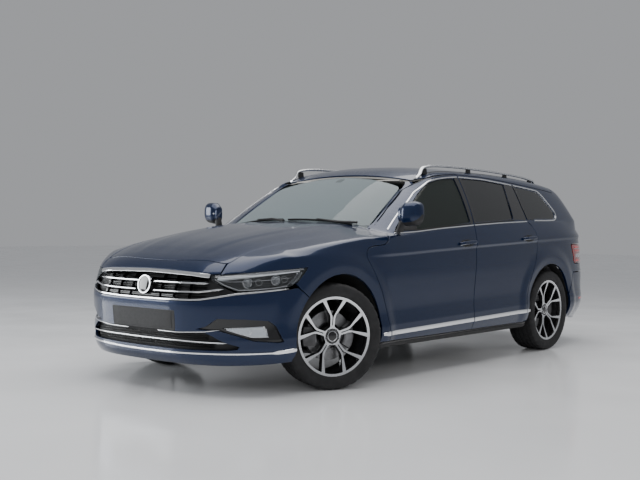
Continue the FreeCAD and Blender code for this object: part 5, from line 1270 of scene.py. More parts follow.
# plate carrier, bare
PY0, PY1, PZ0, PZ1 = -312.0, 262.0, 384.0, 508.0
PY0, PY1 = -287.0, 287.0
pc = [(PY0, PZ0), (PY1, PZ0), (PY1, PZ1), (PY0, PZ1)]
pcl = dense(rounded(pc, 9), 12)
az_ = lambda L: D_NOSE.to2(np.stack([np.full(len(L), 2360.0), L[:, 0], L[:, 1]], 1))
o = panel("plate_carrier", D_NOSE, az_(pcl), [], grid2(-400, 400, -200, 60, 24, 24), [M_TRIM], depth=14, lift=1.5, r=3, gap=0, body="body", slot="black")
pc2 = dense(rounded([(PY0 + 27, PZ0 + 14), (PY1 - 27, PZ0 + 14), (PY1 - 27, PZ1 - 8), (PY0 + 27, PZ1 - 8)], 5), 12)
o = panel("plate_blank", D_NOSE, az_(pc2), [], grid2(-400, 400, -200, 60, 24, 24), [M_BLACK], depth=3, lift=3.0, r=1.2, gap=0, body="body", slot="black")

# fog lamps
FOG = [(29.9, 415), (36, 421), (42.6, 428), (43.3, 395), (44.0, 359), (38.8, 358), (34.8, 378), (31.2, 400)]
fl2 = nose2(FOG, 7, True)
o = panel("left_fog_bezel", D_NOSE, fl2, [], grid2(300, 900, -300, 0, 22, 22), [M_CHROME], depth=4, lift=-18, body="body")
other_side(o, "right_fog_bezel", "body")
o = panel("left_fog_lens", D_NOSE, nose2([(30.6, 412), (36, 417), (42.1, 423.5), (42.8, 395), (43.4, 362.5), (39, 362), (35.2, 380.5), (31.8, 400)], 7, True), [],
          grid2(300, 900, -300, 0, 22, 22), [M_LENSG], depth=2.5, lift=-9, body="body", slot="lamp_glass")
other_side(o, "right_fog_lens", "body")
for i, a in enumerate(np.linspace(31.6, 43.0, 12)):
    o = strip("left_fog_rib_%d" % i, [(a, 409 - max(0, 36 - a) * 1.2 + 2), (a + 0.35, 366 + max(0, 38 - a) * 6.0)], 3.2, -12.5, M_MACH, base=-17, both=True, step=20, slot="chrome")


def puck(name, a, z, r, prof, mats, mi=None, body="body", back=0.0, out=1.0):
    """A lathed piece that faces out from the nose at an angle and height."""
    Q, N, D = D_AZ.at(np.array([[math.radians(a) * 1000.0, z]]))
    n = (N[0] * np.array([1, 1, 0.0]) * 0.35 + D[0] * 0.65 + np.array([0.25, 0, 0]))
    n /= np.linalg.norm(n)
    s = np.cross([0, 0, 1.0], n)
    s /= np.linalg.norm(s)
    u = np.cross(n, s)
    V, Fc, M = revolve(name, prof, None, 40, mi=mi)
    V = np.array(V)
    W = Q[0] - N[0] * back + V[:, :1] * s + V[:, 1:2] * u + V[:, 2:3] * n
    o = new_mesh(name, W, Fc, mats, M, sharp=35)
    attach(o, body)
    other_side(o, name.replace("left", "right"), body)
    return o


puck("left_fog_bulb", 37.6, 396, 20, [(0.01, 6), (9, 5), (14, 2), (16, -1), (19, 2.5), (21, 2), (21.5, -6)], [M_LENSG, M_CHROME], [0, 0, 0, 1, 1, 1], back=14)

# headlamp units
lamp_loop = nose2(LAMP, 6, True)
gL = grid2(200, 1100, -100, 400, 17, 17)
o = panel("left_lamp_housing", D_NOSE, nose2([(26.8, 694), (26.6, 721), (33, 731.5), (42, 744), (50, 756), (56.2, 765.5), (55.0, 740), (52.7, 691), (49.9, 659),
                                              (46, 648), (40, 639), (34.6, 635), (30.4, 663)], 7, True), [], gL, [M_BLACK], depth=3, lift=-46, body="body", rep=["headlamps"])
other_side(o, "right_lamp_housing", "body", ["headlamps"])
o = panel("left_lamp_cover", D_NOSE, lamp_loop, [], gL, [M_LAMPG], depth=2.5, r=2.0, gap=1.6, lift=0.0, flange=6, body="body", slot="lamp_glass")
other_side(o, "right_lamp_cover", "body")
# light strip along the top, bright frames, end light
strip("left_lamp_top_bar", [(27.2, 720), (33, 729.5), (42, 742), (50, 754), (55.6, 762.5)], 15, -9, M_MACH, base=-40, taper=([0, 0.02, 0.95, 1], [0.8, 1, 1, 0.5]), both=True, slot="chrome")
strip("left_lamp_light", [(28.0, 706), (34, 717), (42, 729), (50, 742.5), (54.2, 750)], 6.5, -16, M_LED, base=-40, both=True, slot="lamp_glass")
strip("left_lamp_lower_bar", [(27.3, 703), (30.6, 668), (34.7, 641), (40, 644.5), (46, 653), (49.6, 663)], 6.5, -13, M_CHROME, base=-40, both=True)
strip("left_lamp_mid_bar", [(27.8, 699), (31.8, 690), (37, 693), (44, 700), (51.5, 711)], 3.2, -22, M_CHROME, base=-40, taper=([0, 0.05, 0.9, 1], [0.4, 1, 1, 0.2]), both=True)
strip("left_lamp_end_a", [(51.4, 676), (53.6, 712), (55.0, 744)], 9, -18, M_LENSG, base=-40, both=True, slot="lamp_glass")
strip("left_lamp_end_b", [(49.8, 670), (52.1, 708), (53.6, 741)], 3.5, -20, M_CHROME, base=-40, both=True)
PJ = [(0.01, 22), (9, 20.5), (17, 15.5), (22, 8), (23.5, 4), (25, 7), (29, 8.5), (31.5, 6), (33, -2), (33, -14)]
puck("left_projector_inner", 37.4, 683, 30, PJ, [M_LENSG, M_CHROME, M_GLOSSB], [0, 0, 0, 0, 1, 1, 1, 2, 2], back=40)
puck("left_projector_outer", 46.4, 697, 30, PJ, [M_LENSG, M_CHROME, M_GLOSSB], [0, 0, 0, 0, 1, 1, 1, 2, 2], back=40)
RF = [(0.01, -12), (6, -11), (12, -6), (16, 0), (18, 4), (19.5, 4), (20, -8)]
puck("left_reflector_inner", 40.9, 688, 20, RF, [M_CHROME], None, back=42)
puck("left_reflector_outer", 49.4, 702, 20, RF, [M_CHROME], None, back=42)


# ---------------------------------------------------------------------------
# Wheels: local x forward, y up, z out of the face
# ---------------------------------------------------------------------------
DISH = Curve([(0, 66), (34, 65), (60, 66), (110, 72), (170, 82), (225, 93), (246, 96)])
RW = 234.0


def wheel_face():
    """Ten thin arms in five pairs round a hub, in one sheet with windows."""
    wins = []
    for s in range(5):
        A = math.radians(90 + 72 * s)
        # window inside a pair of arms
        L = [(3.2, 64), (3.4, 112), (8.5, 135), (50, 216), (47, 226)]
        th = [math.radians(t) for t in np.linspace(14.6, -14.6, 9)]
        L = [(3.2, 66), (3.2, 114), (6.5, 128)] + [(RW * math.sin(t), RW * math.cos(t)) for t in th] + [(-6.5, 128), (-3.2, 114), (-3.2, 66)]
        wins.append([(a * math.sin(A) + b * math.cos(A), b * math.sin(A) - a * math.cos(A)) for a, b in L])
        # window between two pairs
        B = A + math.radians(36)
        th = [math.radians(t) for t in np.linspace(-15.4, 15.4, 9)]
        inner = []
        r0 = 62.0
        e1 = [(-(r0 * math.sin(math.radians(20.0))), r0 * math.cos(math.radians(20.0)))]
        # the arm's outer edge: parallel to its own pair's line to r 116, then out to the ring
        def edge(sg):
            c, q = math.cos(math.radians(36)), math.sin(math.radians(36))
            out = []
            for off, rr in ((14.6, 60), (14.8, 84), (15.6, 112), (21, 134)):
                # a point at an offset from the pair's line, seen from the window's middle
                x, y = off, rr
                X = x * c - y * q
                Y = x * q + y * c
                out.append((sg * -X, Y) if sg > 0 else (X, Y))
            return out
        left = edge(-1)
        right = [(-a, b) for a, b in left]
        top = [(RW * math.sin(t), RW * math.cos(t)) for t in th]
        hub = [(56 * math.sin(math.radians(t)), 56 * math.cos(math.radians(t))) for t in np.linspace(14, -14, 5)]
        L = left + top + right[::-1] + hub
        wins.append([(a * math.sin(B) + b * math.cos(B), b * math.sin(B) - a * math.cos(B)) for a, b in L])
    wins = [dense(rounded(w, 3.0), 6) for w in wins]
    ringo = [(246.0 * math.cos(t), 246.0 * math.sin(t)) for t in np.linspace(0, 2 * math.pi, 121)[:-1]]
    loops = [np.array(ringo)] + wins
    G = [(r * math.cos(t), r * math.sin(t)) for r in (12, 26, 38, 48, 64, 90, 130, 160, 190, 215, 240) for t in np.linspace(0, 2 * math.pi, max(12, int(r * 0.6)), endpoint=False)]
    G = np.array(G)
    G = G[inside(G, loops)]
    G = G[~near(G, loops, 2.2)]
    pts = [Vector((float(a), float(b))) for L in loops for a, b in L] + [Vector((float(a), float(b))) for a, b in G]
    edges, k = [], 0
    for L in loops:
        edges += [(k + i, k + (i + 1) % len(L)) for i in range(len(L))]
        k += len(L)
    v2, _, f2, ov, _, _ = delaunay_2d_cdt(pts, edges, [], 0, 1e-4, True)
    v2 = np.array([tuple(v) for v in v2])
    f2 = np.array([list(f) for f in f2 if len(f) == 3])
    f2 = f2[inside(v2[f2].mean(1), loops)]
    back = {}
    for i, o_ in enumerate(ov):
        for j in o_:
            back[j] = i
    r = np.hypot(v2[:, 0], v2[:, 1])
    z = DISH(r)
    V = [np.stack([v2[:, 0], v2[:, 1], z], 1)]
    a, b, c = v2[f2[:, 0]], v2[f2[:, 1]], v2[f2[:, 2]]
    ar = (b[:, 0] - a[:, 0]) * (c[:, 1] - a[:, 1]) - (b[:, 1] - a[:, 1]) * (c[:, 0] - a[:, 0])
    f2 = np.where((ar < 0)[:, None], f2[:, ::-1], f2)
    rc = np.hypot(*v2[f2].mean(1).T)
    Fc = [tuple(q) for q in f2]
    M = [0 if q > 47 else 1 for q in rc]
    n0 = len(v2)
    # chamfer and side walls of each window
    k = 0
    count = n0
    for li, L in enumerate(loops):
        n = len(L)
        ids = [back[k + i] for i in range(n)]
        k += n
        if li == 0:
            continue
        P = V[0][ids]
        cen = P.mean(0)
        T = np.roll(P, -1, axis=0) - np.roll(P, 1, axis=0)
        S = np.stack([T[:, 1], -T[:, 0], np.zeros(n)], 1)
        S /= np.maximum(np.linalg.norm(S, axis=1), 1e-9)[:, None]
        area = np.sum(P[:, 0] * np.roll(P[:, 1], -1) - np.roll(P[:, 0], -1) * P[:, 1])
        S *= -1 if area > 0 else 1          # into the window
        rows = [ids]
        for off, dz in ((1.2, -2.0), (1.2, -20.0), (2.6, -24.0), (2.6, -38.0)):
            V.append(P + S * off + np.array([0, 0, dz]))
            rows.append(list(range(count, count + n)))
            count += n
        for q in range(4):
            for i in range(n):
                j = (i + 1) % n
                f = (rows[q][i], rows[q][j], rows[q + 1][j], rows[q + 1][i])
                Fc.append(f if area < 0 else f[::-1])
                M.append(1)
    V = np.concatenate(V)
    # the backs of the arms end short of the knuckle
    V[:, 2] = np.maximum(V[:, 2], V[:, 2].min() + 10.5)
    return V, Fc, M


def oriented(V, Fc):
    V = np.asarray(V)
    return V, Fc


WV, WF, WM = wheel_face()
RIM = [(246, 96), (249.5, 97.5), (252, 95), (252, 88), (246, 83), (241, 70), (236, 40), (228, 10), (222, -60), (226, -96), (240, -102), (246, -104),
       (248, -100), (236, -92), (229, -60), (230, -2), (238, 30), (243, 66)]
RIMM = [0, 0, 0, 1, 1, 1, 1, 1, 1, 1, 1, 1, 1, 1, 1, 1, 1]
TY = [(243, 92), (250, 97), (256, 106), (266, 113), (282, 117), (297, 117.2), (312, 114), (322, 107.5), (329, 98), (332.2, 86), (333.2, 70),
      (333.2, 66), (326.5, 64.5), (326.5, 56.5), (333.5, 55), (333.9, 24), (327, 22.5), (327, 13.5), (333.9, 12), (334, -12), (327, -13.5), (327, -22.5),
      (333.9, -24), (333.5, -55), (326.5, -56.5), (326.5, -64.5), (333.2, -66), (333.2, -70), (332.2, -86), (329, -98), (322, -107.5), (312, -114), (297, -117.2),
      (282, -117), (266, -113), (256, -106), (250, -100), (243, -95)]


def tyre_mesh():
    seg, n = 180, len(TY)
    V, Fc, M = [], [], []
    for i in range(seg):
        a = 2 * math.pi * i / seg
        for k, (r, z) in enumerate(TY):
            rr = r
            cut = (i % 5 == 0)
            if cut and (abs(z) > 68 and r > 318):
                rr = r - 4.5 * (1 if r > 325 else 0.5)
            if (i + 2) % 5 == 0 and 24 <= abs(z) <= 55 and r > 333:
                rr = r - 3.5
            V.append((rr * math.cos(a), rr * math.sin(a), z))
    for i in range(seg):
        j = (i + 1) % seg
        for k in range(n - 1):
            Fc.append((i * n + k, j * n + k, j * n + k + 1, i * n + k + 1))
            M.append(1 if TY[k][0] > 325 and TY[k + 1][0] > 325 else 0)
    return np.array(V), Fc, M


def place(V, c, az, out):
    """Wheel space to the car: c the centre, az the turn about the upright axis, out +1 left or -1 right."""
    fx = np.array([math.cos(az), math.sin(az), 0.0])
    ox = np.array([-math.sin(az), math.cos(az), 0.0]) * out
    V = np.asarray(V, float)
    return np.array(c) + V[:, :1] * fx * out + V[:, 1:2] * np.array([0, 0, 1.0]) + V[:, 2:3] * ox * 1.0


def put(name, VFM, mats, c, az, out, body, rep=(), sharp=32, slot=None):
    V, Fc, M = VFM
    W = place(V, c, az, out)
    # x is turned with the side, so that the piece isn't mirrored
    f = [tuple(q[::-1]) for q in Fc]
    a0 = np.array([W[q[0]] for q in Fc[:400]])
    o = new_mesh(name, W, Fc, mats, M, sharp=sharp)
    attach(o, body)
    if rep:
        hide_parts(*rep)
    if slot:
        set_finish(o, slot)
    return o


def turned(V, a):
    V = np.asarray(V, float)
    c, s = math.cos(a), math.sin(a)
    return np.stack([V[:, 0] * c - V[:, 1] * s, V[:, 0] * s + V[:, 1] * c, V[:, 2]], 1)


CAP = revolve("c", [(0.01, 70.5), (14, 70.2), (24, 68.6), (27.5, 67.4), (28.5, 66), (30.5, 68.6), (33, 68.2), (34, 60)], None, 48, mi=[0, 0, 0, 0, 1, 1, 1])
BOLT = ([], [], [])
for i in range(5):
    a = math.radians(90 + 36 + 72 * i)
    v, f, m = revolve("b", [(0.01, 62), (3.6, 62), (4.2, 66.6), (7.4, 66.6), (8.4, 64.5), (8.4, 58)], None, 12)
    k = len(BOLT[0])
    BOLT[0].extend([(x + 44 * math.cos(a), y + 44 * math.sin(a), z + 2.0) for x, y, z in v])
    BOLT[1].extend([tuple(j + k for j in q) for q in f])
    BOLT[2].extend([0] * len(f))
RIMR = revolve("r", RIM, None, 120, mi=RIMM)
TYR = tyre_mesh()
HUBB = revolve("h", [(0.01, 40), (40, 40), (62, 36), (64, 20), (70, 10), (74, -20), (0.01, -22)], None, 40)
DISC = revolve("k", [(78, 22), (82, 14), (84, 6), (156, 6), (158, 4), (158, -2), (156, -4), (150, -4), (150, -10), (156, -10), (158, -12), (158, -18), (156, -20), (84, -20)],
               None, 90)


def wheel(side, end, c, az, body, knuckle):
    out = 1 if side == "left" else -1
    nm = "%s_%s_" % (side, end)
    rot = 0.0 if end == "front" else math.radians(-90 if out > 0 else 90)
    if end == "rear":
        rot = math.radians(-90.0) * 1.0
    put(nm + "wheel_face", (turned(WV, rot), WF, WM), [M_MACH, M_RIMB], c, az, out, body, rep=[nm + "rim"], slot="rim")
    put(nm + "wheel_rim", RIMR, [M_MACH, M_BARREL], c, az, out, body, slot="rim")
    put(nm + "wheel_cap", CAP, [M_GLOSSB, M_CHROME], c, az, out, body, slot="rim")
    put(nm + "wheel_bolts", (turned(np.array(BOLT[0]), rot), BOLT[1], BOLT[2]), [M_STEEL], c, az, out, body, slot="steel")
    put(nm + "wheel_hub", HUBB, [M_RIMB], c, az, out, body, slot="rim")
    put(nm + "tyre_tread", TYR, [M_TYRE, M_TREAD], c, az, out, body, rep=[nm + "tyre"], sharp=24, slot="tyre")
    k = 1.0 if end == "front" else 0.92
    D = [np.array(DISC[0]) * np.array([k, k, 1]), DISC[1], DISC[2]]
    put(nm + "brake_disc", D, [M_STEEL], c, az, out, body, slot="steel")
    # valve
    v, f, m = revolve("v", [(0.01, 22), (3, 22), (3.4, 10), (4.5, 0)], None, 10)
    v = [(x + 226, y, z + 60) for x, y, z in v]
    put(nm + "wheel_valve", (v, f, m), [M_RUBBER], c, az, out, body)


TH = -math.radians(24.3)
wheel("left", "front", (1530.7, 786.7, 334.0), TH, "left_front_wheel", "left_knuckle")
wheel("right", "front", (1481.3, -786.7, 334.0), TH, "right_front_wheel", "right_knuckle")
wheel("left", "rear", (-1280.0, 784.0, 334.0), 0.0, "left_rear_wheel", "body")
wheel("right", "rear", (-1280.0, -784.0, 334.0), 0.0, "right_rear_wheel", "body")


def caliper(name, c, az, out, body, k):
    a0, a1 = (math.radians(150), math.radians(212)) if k > 0.95 else (math.radians(-28), math.radians(24))
    prof = [(104, 30), (112, 36), (150, 38), (166, 32), (172, 22), (174, -22), (168, -34), (150, -40), (112, -40), (104, -34), (104, -24), (164, -24), (164, 10), (104, 10)]
    V, Fc = [], []
    n, m = 9, len(prof)
    for i in range(n):
        a = a0 + (a1 - a0) * i / (n - 1)
        q = 1.0 if 0 < i < n - 1 else 0.985
        for r, z in prof:
            V.append((r * k * q * math.cos(a), r * k * q * math.sin(a), z * q))
    for i in range(n - 1):
        for j in range(m):
            l = (j + 1) % m
            Fc.append((i * m + j, i * m + l, (i + 1) * m + l, (i + 1) * m + j))
    Fc.append(tuple(range(m))[::-1])
    Fc.append(tuple((n - 1) * m + j for j in range(m)))
    put(name, (V, Fc, [0] * len(Fc)), [M_CALIPER], c, az, out, body, slot="steel")


caliper("left_front_caliper", (1530.7, 786.7, 334.0), TH, 1, "left_knuckle", 1.0)
caliper("right_front_caliper", (1481.3, -786.7, 334.0), TH, -1, "right_knuckle", 1.0)
caliper("left_rear_caliper", (-1280.0, 784.0, 334.0), 0.0, 1, "body", 0.92)
caliper("right_rear_caliper", (-1280.0, -784.0, 334.0), 0.0, -1, "body", 0.92)


# ---------------------------------------------------------------------------
# Windshield, pillars, chrome and trims
# ---------------------------------------------------------------------------
D_SCR = Dom("screen", fn=screen_form, reach=700)
WSO = [(0, 1402), (286, 1389), (507, 1362), (566, 1352), (588, 1330), (650, 1060), (651, 1044), (560, 1046), (300, 1052), (0, 1055)]
wfull = WSO + [(-y, z) for y, z in reversed(WSO[1:-1])]
sc2 = lambda L: np.stack([np.asarray(L)[:, 0], (np.asarray(L)[:, 1] - 1000.0) / 0.505], 1)
wl = sc2(dense(rounded(wfull, 22), 14))
gW = grid2(-680, 680, 60, 820, 30, 30)
panel("windshield_glass", D_SCR, wl, [], gW, [M_SCREEN], depth=5, r=1.0, gap=2.0, lift=-1.0, flange=1.0, body="body", rep=["windshield"], dmin=10,
      slot="glass")


def band(name, outer, inner_, dom, m, depth, lift, body="body", slot="black"):
    return panel(name, dom, outer, [inner_], np.zeros((0, 2)), [m], depth=depth, r=0.5, gap=2.5, lift=lift, flange=0.5, hole_gap=0.0, body=body, inner=False, slot=slot)


win = [(y * 0.955 if ab(y) > 300 else y, z) for y, z in wfull]
wi = []
for y, z in WSO:
    wi.append((max(0.0, y - (30 if y > 400 else 0)), z - 22 if z > 1300 else z + (34 if z < 1060 and z < 1056 else 0)))
wi = [(0, 1392), (286, 1379), (500, 1355), (560, 1347), (580, 1326), (634, 1082), (624, 1070), (540, 1070), (300, 1076), (0, 1080)]
wif = wi + [(-y, z) for y, z in reversed(wi[1:-1])]
band("windshield_frit", wl, sc2(dense(rounded(wif, 14), 14)), D_SCR, M_FRIT, 1.0, -6.5, slot="black")

# windshield pillars: between the glass and the door
PH = np.linspace(1010, 1352, 18)
rows = []
door_edge = [p for p in FRONT_DOOR if p[0] > 150 and p[1] > 930]
de = Curve([(z, x) for x, z in [(388, 1342), (400, 1335), (492, 1288), (733, 1142), (930, 1014)]])
se = Curve([(z, y) for y, z in [(566, 1352), (588, 1330), (650, 1060), (651, 1044)]])
PV = []
for z in PH:
    xd = float(de(np.array([z]))[0]) + 1.5
    ys = float(se(np.array([z]))[0]) + 1.5
    yd = 300.0 + float(cast(np.array([[xd, 300.0, z]]), np.array([[0.0, 1.0, 0.0]]), 900.0, flank)[0])
    xs = xd - 200.0 + float(cast(np.array([[xd - 200.0, ys, z]]), np.array([[1.0, 0.0, 0.0]]), 900.0, screen_form)[0])
    P0, P1 = np.array([xs, ys, z]), np.array([xd, yd, z])
    O = np.array([min(xs, xd) - 160.0, 430.0, z])
    row = []
    for t in np.linspace(0.0, 1.0, 13):
        p = (1 - t) * P0 + t * P1
        d = (p - O) / np.linalg.norm(p - O)
        q = O + d * float(cast(O[None], d[None], 900.0, F)[0])
        w0 = max(0.0, 1 - t / 0.25)
        w1 = max(0.0, (t - 0.8) / 0.2)
        row.append(q * (1 - w0 - w1) + P0 * w0 + P1 * w1)
    P0i, P1i = P0 - np.array([16, 0, 0]), P1 - np.array([4, 24, 0])
    row = [P0i, P0 - np.array([3.0, 0, 0])] + row + [P1 - np.array([0.6, 3.0, 0]), P1i]
    PV.append(row)
PV = np.array(PV)
n, m = PV.shape[:2]
Fc = [(i * m + j, i * m + j + 1, (i + 1) * m + j + 1, (i + 1) * m + j) for i in range(n - 1) for j in range(m - 1)]
ap = new_mesh("left_screen_pillar", PV.reshape(-1, 3), Fc, [M_PAINT], sharp=42)
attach(ap, "body")
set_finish(ap, "paint")
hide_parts("door_pillars")
other_side(ap, "right_screen_pillar", "body")

# middle pillars, behind the meeting doors
bs = Curve([(z, x) for x, z in B_SHUT])
for side, sg in (("left", 1), ("right", -1)):
    MV = []
    for z in np.linspace(300, 1378, 40):
        xm = float(bs(np.array([z]))[0])
        yo = 300.0 + float(cast(np.array([[xm, 300.0, z]]), np.array([[0.0, 1.0, 0.0]]), 900.0, side_form)[0]) - (78.0 if z < 1000 else 78.0 - 40.0 * min(1.0, (z - 1000) / 80.0))
        wd = 74.0 - 22.0 * min(1.0, max(0.0, (z - 300) / 700.0))
        ring = []
        for a in np.linspace(0, 2 * math.pi, 25)[:-1]:
            ring.append((xm + wd * sp(math.cos(a), 0.55), sg * (yo - 24.0 + 24.0 * sp(math.sin(a), 0.55)), z))
        MV.append(ring)
    MV = np.array(MV)
    n, m = MV.shape[:2]
    Fc = [(i * m + j, i * m + (j + 1) % m, (i + 1) * m + (j + 1) % m, (i + 1) * m + j) for i in range(n - 1) for j in range(m)]
    Fc = [f if sg < 0 else f[::-1] for f in Fc] + [tuple(range(m)), tuple((n - 1) * m + i for i in range(m))[::-1]]
    mp = new_mesh(side + "_middle_pillar", MV.reshape(-1, 3), Fc, [M_JAMB], sharp=42)
    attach(mp, "body")
    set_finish(mp, "paint")
    sweep(side + "_middle_pillar_seal", np.array([r_[0] for r_ in MV]) + np.array([3.0, 0, 0]), np.tile([1.0, 0.0, 0.0], (n, 1)), bar(9, 5, base=-3), [M_RUBBER], "body", slot="black")

# bright line round the side glass
DC = D_SIDE
CH = [(946, 988), (725, 1124), (485, 1273), (388, 1318), (296, 1354), (160, 1380), (22, 1396), (-118, 1405)]
CH = [(905, 1002), (733, 1117), (485, 1270), (391, 1315), (294, 1355), (167, 1380), (22, 1396), (-108, 1405)]


def side_strip(name, pts, w, h, m, body, base=-5, rad=None, taper=None, both=True, slot="chrome", dom=None, lift=0.0, step=9.0):
    p = rounded(pts, rad, False) if rad else pts
    Q, N = on_path(dom or D_SIDE, p, step, False)
    sc = None
    if taper:
        t = np.linspace(0, 1, len(Q))
        sc = [(float(np.interp(v, taper[0], taper[1])), 1.0) for v in t]
    o = sweep(name, Q, N, bar(w, h, base=base), [m], body, scale=sc, lift=lift, slot=slot)
    if both:
        other_side(o, name.replace("left", "right"), body.replace("left", "right"), slot=slot)
    return o


side_strip("left_front_window_chrome", CH, 10, 3.2, M_CHROME, "left_front_door", rad=30)
side_strip("left_rear_window_chrome", [(-127, 1405), (-459, 1401), (-786, 1380), (-893, 1371)], 10, 3.2, M_CHROME, "left_rear_door", rad=60)
side_strip("left_quarter_window_chrome", [(-911, 1370), (-1052, 1360), (-1300, 1338), (-1352, 1308), (-1404, 1256), (-1498, 1162), (-1492, 1112), (-1452, 1097),
                                          (-1434, 1091), (-1250, 1086), (-1062, 1085)], 10, 3.2, M_CHROME, "body", rad=26)
side_strip("left_front_belt_chrome", [(905, 977), (650, 990), (372, 1012), (-81, 1039), (-84, 1039.5)], 9, 3.4, M_CHROME, "left_front_door", rad=60)
side_strip("left_rear_belt_chrome", [(-97, 1040), (-482, 1059), (-925, 1075)], 9, 3.4, M_CHROME, "left_rear_door", rad=60)
side_strip("left_front_belt_seal", [(860, 1003), (650, 1001), (374, 1021), (-64, 1051)], 9, 2.0, M_RUBBER, "left_front_door", slot="black", rad=60)
side_strip("left_rear_belt_seal", [(-122, 1052), (-482, 1071), (-722, 1083)], 9, 2.0, M_RUBBER, "left_rear_door", slot="black")
# gloss covers on the middle and rear pillars


def cover(name, pts, body, m=None):
    o = panel(name, D_SIDE, dense(rounded(pts, 4), 9), [], np.zeros((0, 2)), [m or M_GLOSSB], depth=4.0, r=1.0, gap=0.6, lift=1.6, flange=1.0, body=body, inner=False, slot="black")
    other_side(o, name.replace("left", "right"), body.replace("left", "right"))
    return o


cover("left_front_pillar_cover", [(-88, 1048), (-97, 1150), (-113, 1399), (-56, 1399), (-54, 1250), (-49, 1056)], "left_front_door")
cover("left_rear_pillar_cover_front", [(-101, 1049), (-110, 1150), (-125, 1399), (-155, 1399), (-140, 1150), (-131, 1056)], "left_rear_door")
cover("left_rear_pillar_cover_rear", [(-712, 1088), (-731, 1230), (-768, 1376), (-889, 1366), (-904, 1200), (-924, 1084)], "left_rear_door")
cover("left_quarter_pillar_cover", [(-946, 1092), (-917, 1200), (-906, 1364), (-930, 1362), (-940, 1200), (-962, 1098), (-1060, 1098), (-1060, 1092)], "body")
cover("left_mirror_patch", [(902, 986), (870, 1003), (716, 1108), (640, 1152), (650, 1004)], "left_front_door", M_TRIM)

# bright strip along the doors
def strip_z(x, k=0.0):
    return float(ZST(np.array([float(x)]))[0]) + k


def low_strip(name, x0, x1, body, taper=None):
    xs = np.linspace(x0, x1, max(3, int(abs(x1 - x0) / 14)))
    side_strip(name, [(x, strip_z(x)) for x in xs], 30, 6.5, M_CHROME, body, base=-4, taper=taper, step=12)


low_strip("left_fender_strip", 1104, 1034, "body", ([0, 0.8, 1], [0.55, 1, 1]))
low_strip("left_front_door_strip", 1023, -31, "left_front_door")
low_strip("left_rear_door_strip", -42, -829, "left_rear_door")
low_strip("left_quarter_strip", -838, -896, "body", ([0, 0.3, 1], [1, 1, 0.7]))

# sills
SX = np.linspace(-886, 1108, 90)
sz = [(x, 246.0) for x in SX]
Q, N, D = D_SIDE.at(np.array([(x, 256.0) for x in SX]))
prof = [(-4, -70), (0, -8), (2, 0), (0, 4), (-6, 6), (-20, 4), (-30, -2), (-34, -14), (-38, -60)]
V, Fc = [], []
for i in range(len(SX)):
    y = Q[i, 1]
    for h, o_ in [(258, -60), (258, -12), (255, -9), (246, -7.5), (236, -9), (226, -15), (219, -26), (216, -44), (216, -84)]:
        V.append((SX[i], y + o_, h))
m = 9
for i in range(len(SX) - 1):
    for j in range(m - 1):
        Fc.append((i * m + j, (i + 1) * m + j, (i + 1) * m + j + 1, i * m + j + 1))
Fc.append(tuple(range(m)))
Fc.append(tuple((len(SX) - 1) * m + j for j in range(m))[::-1])
so = new_mesh("left_sill_trim", V, Fc, [M_TRIM], sharp=40)
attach(so, "body")
other_side(so, "right_sill_trim", "body")


# door handles: a bow over a scoop
def handle(name, x0, x1, z0, z1, body):
    xs = np.linspace(x0, x1, 34)
    zs = np.linspace(z0, z1, 34)
    Q, N, D = D_SIDE.at(np.stack([xs, zs], 1))
    t = np.linspace(0, 1, 34)
    hgt = 26.0 * np.clip(np.minimum(t, 1 - t) / 0.13, 0, 1) ** 0.5 + 3.0
    P = Q + N * hgt[:, None]
    sc = [(float(0.72 + 0.28 * np.sin(math.pi * v)), 1.0) for v in t]
    prof = [(-14, -6), (-14.5, 1), (-11, 5.5), (-3, 7.5), (6, 7), (12, 4), (14, -1), (12, -6), (0, -8)]
    o = sweep(name, P, N, prof, [M_PAINT], body, scale=sc, sharp=40, slot="paint")
    other_side(o, name.replace("left", "right"), body.replace("left", "right"), slot="paint")
    # bright edge
    e = sweep(name + "_edge", P - np.array([0, 0, 10.5]) + N * 2.2, N, bar(3.2, 3.0, base=-3), [M_CHROME], body, slot="chrome", scale=[(1, 1)] * 34)
    other_side(e, name.replace("left", "right") + "_edge", body.replace("left", "right"), slot="chrome")
    # scoop behind it
    xm, zm = (x0 + x1) / 2, (z0 + z1) / 2
    el = [(xm + 0.40 * (x1 - x0) * math.cos(a) * 1.05, zm + 27 * math.sin(a) + 0.12 * (z1 - z0) * math.cos(a)) for a in np.linspace(0, 2 * math.pi, 41)[:-1]]
    s_ = panel(name + "_scoop", D_SIDE, np.array(el), [], grid2(xm - 120, xm + 120, zm - 40, zm + 40, 10, 8), [M_BLACK], depth=2.0, r=0.8, gap=0.0, lift=0.9, flange=0.5,
               body=body, inner=False, slot="black", dmin=3)
    other_side(s_, name.replace("left", "right") + "_scoop", body.replace("left", "right"))


handle("left_front_handle", 168, -46, 900, 911, "left_front_door")
handle("left_rear_handle", -785, -992, 934, 941, "left_rear_door")


# ---------------------------------------------------------------------------
# Rear: lamps, bumper, outlets
# ---------------------------------------------------------------------------
def wrap(p):
    p = np.array(p, float)
    p[:, 0] = np.where(p[:, 0] < 0, p[:, 0] + 2 * math.pi * D_REAR.R, p[:, 0])
    return p


def rear3(pts, step=9.0, closed=False, lift=0.0):
    return deg_post(dense(pts, step * 0.1, closed) if False else dense_deg(pts, step, closed), -1400.0, True, lift)[0]


def dense_deg(pts, step, closed=False):
    q = dense([(math.radians(a) * 900.0, z) for a, z in pts], step, closed)
    return np.stack([np.degrees(q[:, 0] / 900.0), q[:, 1]], 1)


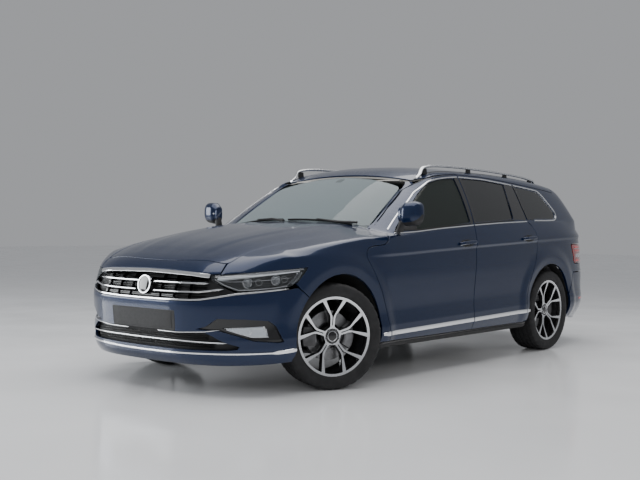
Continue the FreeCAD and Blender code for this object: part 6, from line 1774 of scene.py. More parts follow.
rb_side = at3("side", dense([(-1757, 638), (-1702, 540), (-1657, 468)], 9, False))
arc_r = [(RXC - AR * math.cos(t), 334.0 + AR * math.sin(t)) for t in np.linspace(math.radians(20.5), -math.asin(72.0 / AR), 14)]
rb_arch = at3("side", arc_r)
rb_low = rear3([(64, 232), (52, 214), (35, 205), (15, 202), (0, 202)], 12)
rb_top = rear3([(0, 644), (20, 643), (31.5, 640), (32.5, 637.5), (45, 637.5), (61, 637.5)], 9)
rb_half = np.concatenate([rb_top, rb_side, rb_arch[1:], rb_low])
rbh = wrap(D_REAR.to2(rb_half))
C2 = 2 * math.pi * D_REAR.R
rb_loop = np.concatenate([rbh, (np.stack([C2 - rbh[:, 0], rbh[:, 1]], 1))[::-1][1:-1]])
valence = [(0, 372), (24, 372), (40, 366), (50, 344), (54, 300), (50, 262), (36, 246), (15, 240), (0, 240)]
vh = wrap(D_REAR.to2(rear3(valence, 9)))
v_loop = np.concatenate([vh, (np.stack([C2 - vh[:, 0], vh[:, 1]], 1))[::-1][1:-1]])
g = grid2(1650, 4400, -420, 220, 19, 18)
panel("rear_bumper_skin", D_REAR, rb_loop, [v_loop], g, [M_PAINT, M_BLACK], depth=20, body="body", rep=["rear_bumper"], hole_gap=0.0, slot="paint", flange=16)
v2 = [(0, 380), (24, 380), (41, 374), (52, 350), (56, 300), (52, 254), (36, 238), (15, 232), (0, 232)]
vh = wrap(D_REAR.to2(rear3(v2, 10)))
v_loop2 = np.concatenate([vh, (np.stack([C2 - vh[:, 0], vh[:, 1]], 1))[::-1][1:-1]])
panel("rear_valence", D_REAR, v_loop2, [], grid2(1650, 4400, -420, 220, 26, 24), [M_BLACK], depth=4, lift=-9, body="body", slot="black")


def rstrip(name, pts, w, h, m, base=-6, taper=None, both=False, lift=0.0, slot="chrome"):
    q = dense_deg(pts, 9, False)
    Q, N, D = deg_post(q, -1400.0, True)
    sc = None
    if taper:
        t = np.linspace(0, 1, len(Q))
        sc = [(float(np.interp(v, taper[0], taper[1])), 1.0) for v in t]
    o = sweep(name, Q, N, bar(w, h, base=base), [m], "body", scale=sc, lift=lift, slot=slot)
    if both:
        other_side(o, name.replace("left", "right"), "body", slot=slot)
    return o


symr = lambda pts: [(-a, z) for a, z in reversed(pts) if a > 0] + list(pts)
rstrip("rear_chrome_strip", symr([(0, 356), (24, 356), (39, 351), (48, 334)]), 9, 2, M_CHROME, base=-12, taper=([0, 0.04, 0.96, 1], [0.3, 1, 1, 0.3]))
for i, z in enumerate((262, 276, 290)):
    rstrip("rear_rib_%d" % i, symr([(0, z), (22, z), (34, z + 4)]), 5, -3, M_GLOSSB, base=-12, slot="black")
# outlet surrounds, closed at the back
for s in (1, -1):
    pass
out_l = [(29, 326), (46, 320), (47.5, 300), (44, 286), (31, 284), (27.5, 304)]
q = dense_deg(rounded([(a * 15.7, z) for a, z in out_l], 8), 1, True) if False else None
lp = dense(rounded([(math.radians(a) * 900.0, z) for a, z in out_l], 9), 7)
lpd = np.stack([np.degrees(lp[:, 0] / 900.0), lp[:, 1]], 1)
Q, N, D = deg_post(lpd, -1400.0, True)
o = sweep("left_outlet_trim", Q, N, [(-5, -22), (-5.5, 3), (-2, 6), (3, 6), (5.5, 2), (5, -22)], [M_CHROME], "body", closed=True, slot="chrome")
other_side(o, "right_outlet_trim", "body", slot="chrome")
o = panel("left_outlet_inside", D_REAR, wrap(D_REAR.to2(deg_post(lpd, -1400.0, True)[0])), [], np.zeros((0, 2)), [M_GLOSSB], depth=3, lift=-16, r=0.5, gap=0.2, body="body",
          inner=False, slot="black")
other_side(o, "right_outlet_inside", "body")
# reflectors
rf = [(49.5, 412), (58.5, 412), (59, 394), (51, 394)]
lp = dense(rounded([(math.radians(a) * 900.0, z) for a, z in rf], 4), 7)
lpd = np.stack([np.degrees(lp[:, 0] / 900.0), lp[:, 1]], 1)
o = panel("left_rear_reflector", D_REAR, wrap(D_REAR.to2(deg_post(lpd, -1400.0, True)[0])), [], np.zeros((0, 2)), [M_REDL], depth=3, lift=2.4, r=1.2, gap=0, body="body",
          inner=False, slot="tail_glass")
other_side(o, "right_rear_reflector", "body")

# tail lamps
TLo = [(30.8, 884.5), (45, 884.5), (69.6, 883), (70.2, 876), (69.8, 840), (68.2, 790), (67.2, 740), (65.6, 719), (45, 718), (33.4, 718), (31.8, 800)]
TLo = [(36.4, 884), (45, 884.5), (69.6, 883), (70.2, 876), (69.8, 840), (68.2, 790), (67.2, 740), (65.6, 719), (45, 718), (36.8, 718.5), (36.0, 800)]


def rear_loop(pts, rad=5.0, step=7.0):
    lp = dense(rounded([(math.radians(a) * 900.0, z) for a, z in pts], rad), step)
    lpd = np.stack([np.degrees(lp[:, 0] / 900.0), lp[:, 1]], 1)
    return wrap(D_REAR.to2(deg_post(lpd, -1400.0, True)[0]))


gT = grid2(1700, 2700, 150, 460, 18, 16)
TL0 = [(33.6, 884), (45, 884.5), (69.6, 883), (70.2, 876), (69.8, 840), (68.2, 790), (67.2, 740), (65.6, 719), (45, 718), (34.6, 718.5), (33.4, 800)]
o = panel("left_tail_lamp_lens", D_REAR, rear_loop(TL0), [], gT, [M_REDG], depth=6, r=2.2, gap=1.4, body="body", rep=["tail_lamps"], slot="tail_glass")
other_side(o, "right_tail_lamp_lens", "body", ["tail_lamps"])
for i, (z0, z1, m_) in enumerate(((868, 850, M_REDL), (836, 818, M_REDL), (800, 770, M_LENSG), (752, 734, M_REDL))):
    pts = [(36.0, z0), (50, z0), (66.4 - i * 0.7, z0 + 1), (66.2 - i * 0.7, z1), (50, z1 - 1), (36.2, z1 - 1)]
    o = panel("left_tail_lamp_bar_%d" % i, D_REAR, rear_loop(pts, 4.0), [], np.zeros((0, 2)), [m_], depth=2.5, r=1.0, gap=0, lift=1.2, body="body", inner=False, slot="tail_glass")
    other_side(o, "right_tail_lamp_bar_%d" % i, "body")
rstrip("left_tail_lamp_line", [(35.0, 843), (50, 843.5), (67.5, 845)], 2.6, 2.6, M_CHROME, base=-1, both=True)
# the lamps' inner ends on the tailgate
yz = [(330, 880), (560, 880), (556, 800), (550, 722), (420, 730), (352, 770)]
lp = dense(rounded(yz, 12), 9)


def back3(L):
    O = np.stack([np.full(len(L), -1500.0), L[:, 0], L[:, 1]], 1)
    r = cast(O, np.tile([-1.0, 0, 0], (len(O), 1)))
    return O - r[:, None] * np.array([1.0, 0, 0])


def tail_piece(name, L, m_, lift, depth=3.0, slot="tail_glass", grid=None):
    o = panel(name, D_TAIL, D_TAIL.to2(back3(np.asarray(L))), [], grid if grid is not None else np.zeros((0, 2)), [m_], depth=depth, r=1.6, gap=0, lift=lift, body="tailgate",
              inner=False, slot=slot)
    return o


o = tail_piece("left_gate_lamp", lp, M_REDG, 3.0, grid=grid2(300, 600, 400, 900, 20, 18))
other_side(o, "right_gate_lamp", "tailgate")
for i, (a, b, z0, z1) in enumerate(((352, 545, 868, 851), (366, 540, 836, 819), (392, 536, 800, 776), (424, 534, 756, 740))):
    o = tail_piece("left_gate_lamp_bar_%d" % i, dense(rounded([(a, z0), (b, z0), (b - 1, z1), (a + 6, z1)], 4), 9), M_LENSG if i == 2 else M_REDL, 4.6, 2.0)
    other_side(o, "right_gate_lamp_bar_%d" % i, "tailgate")
# blank plate and its lip, bare disc, wiper
o = tail_piece("rear_plate_blank", dense(rounded([(-262, 706), (262, 706), (262, 818), (-262, 818)], 8), 14), M_PLATE, -15, 4, "black")
lipz = [(-320.0, 842.0), (-150, 845), (0, 846), (150, 845), (320, 842)]
L3 = back3(dense(lipz, 12, False))
Nn = normal(L3, F)
sweep("plate_lamp_lip", L3, Nn, [(-9, -20), (-10, 6), (-6, 10), (4, 10), (9, 4), (9, -20)], [M_CHROME], "tailgate", slot="chrome")
V, Fc, M = revolve("d", [(0.01, 6), (18, 5.6), (34, 4.6), (41, 3), (43, 5.6), (47, 5.6), (49, 3), (49.5, -8)], None, 64, mi=[0, 0, 0, 1, 1, 1, 1])
V = np.array(V)
b0 = back3(np.array([[0.0, 925.0]]))[0]
nb = normal(b0[None], F)[0]
nb = nb if nb[0] < 0 else -nb
sb = np.array([0, 1.0, 0])
ub = np.cross(nb, sb)
W = b0 + V[:, :1] * sb + V[:, 1:2] * ub + V[:, 2:3] * nb + nb * 5
o = new_mesh("tailgate_disc", W, Fc, [M_GLOSSB, M_CHROME], M, sharp=35)
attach(o, "tailgate")
# rear wiper
w0 = back3(np.array([[0.0, 1040.0], [20.0, 1075.0], [120.0, 1100.0], [230.0, 1112.0], [330.0, 1118.0]]))
Nn = normal(w0, F)
Nn = np.where((Nn[:, :1] > 0), -Nn, Nn)
sweep("rear_wiper_arm", w0 + Nn * 16, Nn, [(-7, -4), (-6, 4), (0, 6), (6, 4), (7, -4)], [M_BLACK], "tailgate", scale=[(1.3, 1.3), (1.2, 1.2), (0.9, 1), (0.8, 0.9), (0.6, 0.8)], slot="black")
bl = np.stack([np.linspace(60, 400, 24), 1102 + 14 * np.sin(np.linspace(0.3, 2.2, 24))], 1)
w1 = back3(bl)
Nn = normal(w1, F)
Nn = np.where((Nn[:, :1] > 0), -Nn, Nn)
sweep("rear_wiper_blade", w1 + Nn * 2, Nn, [(-2, -7), (-4, 3), (-2, 6), (2, 6), (4, 3), (2, -7)], [M_RUBBER], "tailgate", slot="black")
sweep("rear_window_top_lip", at3("top", [(-1700.0, y) for y in np.linspace(-560, 560, 50)]) + np.array([0, 0, -2.0]), np.tile([-0.3, 0, 0.95], (50, 1)),
      [(-34, -10), (-34, 2), (-20, 6), (0, 7), (22, 5), (30, 0), (26, -8)], [M_PAINT], "tailgate", slot="paint")
# high brake light
sweep("high_brake_light", at3("top", [(-1722.0, y) for y in np.linspace(-120, 120, 20)]) + np.array([-6.0, 0, -8.0]), np.tile([-0.8, 0, 0.4], (20, 1)),
      [(-6, -6), (-6, 3), (0, 4), (6, 3), (6, -6)], [M_REDL], "tailgate", slot="tail_glass")


# ---------------------------------------------------------------------------
# Mirrors, rails, cowl, wipers
# ---------------------------------------------------------------------------
def blob(name, fn, nu, nv, mats, mi=None, body="body", sharp=50, rep=(), slot=None, both=True, other_body=None):
    """A closed shell from fn(u, v), u round and v from one pole to the other."""
    V, Fc, M = [], [], []
    for j in range(nv + 1):
        for i in range(nu):
            V.append(fn(2 * math.pi * i / nu, j / nv))
    for j in range(nv):
        for i in range(nu):
            k = (i + 1) % nu
            Fc.append((j * nu + i, j * nu + k, (j + 1) * nu + k, (j + 1) * nu + i))
            M.append(mi(2 * math.pi * (i + 0.5) / nu, (j + 0.5) / nv) if mi else 0)
    V = np.array(V)
    n0 = len(V)
    Fc.append(tuple(range(nu))[::-1])
    Fc.append(tuple(nv * nu + i for i in range(nu)))
    M += [M[0], M[-1]]
    c = V.mean(0)
    f = np.array(Fc[:-2])
    nn = np.cross(V[f[:, 1]] - V[f[:, 0]], V[f[:, 3]] - V[f[:, 0]])
    if (nn * (V[f].mean(1) - c)).sum() < 0:
        Fc = [q[::-1] for q in Fc]
    o = new_mesh(name, V, Fc, mats, M, sharp=sharp)
    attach(o, body)
    if rep:
        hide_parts(*[r for r in rep])
    if slot:
        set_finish(o, slot)
    return o


def sp(t, e):
    return math.copysign(abs(t) ** e, t)


def mirror_shell(u, v):
    """Housing: along the y axis, rounder in front, cut flat at the back."""
    y = 872.0 + 163.0 * v
    w = 0.5 - 0.5 * math.cos(math.pi * min(1.0, v / 0.35)) if v < 0.35 else 1.0
    e = math.sqrt(max(0.0, 1 - max(0.0, (v - 0.55) / 0.45) ** 2.6))
    s = (0.62 + 0.38 * w) * (0.16 + 0.84 * e)
    hz = 84.0 * s * (1.0 - 0.05 * v)
    hx = 60.0 * s
    c, q = math.cos(u), math.sin(u)
    x = 866.0 - 22.0 * v + (hx * sp(c, 0.75) if c > 0 else hx * 0.78 * sp(c, 0.35))
    z = 1104.0 + hz * sp(q, 0.72) + 14.0 * v
    return (x, y, z)


for side, sg in (("left", 1), ("right", -1)):
    bd = side + "_front_door"

    def shell(u, v):
        x, y, z = mirror_shell(u, v)
        return (x, y * sg, z)
    o = blob(side + "_mirror_shell", shell, 48, 22, [M_PAINT, M_BLACK], lambda u, v: 1 if math.sin(u) < -0.62 else 0, bd, rep=[side + "_mirror"], slot="paint")

    def foot(u, v):
        c, q = math.cos(u), math.sin(u)
        x = 866.0 + 8 * (1 - v) + (34.0 - 10 * v) * sp(c, 0.8)
        y = 868.0 + 26.0 * v ** 1.4 + (14.0 + 12 * v) * sp(q, 0.8)
        z = 985.0 + 92.0 * v
        return (x, y * sg, z)
    blob(side + "_mirror_foot", foot, 28, 8, [M_BLACK], None, bd, slot="black")

    def lens(u, v):
        r = min(1.0, v / 0.9)
        k = (0.02 + 0.98 * r)
        y = 960.0 + 66.0 * k * sp(math.cos(u), 0.55)
        z = 1114.0 + 60.0 * k * sp(math.sin(u), 0.6)
        x = 816.0 - 0.03 * (y - 900) + (0.0 if v < 0.9 else 4.0)
        return (x, y * sg, z)
    blob(side + "_mirror_glass", lens, 40, 6, [M_CHROME], None, bd, slot="chrome")

    def turn_l(v0):
        return v0
    ys = np.linspace(890, 1016, 26)
    P = np.array([(866.0 - 22.0 * (y - 872) / 160 + 45.0 * (0.98 if y < 985 else math.sqrt(max(0.05, 1 - ((y - 960) / 72.0) ** 2.6))), y * sg, 1106.0) for y in ys])
    sweep(side + "_mirror_turn_light", P, np.tile([1.0, 0.25 * sg, 0.0], (26, 1)), bar(7, 3.5, base=-5), [M_LENSG], bd, slot="lamp_glass")

# roof rails
ZR0 = float(at3("top", [(300.0, 611.0)])[0][2])
ZR1 = float(at3("top", [(-1515.0, 604.0)])[0][2])
RP = [(312, 611, ZR0 - 3), (294, 611, ZR0 + 10), (270, 611.5, ZR0 + 27), (232, 611.5, 1458), (180, 610, 1471), (90, 608, 1481.5), (-60, 607, 1487), (-300, 606, 1488.5),
      (-600, 606, 1484.5), (-900, 606, 1476), (-1150, 606, 1465), (-1330, 605, 1453), (-1430, 604, 1441), (-1485, 604, max(ZR1 + 22, 1424)), (-1515, 604, ZR1 + 5)]
RPs = []
cx_ = [Curve([(i, p[k]) for i, p in enumerate(RP)]) for k in range(3)]
tt = np.linspace(0, len(RP) - 1, 120)
RPs = np.stack([c_(tt) for c_ in cx_], 1)
prof = [(14 * sp(math.cos(a), 0.7), 9.5 * sp(math.sin(a), 0.7)) for a in np.linspace(0, 2 * math.pi, 17)[:-1]]
sc = [(float(0.75 + 0.25 * min(1, 8 * t, 8 * (1 - t))), float(0.8 + 0.2 * min(1, 8 * t, 8 * (1 - t)))) for t in np.linspace(0, 1, 120)]
o = sweep("left_roof_rail", RPs, np.tile([0, 0.15, 1.0], (120, 1)), prof, [M_SATIN], "body", scale=sc, slot="satin")
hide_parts("roof_rails")
o2 = other_side(o, "right_roof_rail", "body", ["roof_rails"], slot="satin")
# feet of the rails
for i, x in enumerate((200, -420, -1000, -1430)):
    P0 = at3("top", [(float(x), 605.0)])[0]
    top = float(np.interp(-x, [-296, -200, -60, 60, 600, 1150, 1430, 1498], [1440, 1462, 1482, 1486, 1482, 1462, 1438, 1422]))

    def ft(u, v):
        return (x + (34 - 6 * v) * sp(math.cos(u), 0.8), 606 + (12 - 1 * v) * sp(math.sin(u), 0.8), P0[2] - 3 + (top - P0[2] - 2) * v)
    o = blob("left_rail_foot_%d" % i, ft, 24, 4, [M_BLACK], None, "body", slot="black")
    other_side(o, "right_rail_foot_%d" % i, "body", slot="black")
# roof seams
for s in (1, -1):
    P = at3("top", [(x, s * 606.0) for x in np.linspace(330, -1640, 90)])
    Nn = normal(P, F)
    sweep("roof_seam_%s" % ("l" if s > 0 else "r"), P, Nn, bar(12, 1.2, base=-3), [M_RUBBER], "body", slot="black")

# corner between hood, fender and windshield pillar
cp = [(909, 669.5), (904.5, 700), (907, 757), (927, 802), (951, 829), (930, 816), (893, 792), (868, 772), (858, 700), (866, 655.5), (890, 656)]
o = panel("left_pillar_base", D_TOP, dense(rounded(cp, 4), 8), [], grid2(860, 960, 640, 830, 14, 14), [M_PAINT], depth=10, r=1.5, gap=0.5, lift=-1.2, flange=3, body="body",
          inner=False, slot="paint", dmin=4)
other_side(o, "right_pillar_base", "body")
# cowl between hood and glass
YS = np.linspace(-668, 668, 74)
V, Fc = [], []
zb_ = Curve([(0, 1055), (300, 1052), (560, 1046), (651, 1044), (668, 1043)])
for y in YS:
    a = abs(y)
    zb = float(zb_(np.array([a]))[0])
    xg = 400.0 + float(cast(np.array([[400.0, y, zb + 6]]), np.array([[1.0, 0, 0]]), 900.0, screen_form)[0])
    xh = 1036.0 - 0.00032 * a * a if a < 600 else 921.0 - (a - 600) * 0.35
    row = [(xg - 6, y, zb + 2), (xg + 6, y, zb - 6), (xg + 18, y, zb - 13), (xg * 0.6 + xh * 0.4, y, zb - 18), (xg * 0.3 + xh * 0.7, y, zb - 26), (xh - 4, y, zb - 40), (xh + 14, y, zb - 62)]
    V += row
m = 7
Fc = [(i * m + j, i * m + j + 1, (i + 1) * m + j + 1, (i + 1) * m + j) for i in range(len(YS) - 1) for j in range(m - 1)]
o = new_mesh("cowl", V, [q[::-1] for q in Fc], [M_BLACK], sharp=50)
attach(o, "body")
for i in range(14):
    y0 = -560 + i * 80
    a = abs(y0)
    zb = float(zb_(np.array([a]))[0])
    xg = 400.0 + float(cast(np.array([[400.0, y0, zb + 6]]), np.array([[1.0, 0, 0]]), 900.0, screen_form)[0])
    xh = 1036.0 - 0.00032 * a * a
    P = np.array([(xg + 22, y0, zb - 11), (xg * 0.5 + xh * 0.5, y0, zb - 17), (xh - 8, y0, zb - 36)])
    sweep("cowl_rib_%d" % i, P, np.tile([0, 0, 1.0], (3, 1)), bar(12, 4, base=-3), [M_BLACK], "body", slot="black")


def wiper(name, y0, y1, v1):
    """Arm from its pivot on the cowl and a blade low on the glass."""
    py = y0
    zb = float(zb_(np.array([abs(py)]))[0])
    xg = 400.0 + float(cast(np.array([[400.0, py, zb + 6]]), np.array([[1.0, 0, 0]]), 900.0, screen_form)[0])
    ym = y0 + (y1 - y0) * 0.55
    L = np.array([(ym, v1), ((y0 + ym) / 2, (v1 + 96) / 2 + 4)])
    Q, N, D = D_SCR.at(np.array([(ym, v1), (y0 + (ym - y0) * 0.45, v1 * 0.6 + 100 * 0.4)]))
    P = np.array([(xg + 34, py, zb + 2), Q[1] + N[1] * 22, Q[0] + N[0] * 20])
    Nn = np.array([(0.2, 0, 1.0), N[1], N[0]])
    sweep(name + "_arm", P, Nn, [(-8, -4), (-7, 4), (0, 7), (7, 4), (8, -4)], [M_BLACK], "body", scale=[(1.4, 1.3), (1, 1), (0.7, 0.8)], slot="black")
    t = np.linspace(0, 1, 30)
    B2 = np.stack([y0 + (y1 - y0) * (0.06 + 0.94 * t), v1 + (t - 0.55) * -8 + 5 * np.sin(math.pi * t)], 1)
    Q, N, D = D_SCR.at(B2)
    sweep(name + "_blade", Q + N * 3, N, [(-1.5, -5), (-5, 4), (-4, 9), (0, 11), (4, 8), (3, 3), (1.5, -5)], [M_RUBBER], "body", slot="black")


wiper("left_wiper", 560, -40, 122)
wiper("right_wiper", -60, -575, 118)


# ---------------------------------------------------------------------------
# Cabin
# ---------------------------------------------------------------------------
def pad_box(name, cx, cy, cz, hx, hy, hz, e, shape, mats, body="body", rep=(), mi=None, nu=56, nv=24, tilt=0.0, slot="seat"):
    """A closed stuffed piece: a rounded box whose top is shaped by shape(a, b) and which leans by tilt."""
    V, Fc, M = [], [], []
    ct, st = math.cos(tilt), math.sin(tilt)
    for j in range(nv + 1):
        ph = -math.pi / 2 + math.pi * j / nv
        cz_, rr = sp(math.sin(ph), e[1]), max(1e-4, abs(math.cos(ph)) ** e[1])
        for i in range(nu):
            u = 2 * math.pi * i / nu
            a, b, c = sp(math.cos(u), e[0]) * rr, sp(math.sin(u), e[0]) * rr, cz_
            dx, dy, dz = shape(a, b, c)
            x, y, z = hx * a + dx, hy * b + dy, hz * c + dz
            V.append((cx + x * ct + z * st, cy + y, cz - x * st + z * ct))
    for j in range(nv):
        for i in range(nu):
            k = (i + 1) % nu
            Fc.append((j * nu + i, j * nu + k, (j + 1) * nu + k, (j + 1) * nu + i))
            M.append(mi(i, j, V[j * nu + i]) if mi else 0)
    V = np.array(V)
    Fc.append(tuple(range(nu))[::-1])
    Fc.append(tuple(nv * nu + i for i in range(nu)))
    M += [0, 0]
    o = new_mesh(name, V, Fc, mats, M, sharp=60)
    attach(o, body)
    if rep:
        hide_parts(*rep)
    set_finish(o, slot)
    return o


def groove(t, w):
    return math.exp(-(t / w) ** 2)


def cushion(a, b, c):
    up_ = max(0.0, c)
    bol = 26.0 * sstep1((abs(b) - 0.60) / 0.25) * up_
    g = -7.0 * (groove(abs(b) - 0.62, 0.035) + groove(a + 0.55, 0.03) + groove(a + 0.05, 0.03) + groove(a - 0.42, 0.03) * (abs(b) < 0.66)) * up_
    return (0, 0, bol + g + 10.0 * a * up_)


def backrest(a, b, c):
    f = max(0.0, a)
    bol = 30.0 * sstep1((abs(b) - 0.60) / 0.25) * f * (1 - 0.5 * max(0.0, c))
    g = -7.0 * (groove(abs(b) - 0.62, 0.035) + sum(groove(c - q, 0.022) for q in (-0.62, -0.30, 0.02, 0.34, 0.64)) * (abs(b) < 0.66)) * f
    return (bol + g, -sp(b, 1.0) * 26.0 * max(0.0, c) ** 2, 0)


def sstep1(t):
    t = min(1.0, max(0.0, t))
    return t * t * (3 - 2 * t)


def headr(a, b, c):
    return (8.0 * max(0.0, a) * (1 - c * c), 0, 0)


for side, sg in (("left", 1), ("right", -1)):
    cy = 375.0 * sg
    pad_box(side + "_seat_cushion", 165, cy, 440, 240, 238, 68, (0.42, 0.5), cushion, [M_SEAT, M_SEAT2], rep=["front_seats"],
            mi=lambda i, j, p: 1 if abs(p[1] - cy) < 150 and p[2] > 470 else 0)
    pad_box(side + "_seat_back", -118, cy, 745, 62, 232, 285, (0.5, 0.42), backrest, [M_SEAT, M_SEAT2], tilt=-0.30,
            mi=lambda i, j, p: 1 if abs(p[1] - cy) < 148 and 560 < p[2] < 960 else 0)
    pad_box(side + "_headrest", -205, cy, 1118, 46, 118, 74, (0.55, 0.55), headr, [M_SEAT], tilt=-0.2, nu=40, nv=18)
    for s in (-1, 1):
        P = np.array([(-192.0, cy + s * 52.0, 1010.0), (-197, cy + s * 52.0, 1050), (-203, cy + s * 52.0, 1095)])
        sweep(side + "_headrest_post_%d" % (s + 1), P, np.tile([1.0, 0, 0], (3, 1)), [(6 * math.cos(t), 6 * math.sin(t)) for t in np.linspace(0, 2 * math.pi, 13)[:-1]], [M_SATIN],
              "body", slot="satin")
    # seat base, rails
    for s in (-1, 1):
        P = np.array([(-60.0, cy + s * 190, 262.0), (360, cy + s * 190, 272)])
        sweep(side + "_seat_rail_%d" % (s + 1), P, np.tile([0, 0, 1.0], (2, 1)), bar(42, 20, base=-20), [M_IRON], "body", slot="steel")
    P = np.array([(-70.0, cy, 330.0), (0, cy, 325), (370, cy, 335)])
    sweep(side + "_seat_base", P, np.tile([0, 0, 1.0], (3, 1)), [(-225, -40), (-232, 30), (-215, 52), (215, 52), (232, 30), (225, -40), (205, -55), (-205, -55)], [M_TRIM], "body", slot="black")
    # belt
    P = np.array([(-150.0, sg * 655, 1190), (-170, sg * 610, 1060), (-60, sg * 500, 800), (60, sg * 300, 560)])
    bp = np.array([(-118.0, sg * 690.0, 1180.0), (-119, sg * 700, 1000), (-112, sg * 712, 760), (-105, sg * 716, 500)])
    sweep(side + "_belt", bp, np.tile([0, -1.0 * sg, 0.1], (4, 1)), bar(46, 1.6, base=-0.4), [M_TRIM2], "body", slot="black")


def bench(a, b, c):
    up_ = max(0.0, c)
    g = -8.0 * (groove(abs(b) - 0.33, 0.02) + groove(a + 0.45, 0.03) + groove(a - 0.35, 0.03)) * up_
    hump = 10.0 * sstep1((abs(abs(b) - 0.62) - 0.2) / 0.15) * up_
    return (0, 0, g + hump)


def bench_b(a, b, c):
    f = max(0.0, a)
    g = -8.0 * (groove(abs(b) - 0.33, 0.02) + sum(groove(c - q, 0.03) for q in (-0.5, 0.0, 0.5))) * f
    hump = 12.0 * sstep1((abs(abs(b) - 0.64) - 0.18) / 0.14) * f
    return (g + hump, 0, 0)


pad_box("rear_seat_cushion", -650, 0, 450, 235, 640, 78, (0.3, 0.45), bench, [M_SEAT, M_SEAT2], rep=["rear_seat"], nu=110, nv=22,
        mi=lambda i, j, p: 1 if (abs(abs(p[1]) - 410) < 140) and p[2] > 480 else 0)
pad_box("rear_seat_back", -930, 0, 760, 62, 640, 262, (0.3, 0.42), bench_b, [M_SEAT, M_SEAT2], tilt=-0.28, nu=110, nv=26,
        mi=lambda i, j, p: 1 if (abs(abs(p[1]) - 410) < 140) and 600 < p[2] < 950 else 0)
for i, y in enumerate((-430, 0, 430)):
    pad_box("rear_headrest_%d" % i, -1008, y, 1062, 36, 112 if y else 92, 52, (0.55, 0.55), headr, [M_SEAT], tilt=-0.2, nu=36, nv=16)

# steering wheel: rim, three arms, hub
sc_, ax_ = np.array([455.0, 370.0, 912.0]), np.array([-0.913545, 0, 0.406737])
sy = np.array([0, 1.0, 0])
sz_ = np.cross(ax_, sy)
sz_ = sz_ if sz_[2] > 0 else -sz_
rr = [c_ for c_ in np.linspace(0, 2 * math.pi, 73)[:-1]]
P = np.array([sc_ + sy * 180 * math.cos(t) + sz_ * 180 * (math.sin(t) if math.sin(t) > -0.86 else -0.86 - (abs(math.sin(t)) - 0.86) * 0.5) for t in rr])
Nn = np.tile(ax_, (72, 1))
o = sweep("steering_rim", P, Nn, [(14 * math.cos(t), 13 * math.sin(t)) for t in np.linspace(0, 2 * math.pi, 15)[:-1]], [M_SEAT], "steering_wheel", closed=True, slot="black")
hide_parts("steering_wheel")
for i, (t0, r0) in enumerate(((math.radians(8), 60), (math.radians(172), 60), (math.radians(-90), 50))):
    d0 = sy * math.cos(t0) + sz_ * math.sin(t0)
    P = np.array([sc_ + d0 * r for r in (36, 80, 120, 172 if i < 2 else 158)]) + ax_ * np.array([[4], [0], [-3], [-2]])
    sweep("steering_arm_%d" % i, P, np.tile(ax_, (4, 1)), bar(48 if i < 2 else 40, 9, base=-9), [M_BLACK if i < 2 else M_SATIN], "steering_wheel", scale=[(1.2, 1), (0.9, 1), (0.66, 1), (0.6, 0.9)], slot="black")
V, Fc, M = revolve("h", [(0.01, 26), (30, 25), (52, 20), (64, 10), (68, -4), (60, -22), (36, -40), (30, -62), (0.01, -64)], None, 48)
V = np.array(V)
W = sc_ + V[:, :1] * sy * 1.08 + V[:, 1:2] * sz_ * 0.92 + V[:, 2:3] * ax_
o = new_mesh("steering_hub", W, Fc, [M_TRIM], M, sharp=40)
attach(o, "steering_wheel")
for s in (1, -1):
    P = np.array([sc_ + sy * s * (40 + 22 * k) + sz_ * (46 + 10 * k) - ax_ * 34 for k in range(6)])
    sweep("column_stalk_%s" % ("l" if s > 0 else "r"), P, np.tile(ax_, (6, 1)), bar(13, 8, base=-5), [M_TRIM], "body", scale=[(1, 1)] * 4 + [(1.5, 1.2)] * 2, slot="black")

# dashboard details: instrument hood, display, vents, console pieces
P = np.array([(610.0, y, 950.0 + 22 * math.cos((y - 370) / 150.0 * math.pi / 2)) for y in np.linspace(225, 515, 24)])
sweep("instrument_hood", P, np.tile([0, 0, 1.0], (24, 1)), [(-70, -14), (-72, 2), (-60, 9), (60, 6), (80, -2), (80, -14)], [M_TRIM], "body", slot="black")
def slab3(name, c, hx, hy, hz, tilt, m_, body="body", slot="black", e=0.22):
    def fn(u, v):
        k = min(1.0, v * 5, (1 - v) * 5) ** 0.5 if 0 < v < 1 else 0.02
        a, b = sp(math.cos(u), e) * (0.86 + 0.14 * k), sp(math.sin(u), e) * (0.9 + 0.1 * k)
        x, y, z = hx * (2 * v - 1), hy * a, hz * b
        ct, st = math.cos(tilt), math.sin(tilt)
        return (c[0] + x * ct + z * st, c[1] + y, c[2] - x * st + z * ct)
    return blob(name, fn, 56, 6, [m_], None, body, slot=slot)


slab3("display_frame", (606, 0, 902), 9, 122, 66, 0.22, M_GLOSSB)
slab3("display_glass", (596.5, 0, 904), 2, 110, 56, 0.22, M_DISPLAY)
slab3("instrument_glass", (640, 370, 905), 3, 128, 48, 0.35, M_DISPLAY)
for i, y in enumerate((-560, -150, 150, 585)):
    slab3("vent_frame_%d" % i, (612, y, 858), 8, 66 if abs(y) < 400 else 58, 22, 0.15, M_SATIN)
    for k in range(4):
        P = np.array([(603.0, y - 52, 844.0 + 9 * k), (603, y + 52, 844 + 9 * k)])
        sweep("vent_slat_%d_%d" % (i, k), P, np.tile([-1.0, 0, 0.2], (2, 1)), bar(3, 6, base=-3), [M_BLACK], "body", slot="black")
P = np.array([(604.0, y, 880.0) for y in np.linspace(-640, 640, 60)])
sweep("dash_strip", P, np.tile([-1.0, 0, 0.15], (60, 1)), bar(9, 5, base=-8), [M_SATIN], "body", slot="satin")
slab3("shifter_knob", (330, 0, 610), 22, 19, 26, 0.0, M_SEAT, e=0.7)
P = np.array([(330.0, 0, 540.0), (330, 0, 565), (330, 0, 590)])
sweep("shifter_stem", P, np.tile([1.0, 0, 0], (3, 1)), [(7 * math.cos(t), 7 * math.sin(t)) for t in np.linspace(0, 2 * math.pi, 13)[:-1]], [M_SATIN], "body", slot="satin")
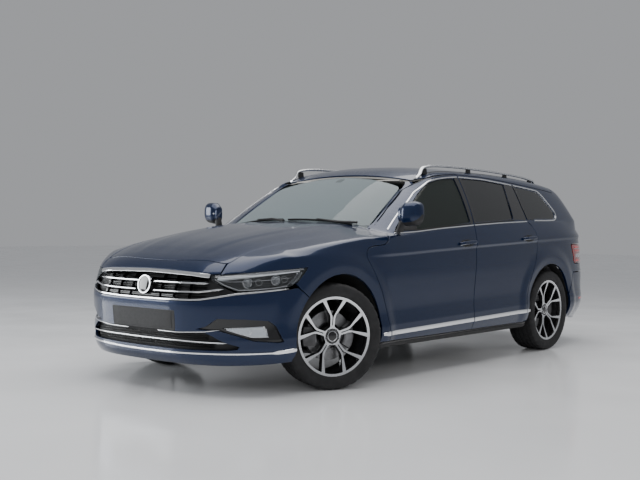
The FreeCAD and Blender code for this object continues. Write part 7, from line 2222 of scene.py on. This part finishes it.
for i, x in enumerate((225, 150)):
    V, Fc, M = revolve("c", [(40, 6), (44, 8), (46, 5), (46, -4), (38, -4), (37, -30), (0.01, -31)], None, 40)
    V = np.array(V) + np.array([x, 0, 548.0])
    o = new_mesh("cup_ring_%d" % i, V, Fc, [M_SATIN], M, sharp=40)
    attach(o, "body")
slab3("centre_armrest", (-60, 0, 600), 150, 92, 30, 0.0, M_SEAT, e=0.35)
slab3("inside_mirror", (372, 0, 1318), 9, 112, 30, -0.15, M_BLACK, e=0.5)
slab3("mirror_base", (432, 0, 1352), 30, 38, 20, 0.45, M_BLACK, e=0.6)
for s in (1, -1):
    P0 = np.array([(300.0, s * y, 1352.0) for y in np.linspace(120, 500, 14)])
    sweep("sun_visor_%s" % ("l" if s > 0 else "r"), P0, np.tile([0.2, 0, -1.0], (14, 1)), [(-70, -4), (-72, 4), (-50, 8), (60, 8), (74, 3), (72, -5)], [M_HEADL], "body", slot="trim")

# inner skins of the doors: armrest, pocket, pull
for side, sg in (("left", 1), ("right", -1)):
    for end, x0, x1 in (("front", 60, 760), ("rear", -800, -140)):
        bd = "%s_%s_door" % (side, end)
        xs = np.linspace(x0, x1, 40)
        Q, N, D = D_SIDE.at(np.stack([xs, np.full(40, 700.0)], 1))
        P = np.stack([xs, (Q[:, 1] - 100.0) * sg, np.full(40, 700.0) + 0.04 * (xs - x0)], 1)
        sc = [(float(0.5 + 0.5 * min(1, 8 * t, 8 * (1 - t))),) * 2 for t in np.linspace(0, 1, 40)]
        sweep("%s_%s_armrest" % (side, end), P, np.tile([0, -1.0 * sg, 0], (40, 1)), [(-34, -30), (-40, 0), (-30, 24), (0, 32), (26, 26), (34, 0), (30, -30)], [M_SEAT], bd, scale=sc, slot="trim")
        P2 = P + np.array([0, sg * 12.0, 120.0])
        sweep("%s_%s_door_strip" % (side, end), P2, np.tile([0, -1.0 * sg, 0], (40, 1)), bar(14, 5, base=-10), [M_SATIN], bd, slot="satin")
        P3 = P + np.array([0, sg * 8.0, -260.0])
        sweep("%s_%s_door_pocket" % (side, end), P3, np.tile([0, -1.0 * sg, 0], (40, 1)), [(-60, -18), (-64, 10), (-50, 22), (50, 22), (66, 16), (60, -18)], [M_TRIM], bd, scale=sc, slot="black")
        P4 = np.array([((x0 + x1) / 2 + dx + (120 if end == "front" else 80), (float(Q[20, 1]) - 92.0) * sg, 838.0) for dx in np.linspace(-45, 45, 10)])
        sweep("%s_%s_door_pull" % (side, end), P4, np.tile([0, -1.0 * sg, 0], (10, 1)), bar(20, 12, base=-6), [M_SATIN], bd, slot="satin")

# ---------------------------------------------------------------------------
# Underside, arches and the pieces carried over from the frame
# ---------------------------------------------------------------------------
def liner(name, cx, side, rep=None):
    """Half round liner in an arch, ribbed."""
    V, Fc = [], []
    ts = np.linspace(math.radians(-11), math.radians(191), 60)
    ys = [875, 868, 800, 700, 600, 520]
    for i, t in enumerate(ts):
        for k, y in enumerate(ys):
            r = LRAD - 9 + (1.6 if i % 4 < 2 else 0) - (0 if k else 0)
            Q = (cx + r * math.cos(t), y, 334 + r * math.sin(t))
            V.append(Q)
    m = len(ys)
    for i in range(len(ts) - 1):
        for k in range(m - 1):
            Fc.append((i * m + k, i * m + k + 1, (i + 1) * m + k + 1, (i + 1) * m + k))
    V = np.array(V)
    # stay inside the body
    f = F(V[:, 0], V[:, 1], V[:, 2])
    for _ in range(3):
        out = F(V[:, 0], V[:, 1], V[:, 2]) > -14
        V[:, 1] = np.where(out, V[:, 1] - 14, V[:, 1])
    o = new_mesh(name, V, Fc, [M_LINER], sharp=30)
    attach(o, "body")
    other_side(o, name.replace("left", "right"), "body")


liner("left_front_arch_liner", FXC, 1)
liner("left_rear_arch_liner", RXC, 1)
# flat trays under the floor
for i, (x0, x1, y0, y1, z) in enumerate(((960, 2150, -500, 500, 196), (-860, 900, 150, 700, 199), (-860, 900, -700, -150, 199))):
    V, Fc = [], []
    nx, ny = 40, 16
    for a in range(nx + 1):
        for b in range(ny + 1):
            x, y = x0 + (x1 - x0) * a / nx, y0 + (y1 - y0) * b / ny
            edge = min(a, nx - a, b, ny - b)
            V.append((x, y, z + (7 if edge == 0 else 0) - (3.5 if (b % 4 == 2 and 0 < a < nx) else 0)))
    for a in range(nx):
        for b in range(ny):
            k = a * (ny + 1) + b
            Fc.append((k, k + ny + 1, k + ny + 2, k + 1))
    o = new_mesh("under_tray_%d" % i, V, [q[::-1] for q in Fc], [M_UNDER], sharp=20)
    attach(o, "body")

KEEP = {"floor_pan": M_CARPET, "firewall": M_TRIM, "front_wheelhouses": M_LINER, "boot_floor": M_CARPET, "engine": M_IRON, "radiator": M_BLACK,
        "front_suspension": M_IRON, "rear_suspension": M_IRON, "exhaust": M_EXH, "fuel_tank": M_UNDER, "left_front_knuckle": M_IRON, "right_front_knuckle": M_IRON,
        "dashboard": M_TRIM}
for o in list(bpy.data.objects):
    if "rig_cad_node" in o and o.type == "MESH":
        nm = o["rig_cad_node"] if isinstance(o["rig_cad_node"], str) else o.name
        m_ = KEEP.get(nm) or KEEP.get(o.name)
        if m_ is not None:
            for i in range(max(1, len(o.data.materials))):
                if len(o.data.materials) == 0:
                    o.data.materials.append(m_)
                else:
                    o.data.materials[i] = m_

# ---------------------------------------------------------------------------
bpy.context.view_layer.update()
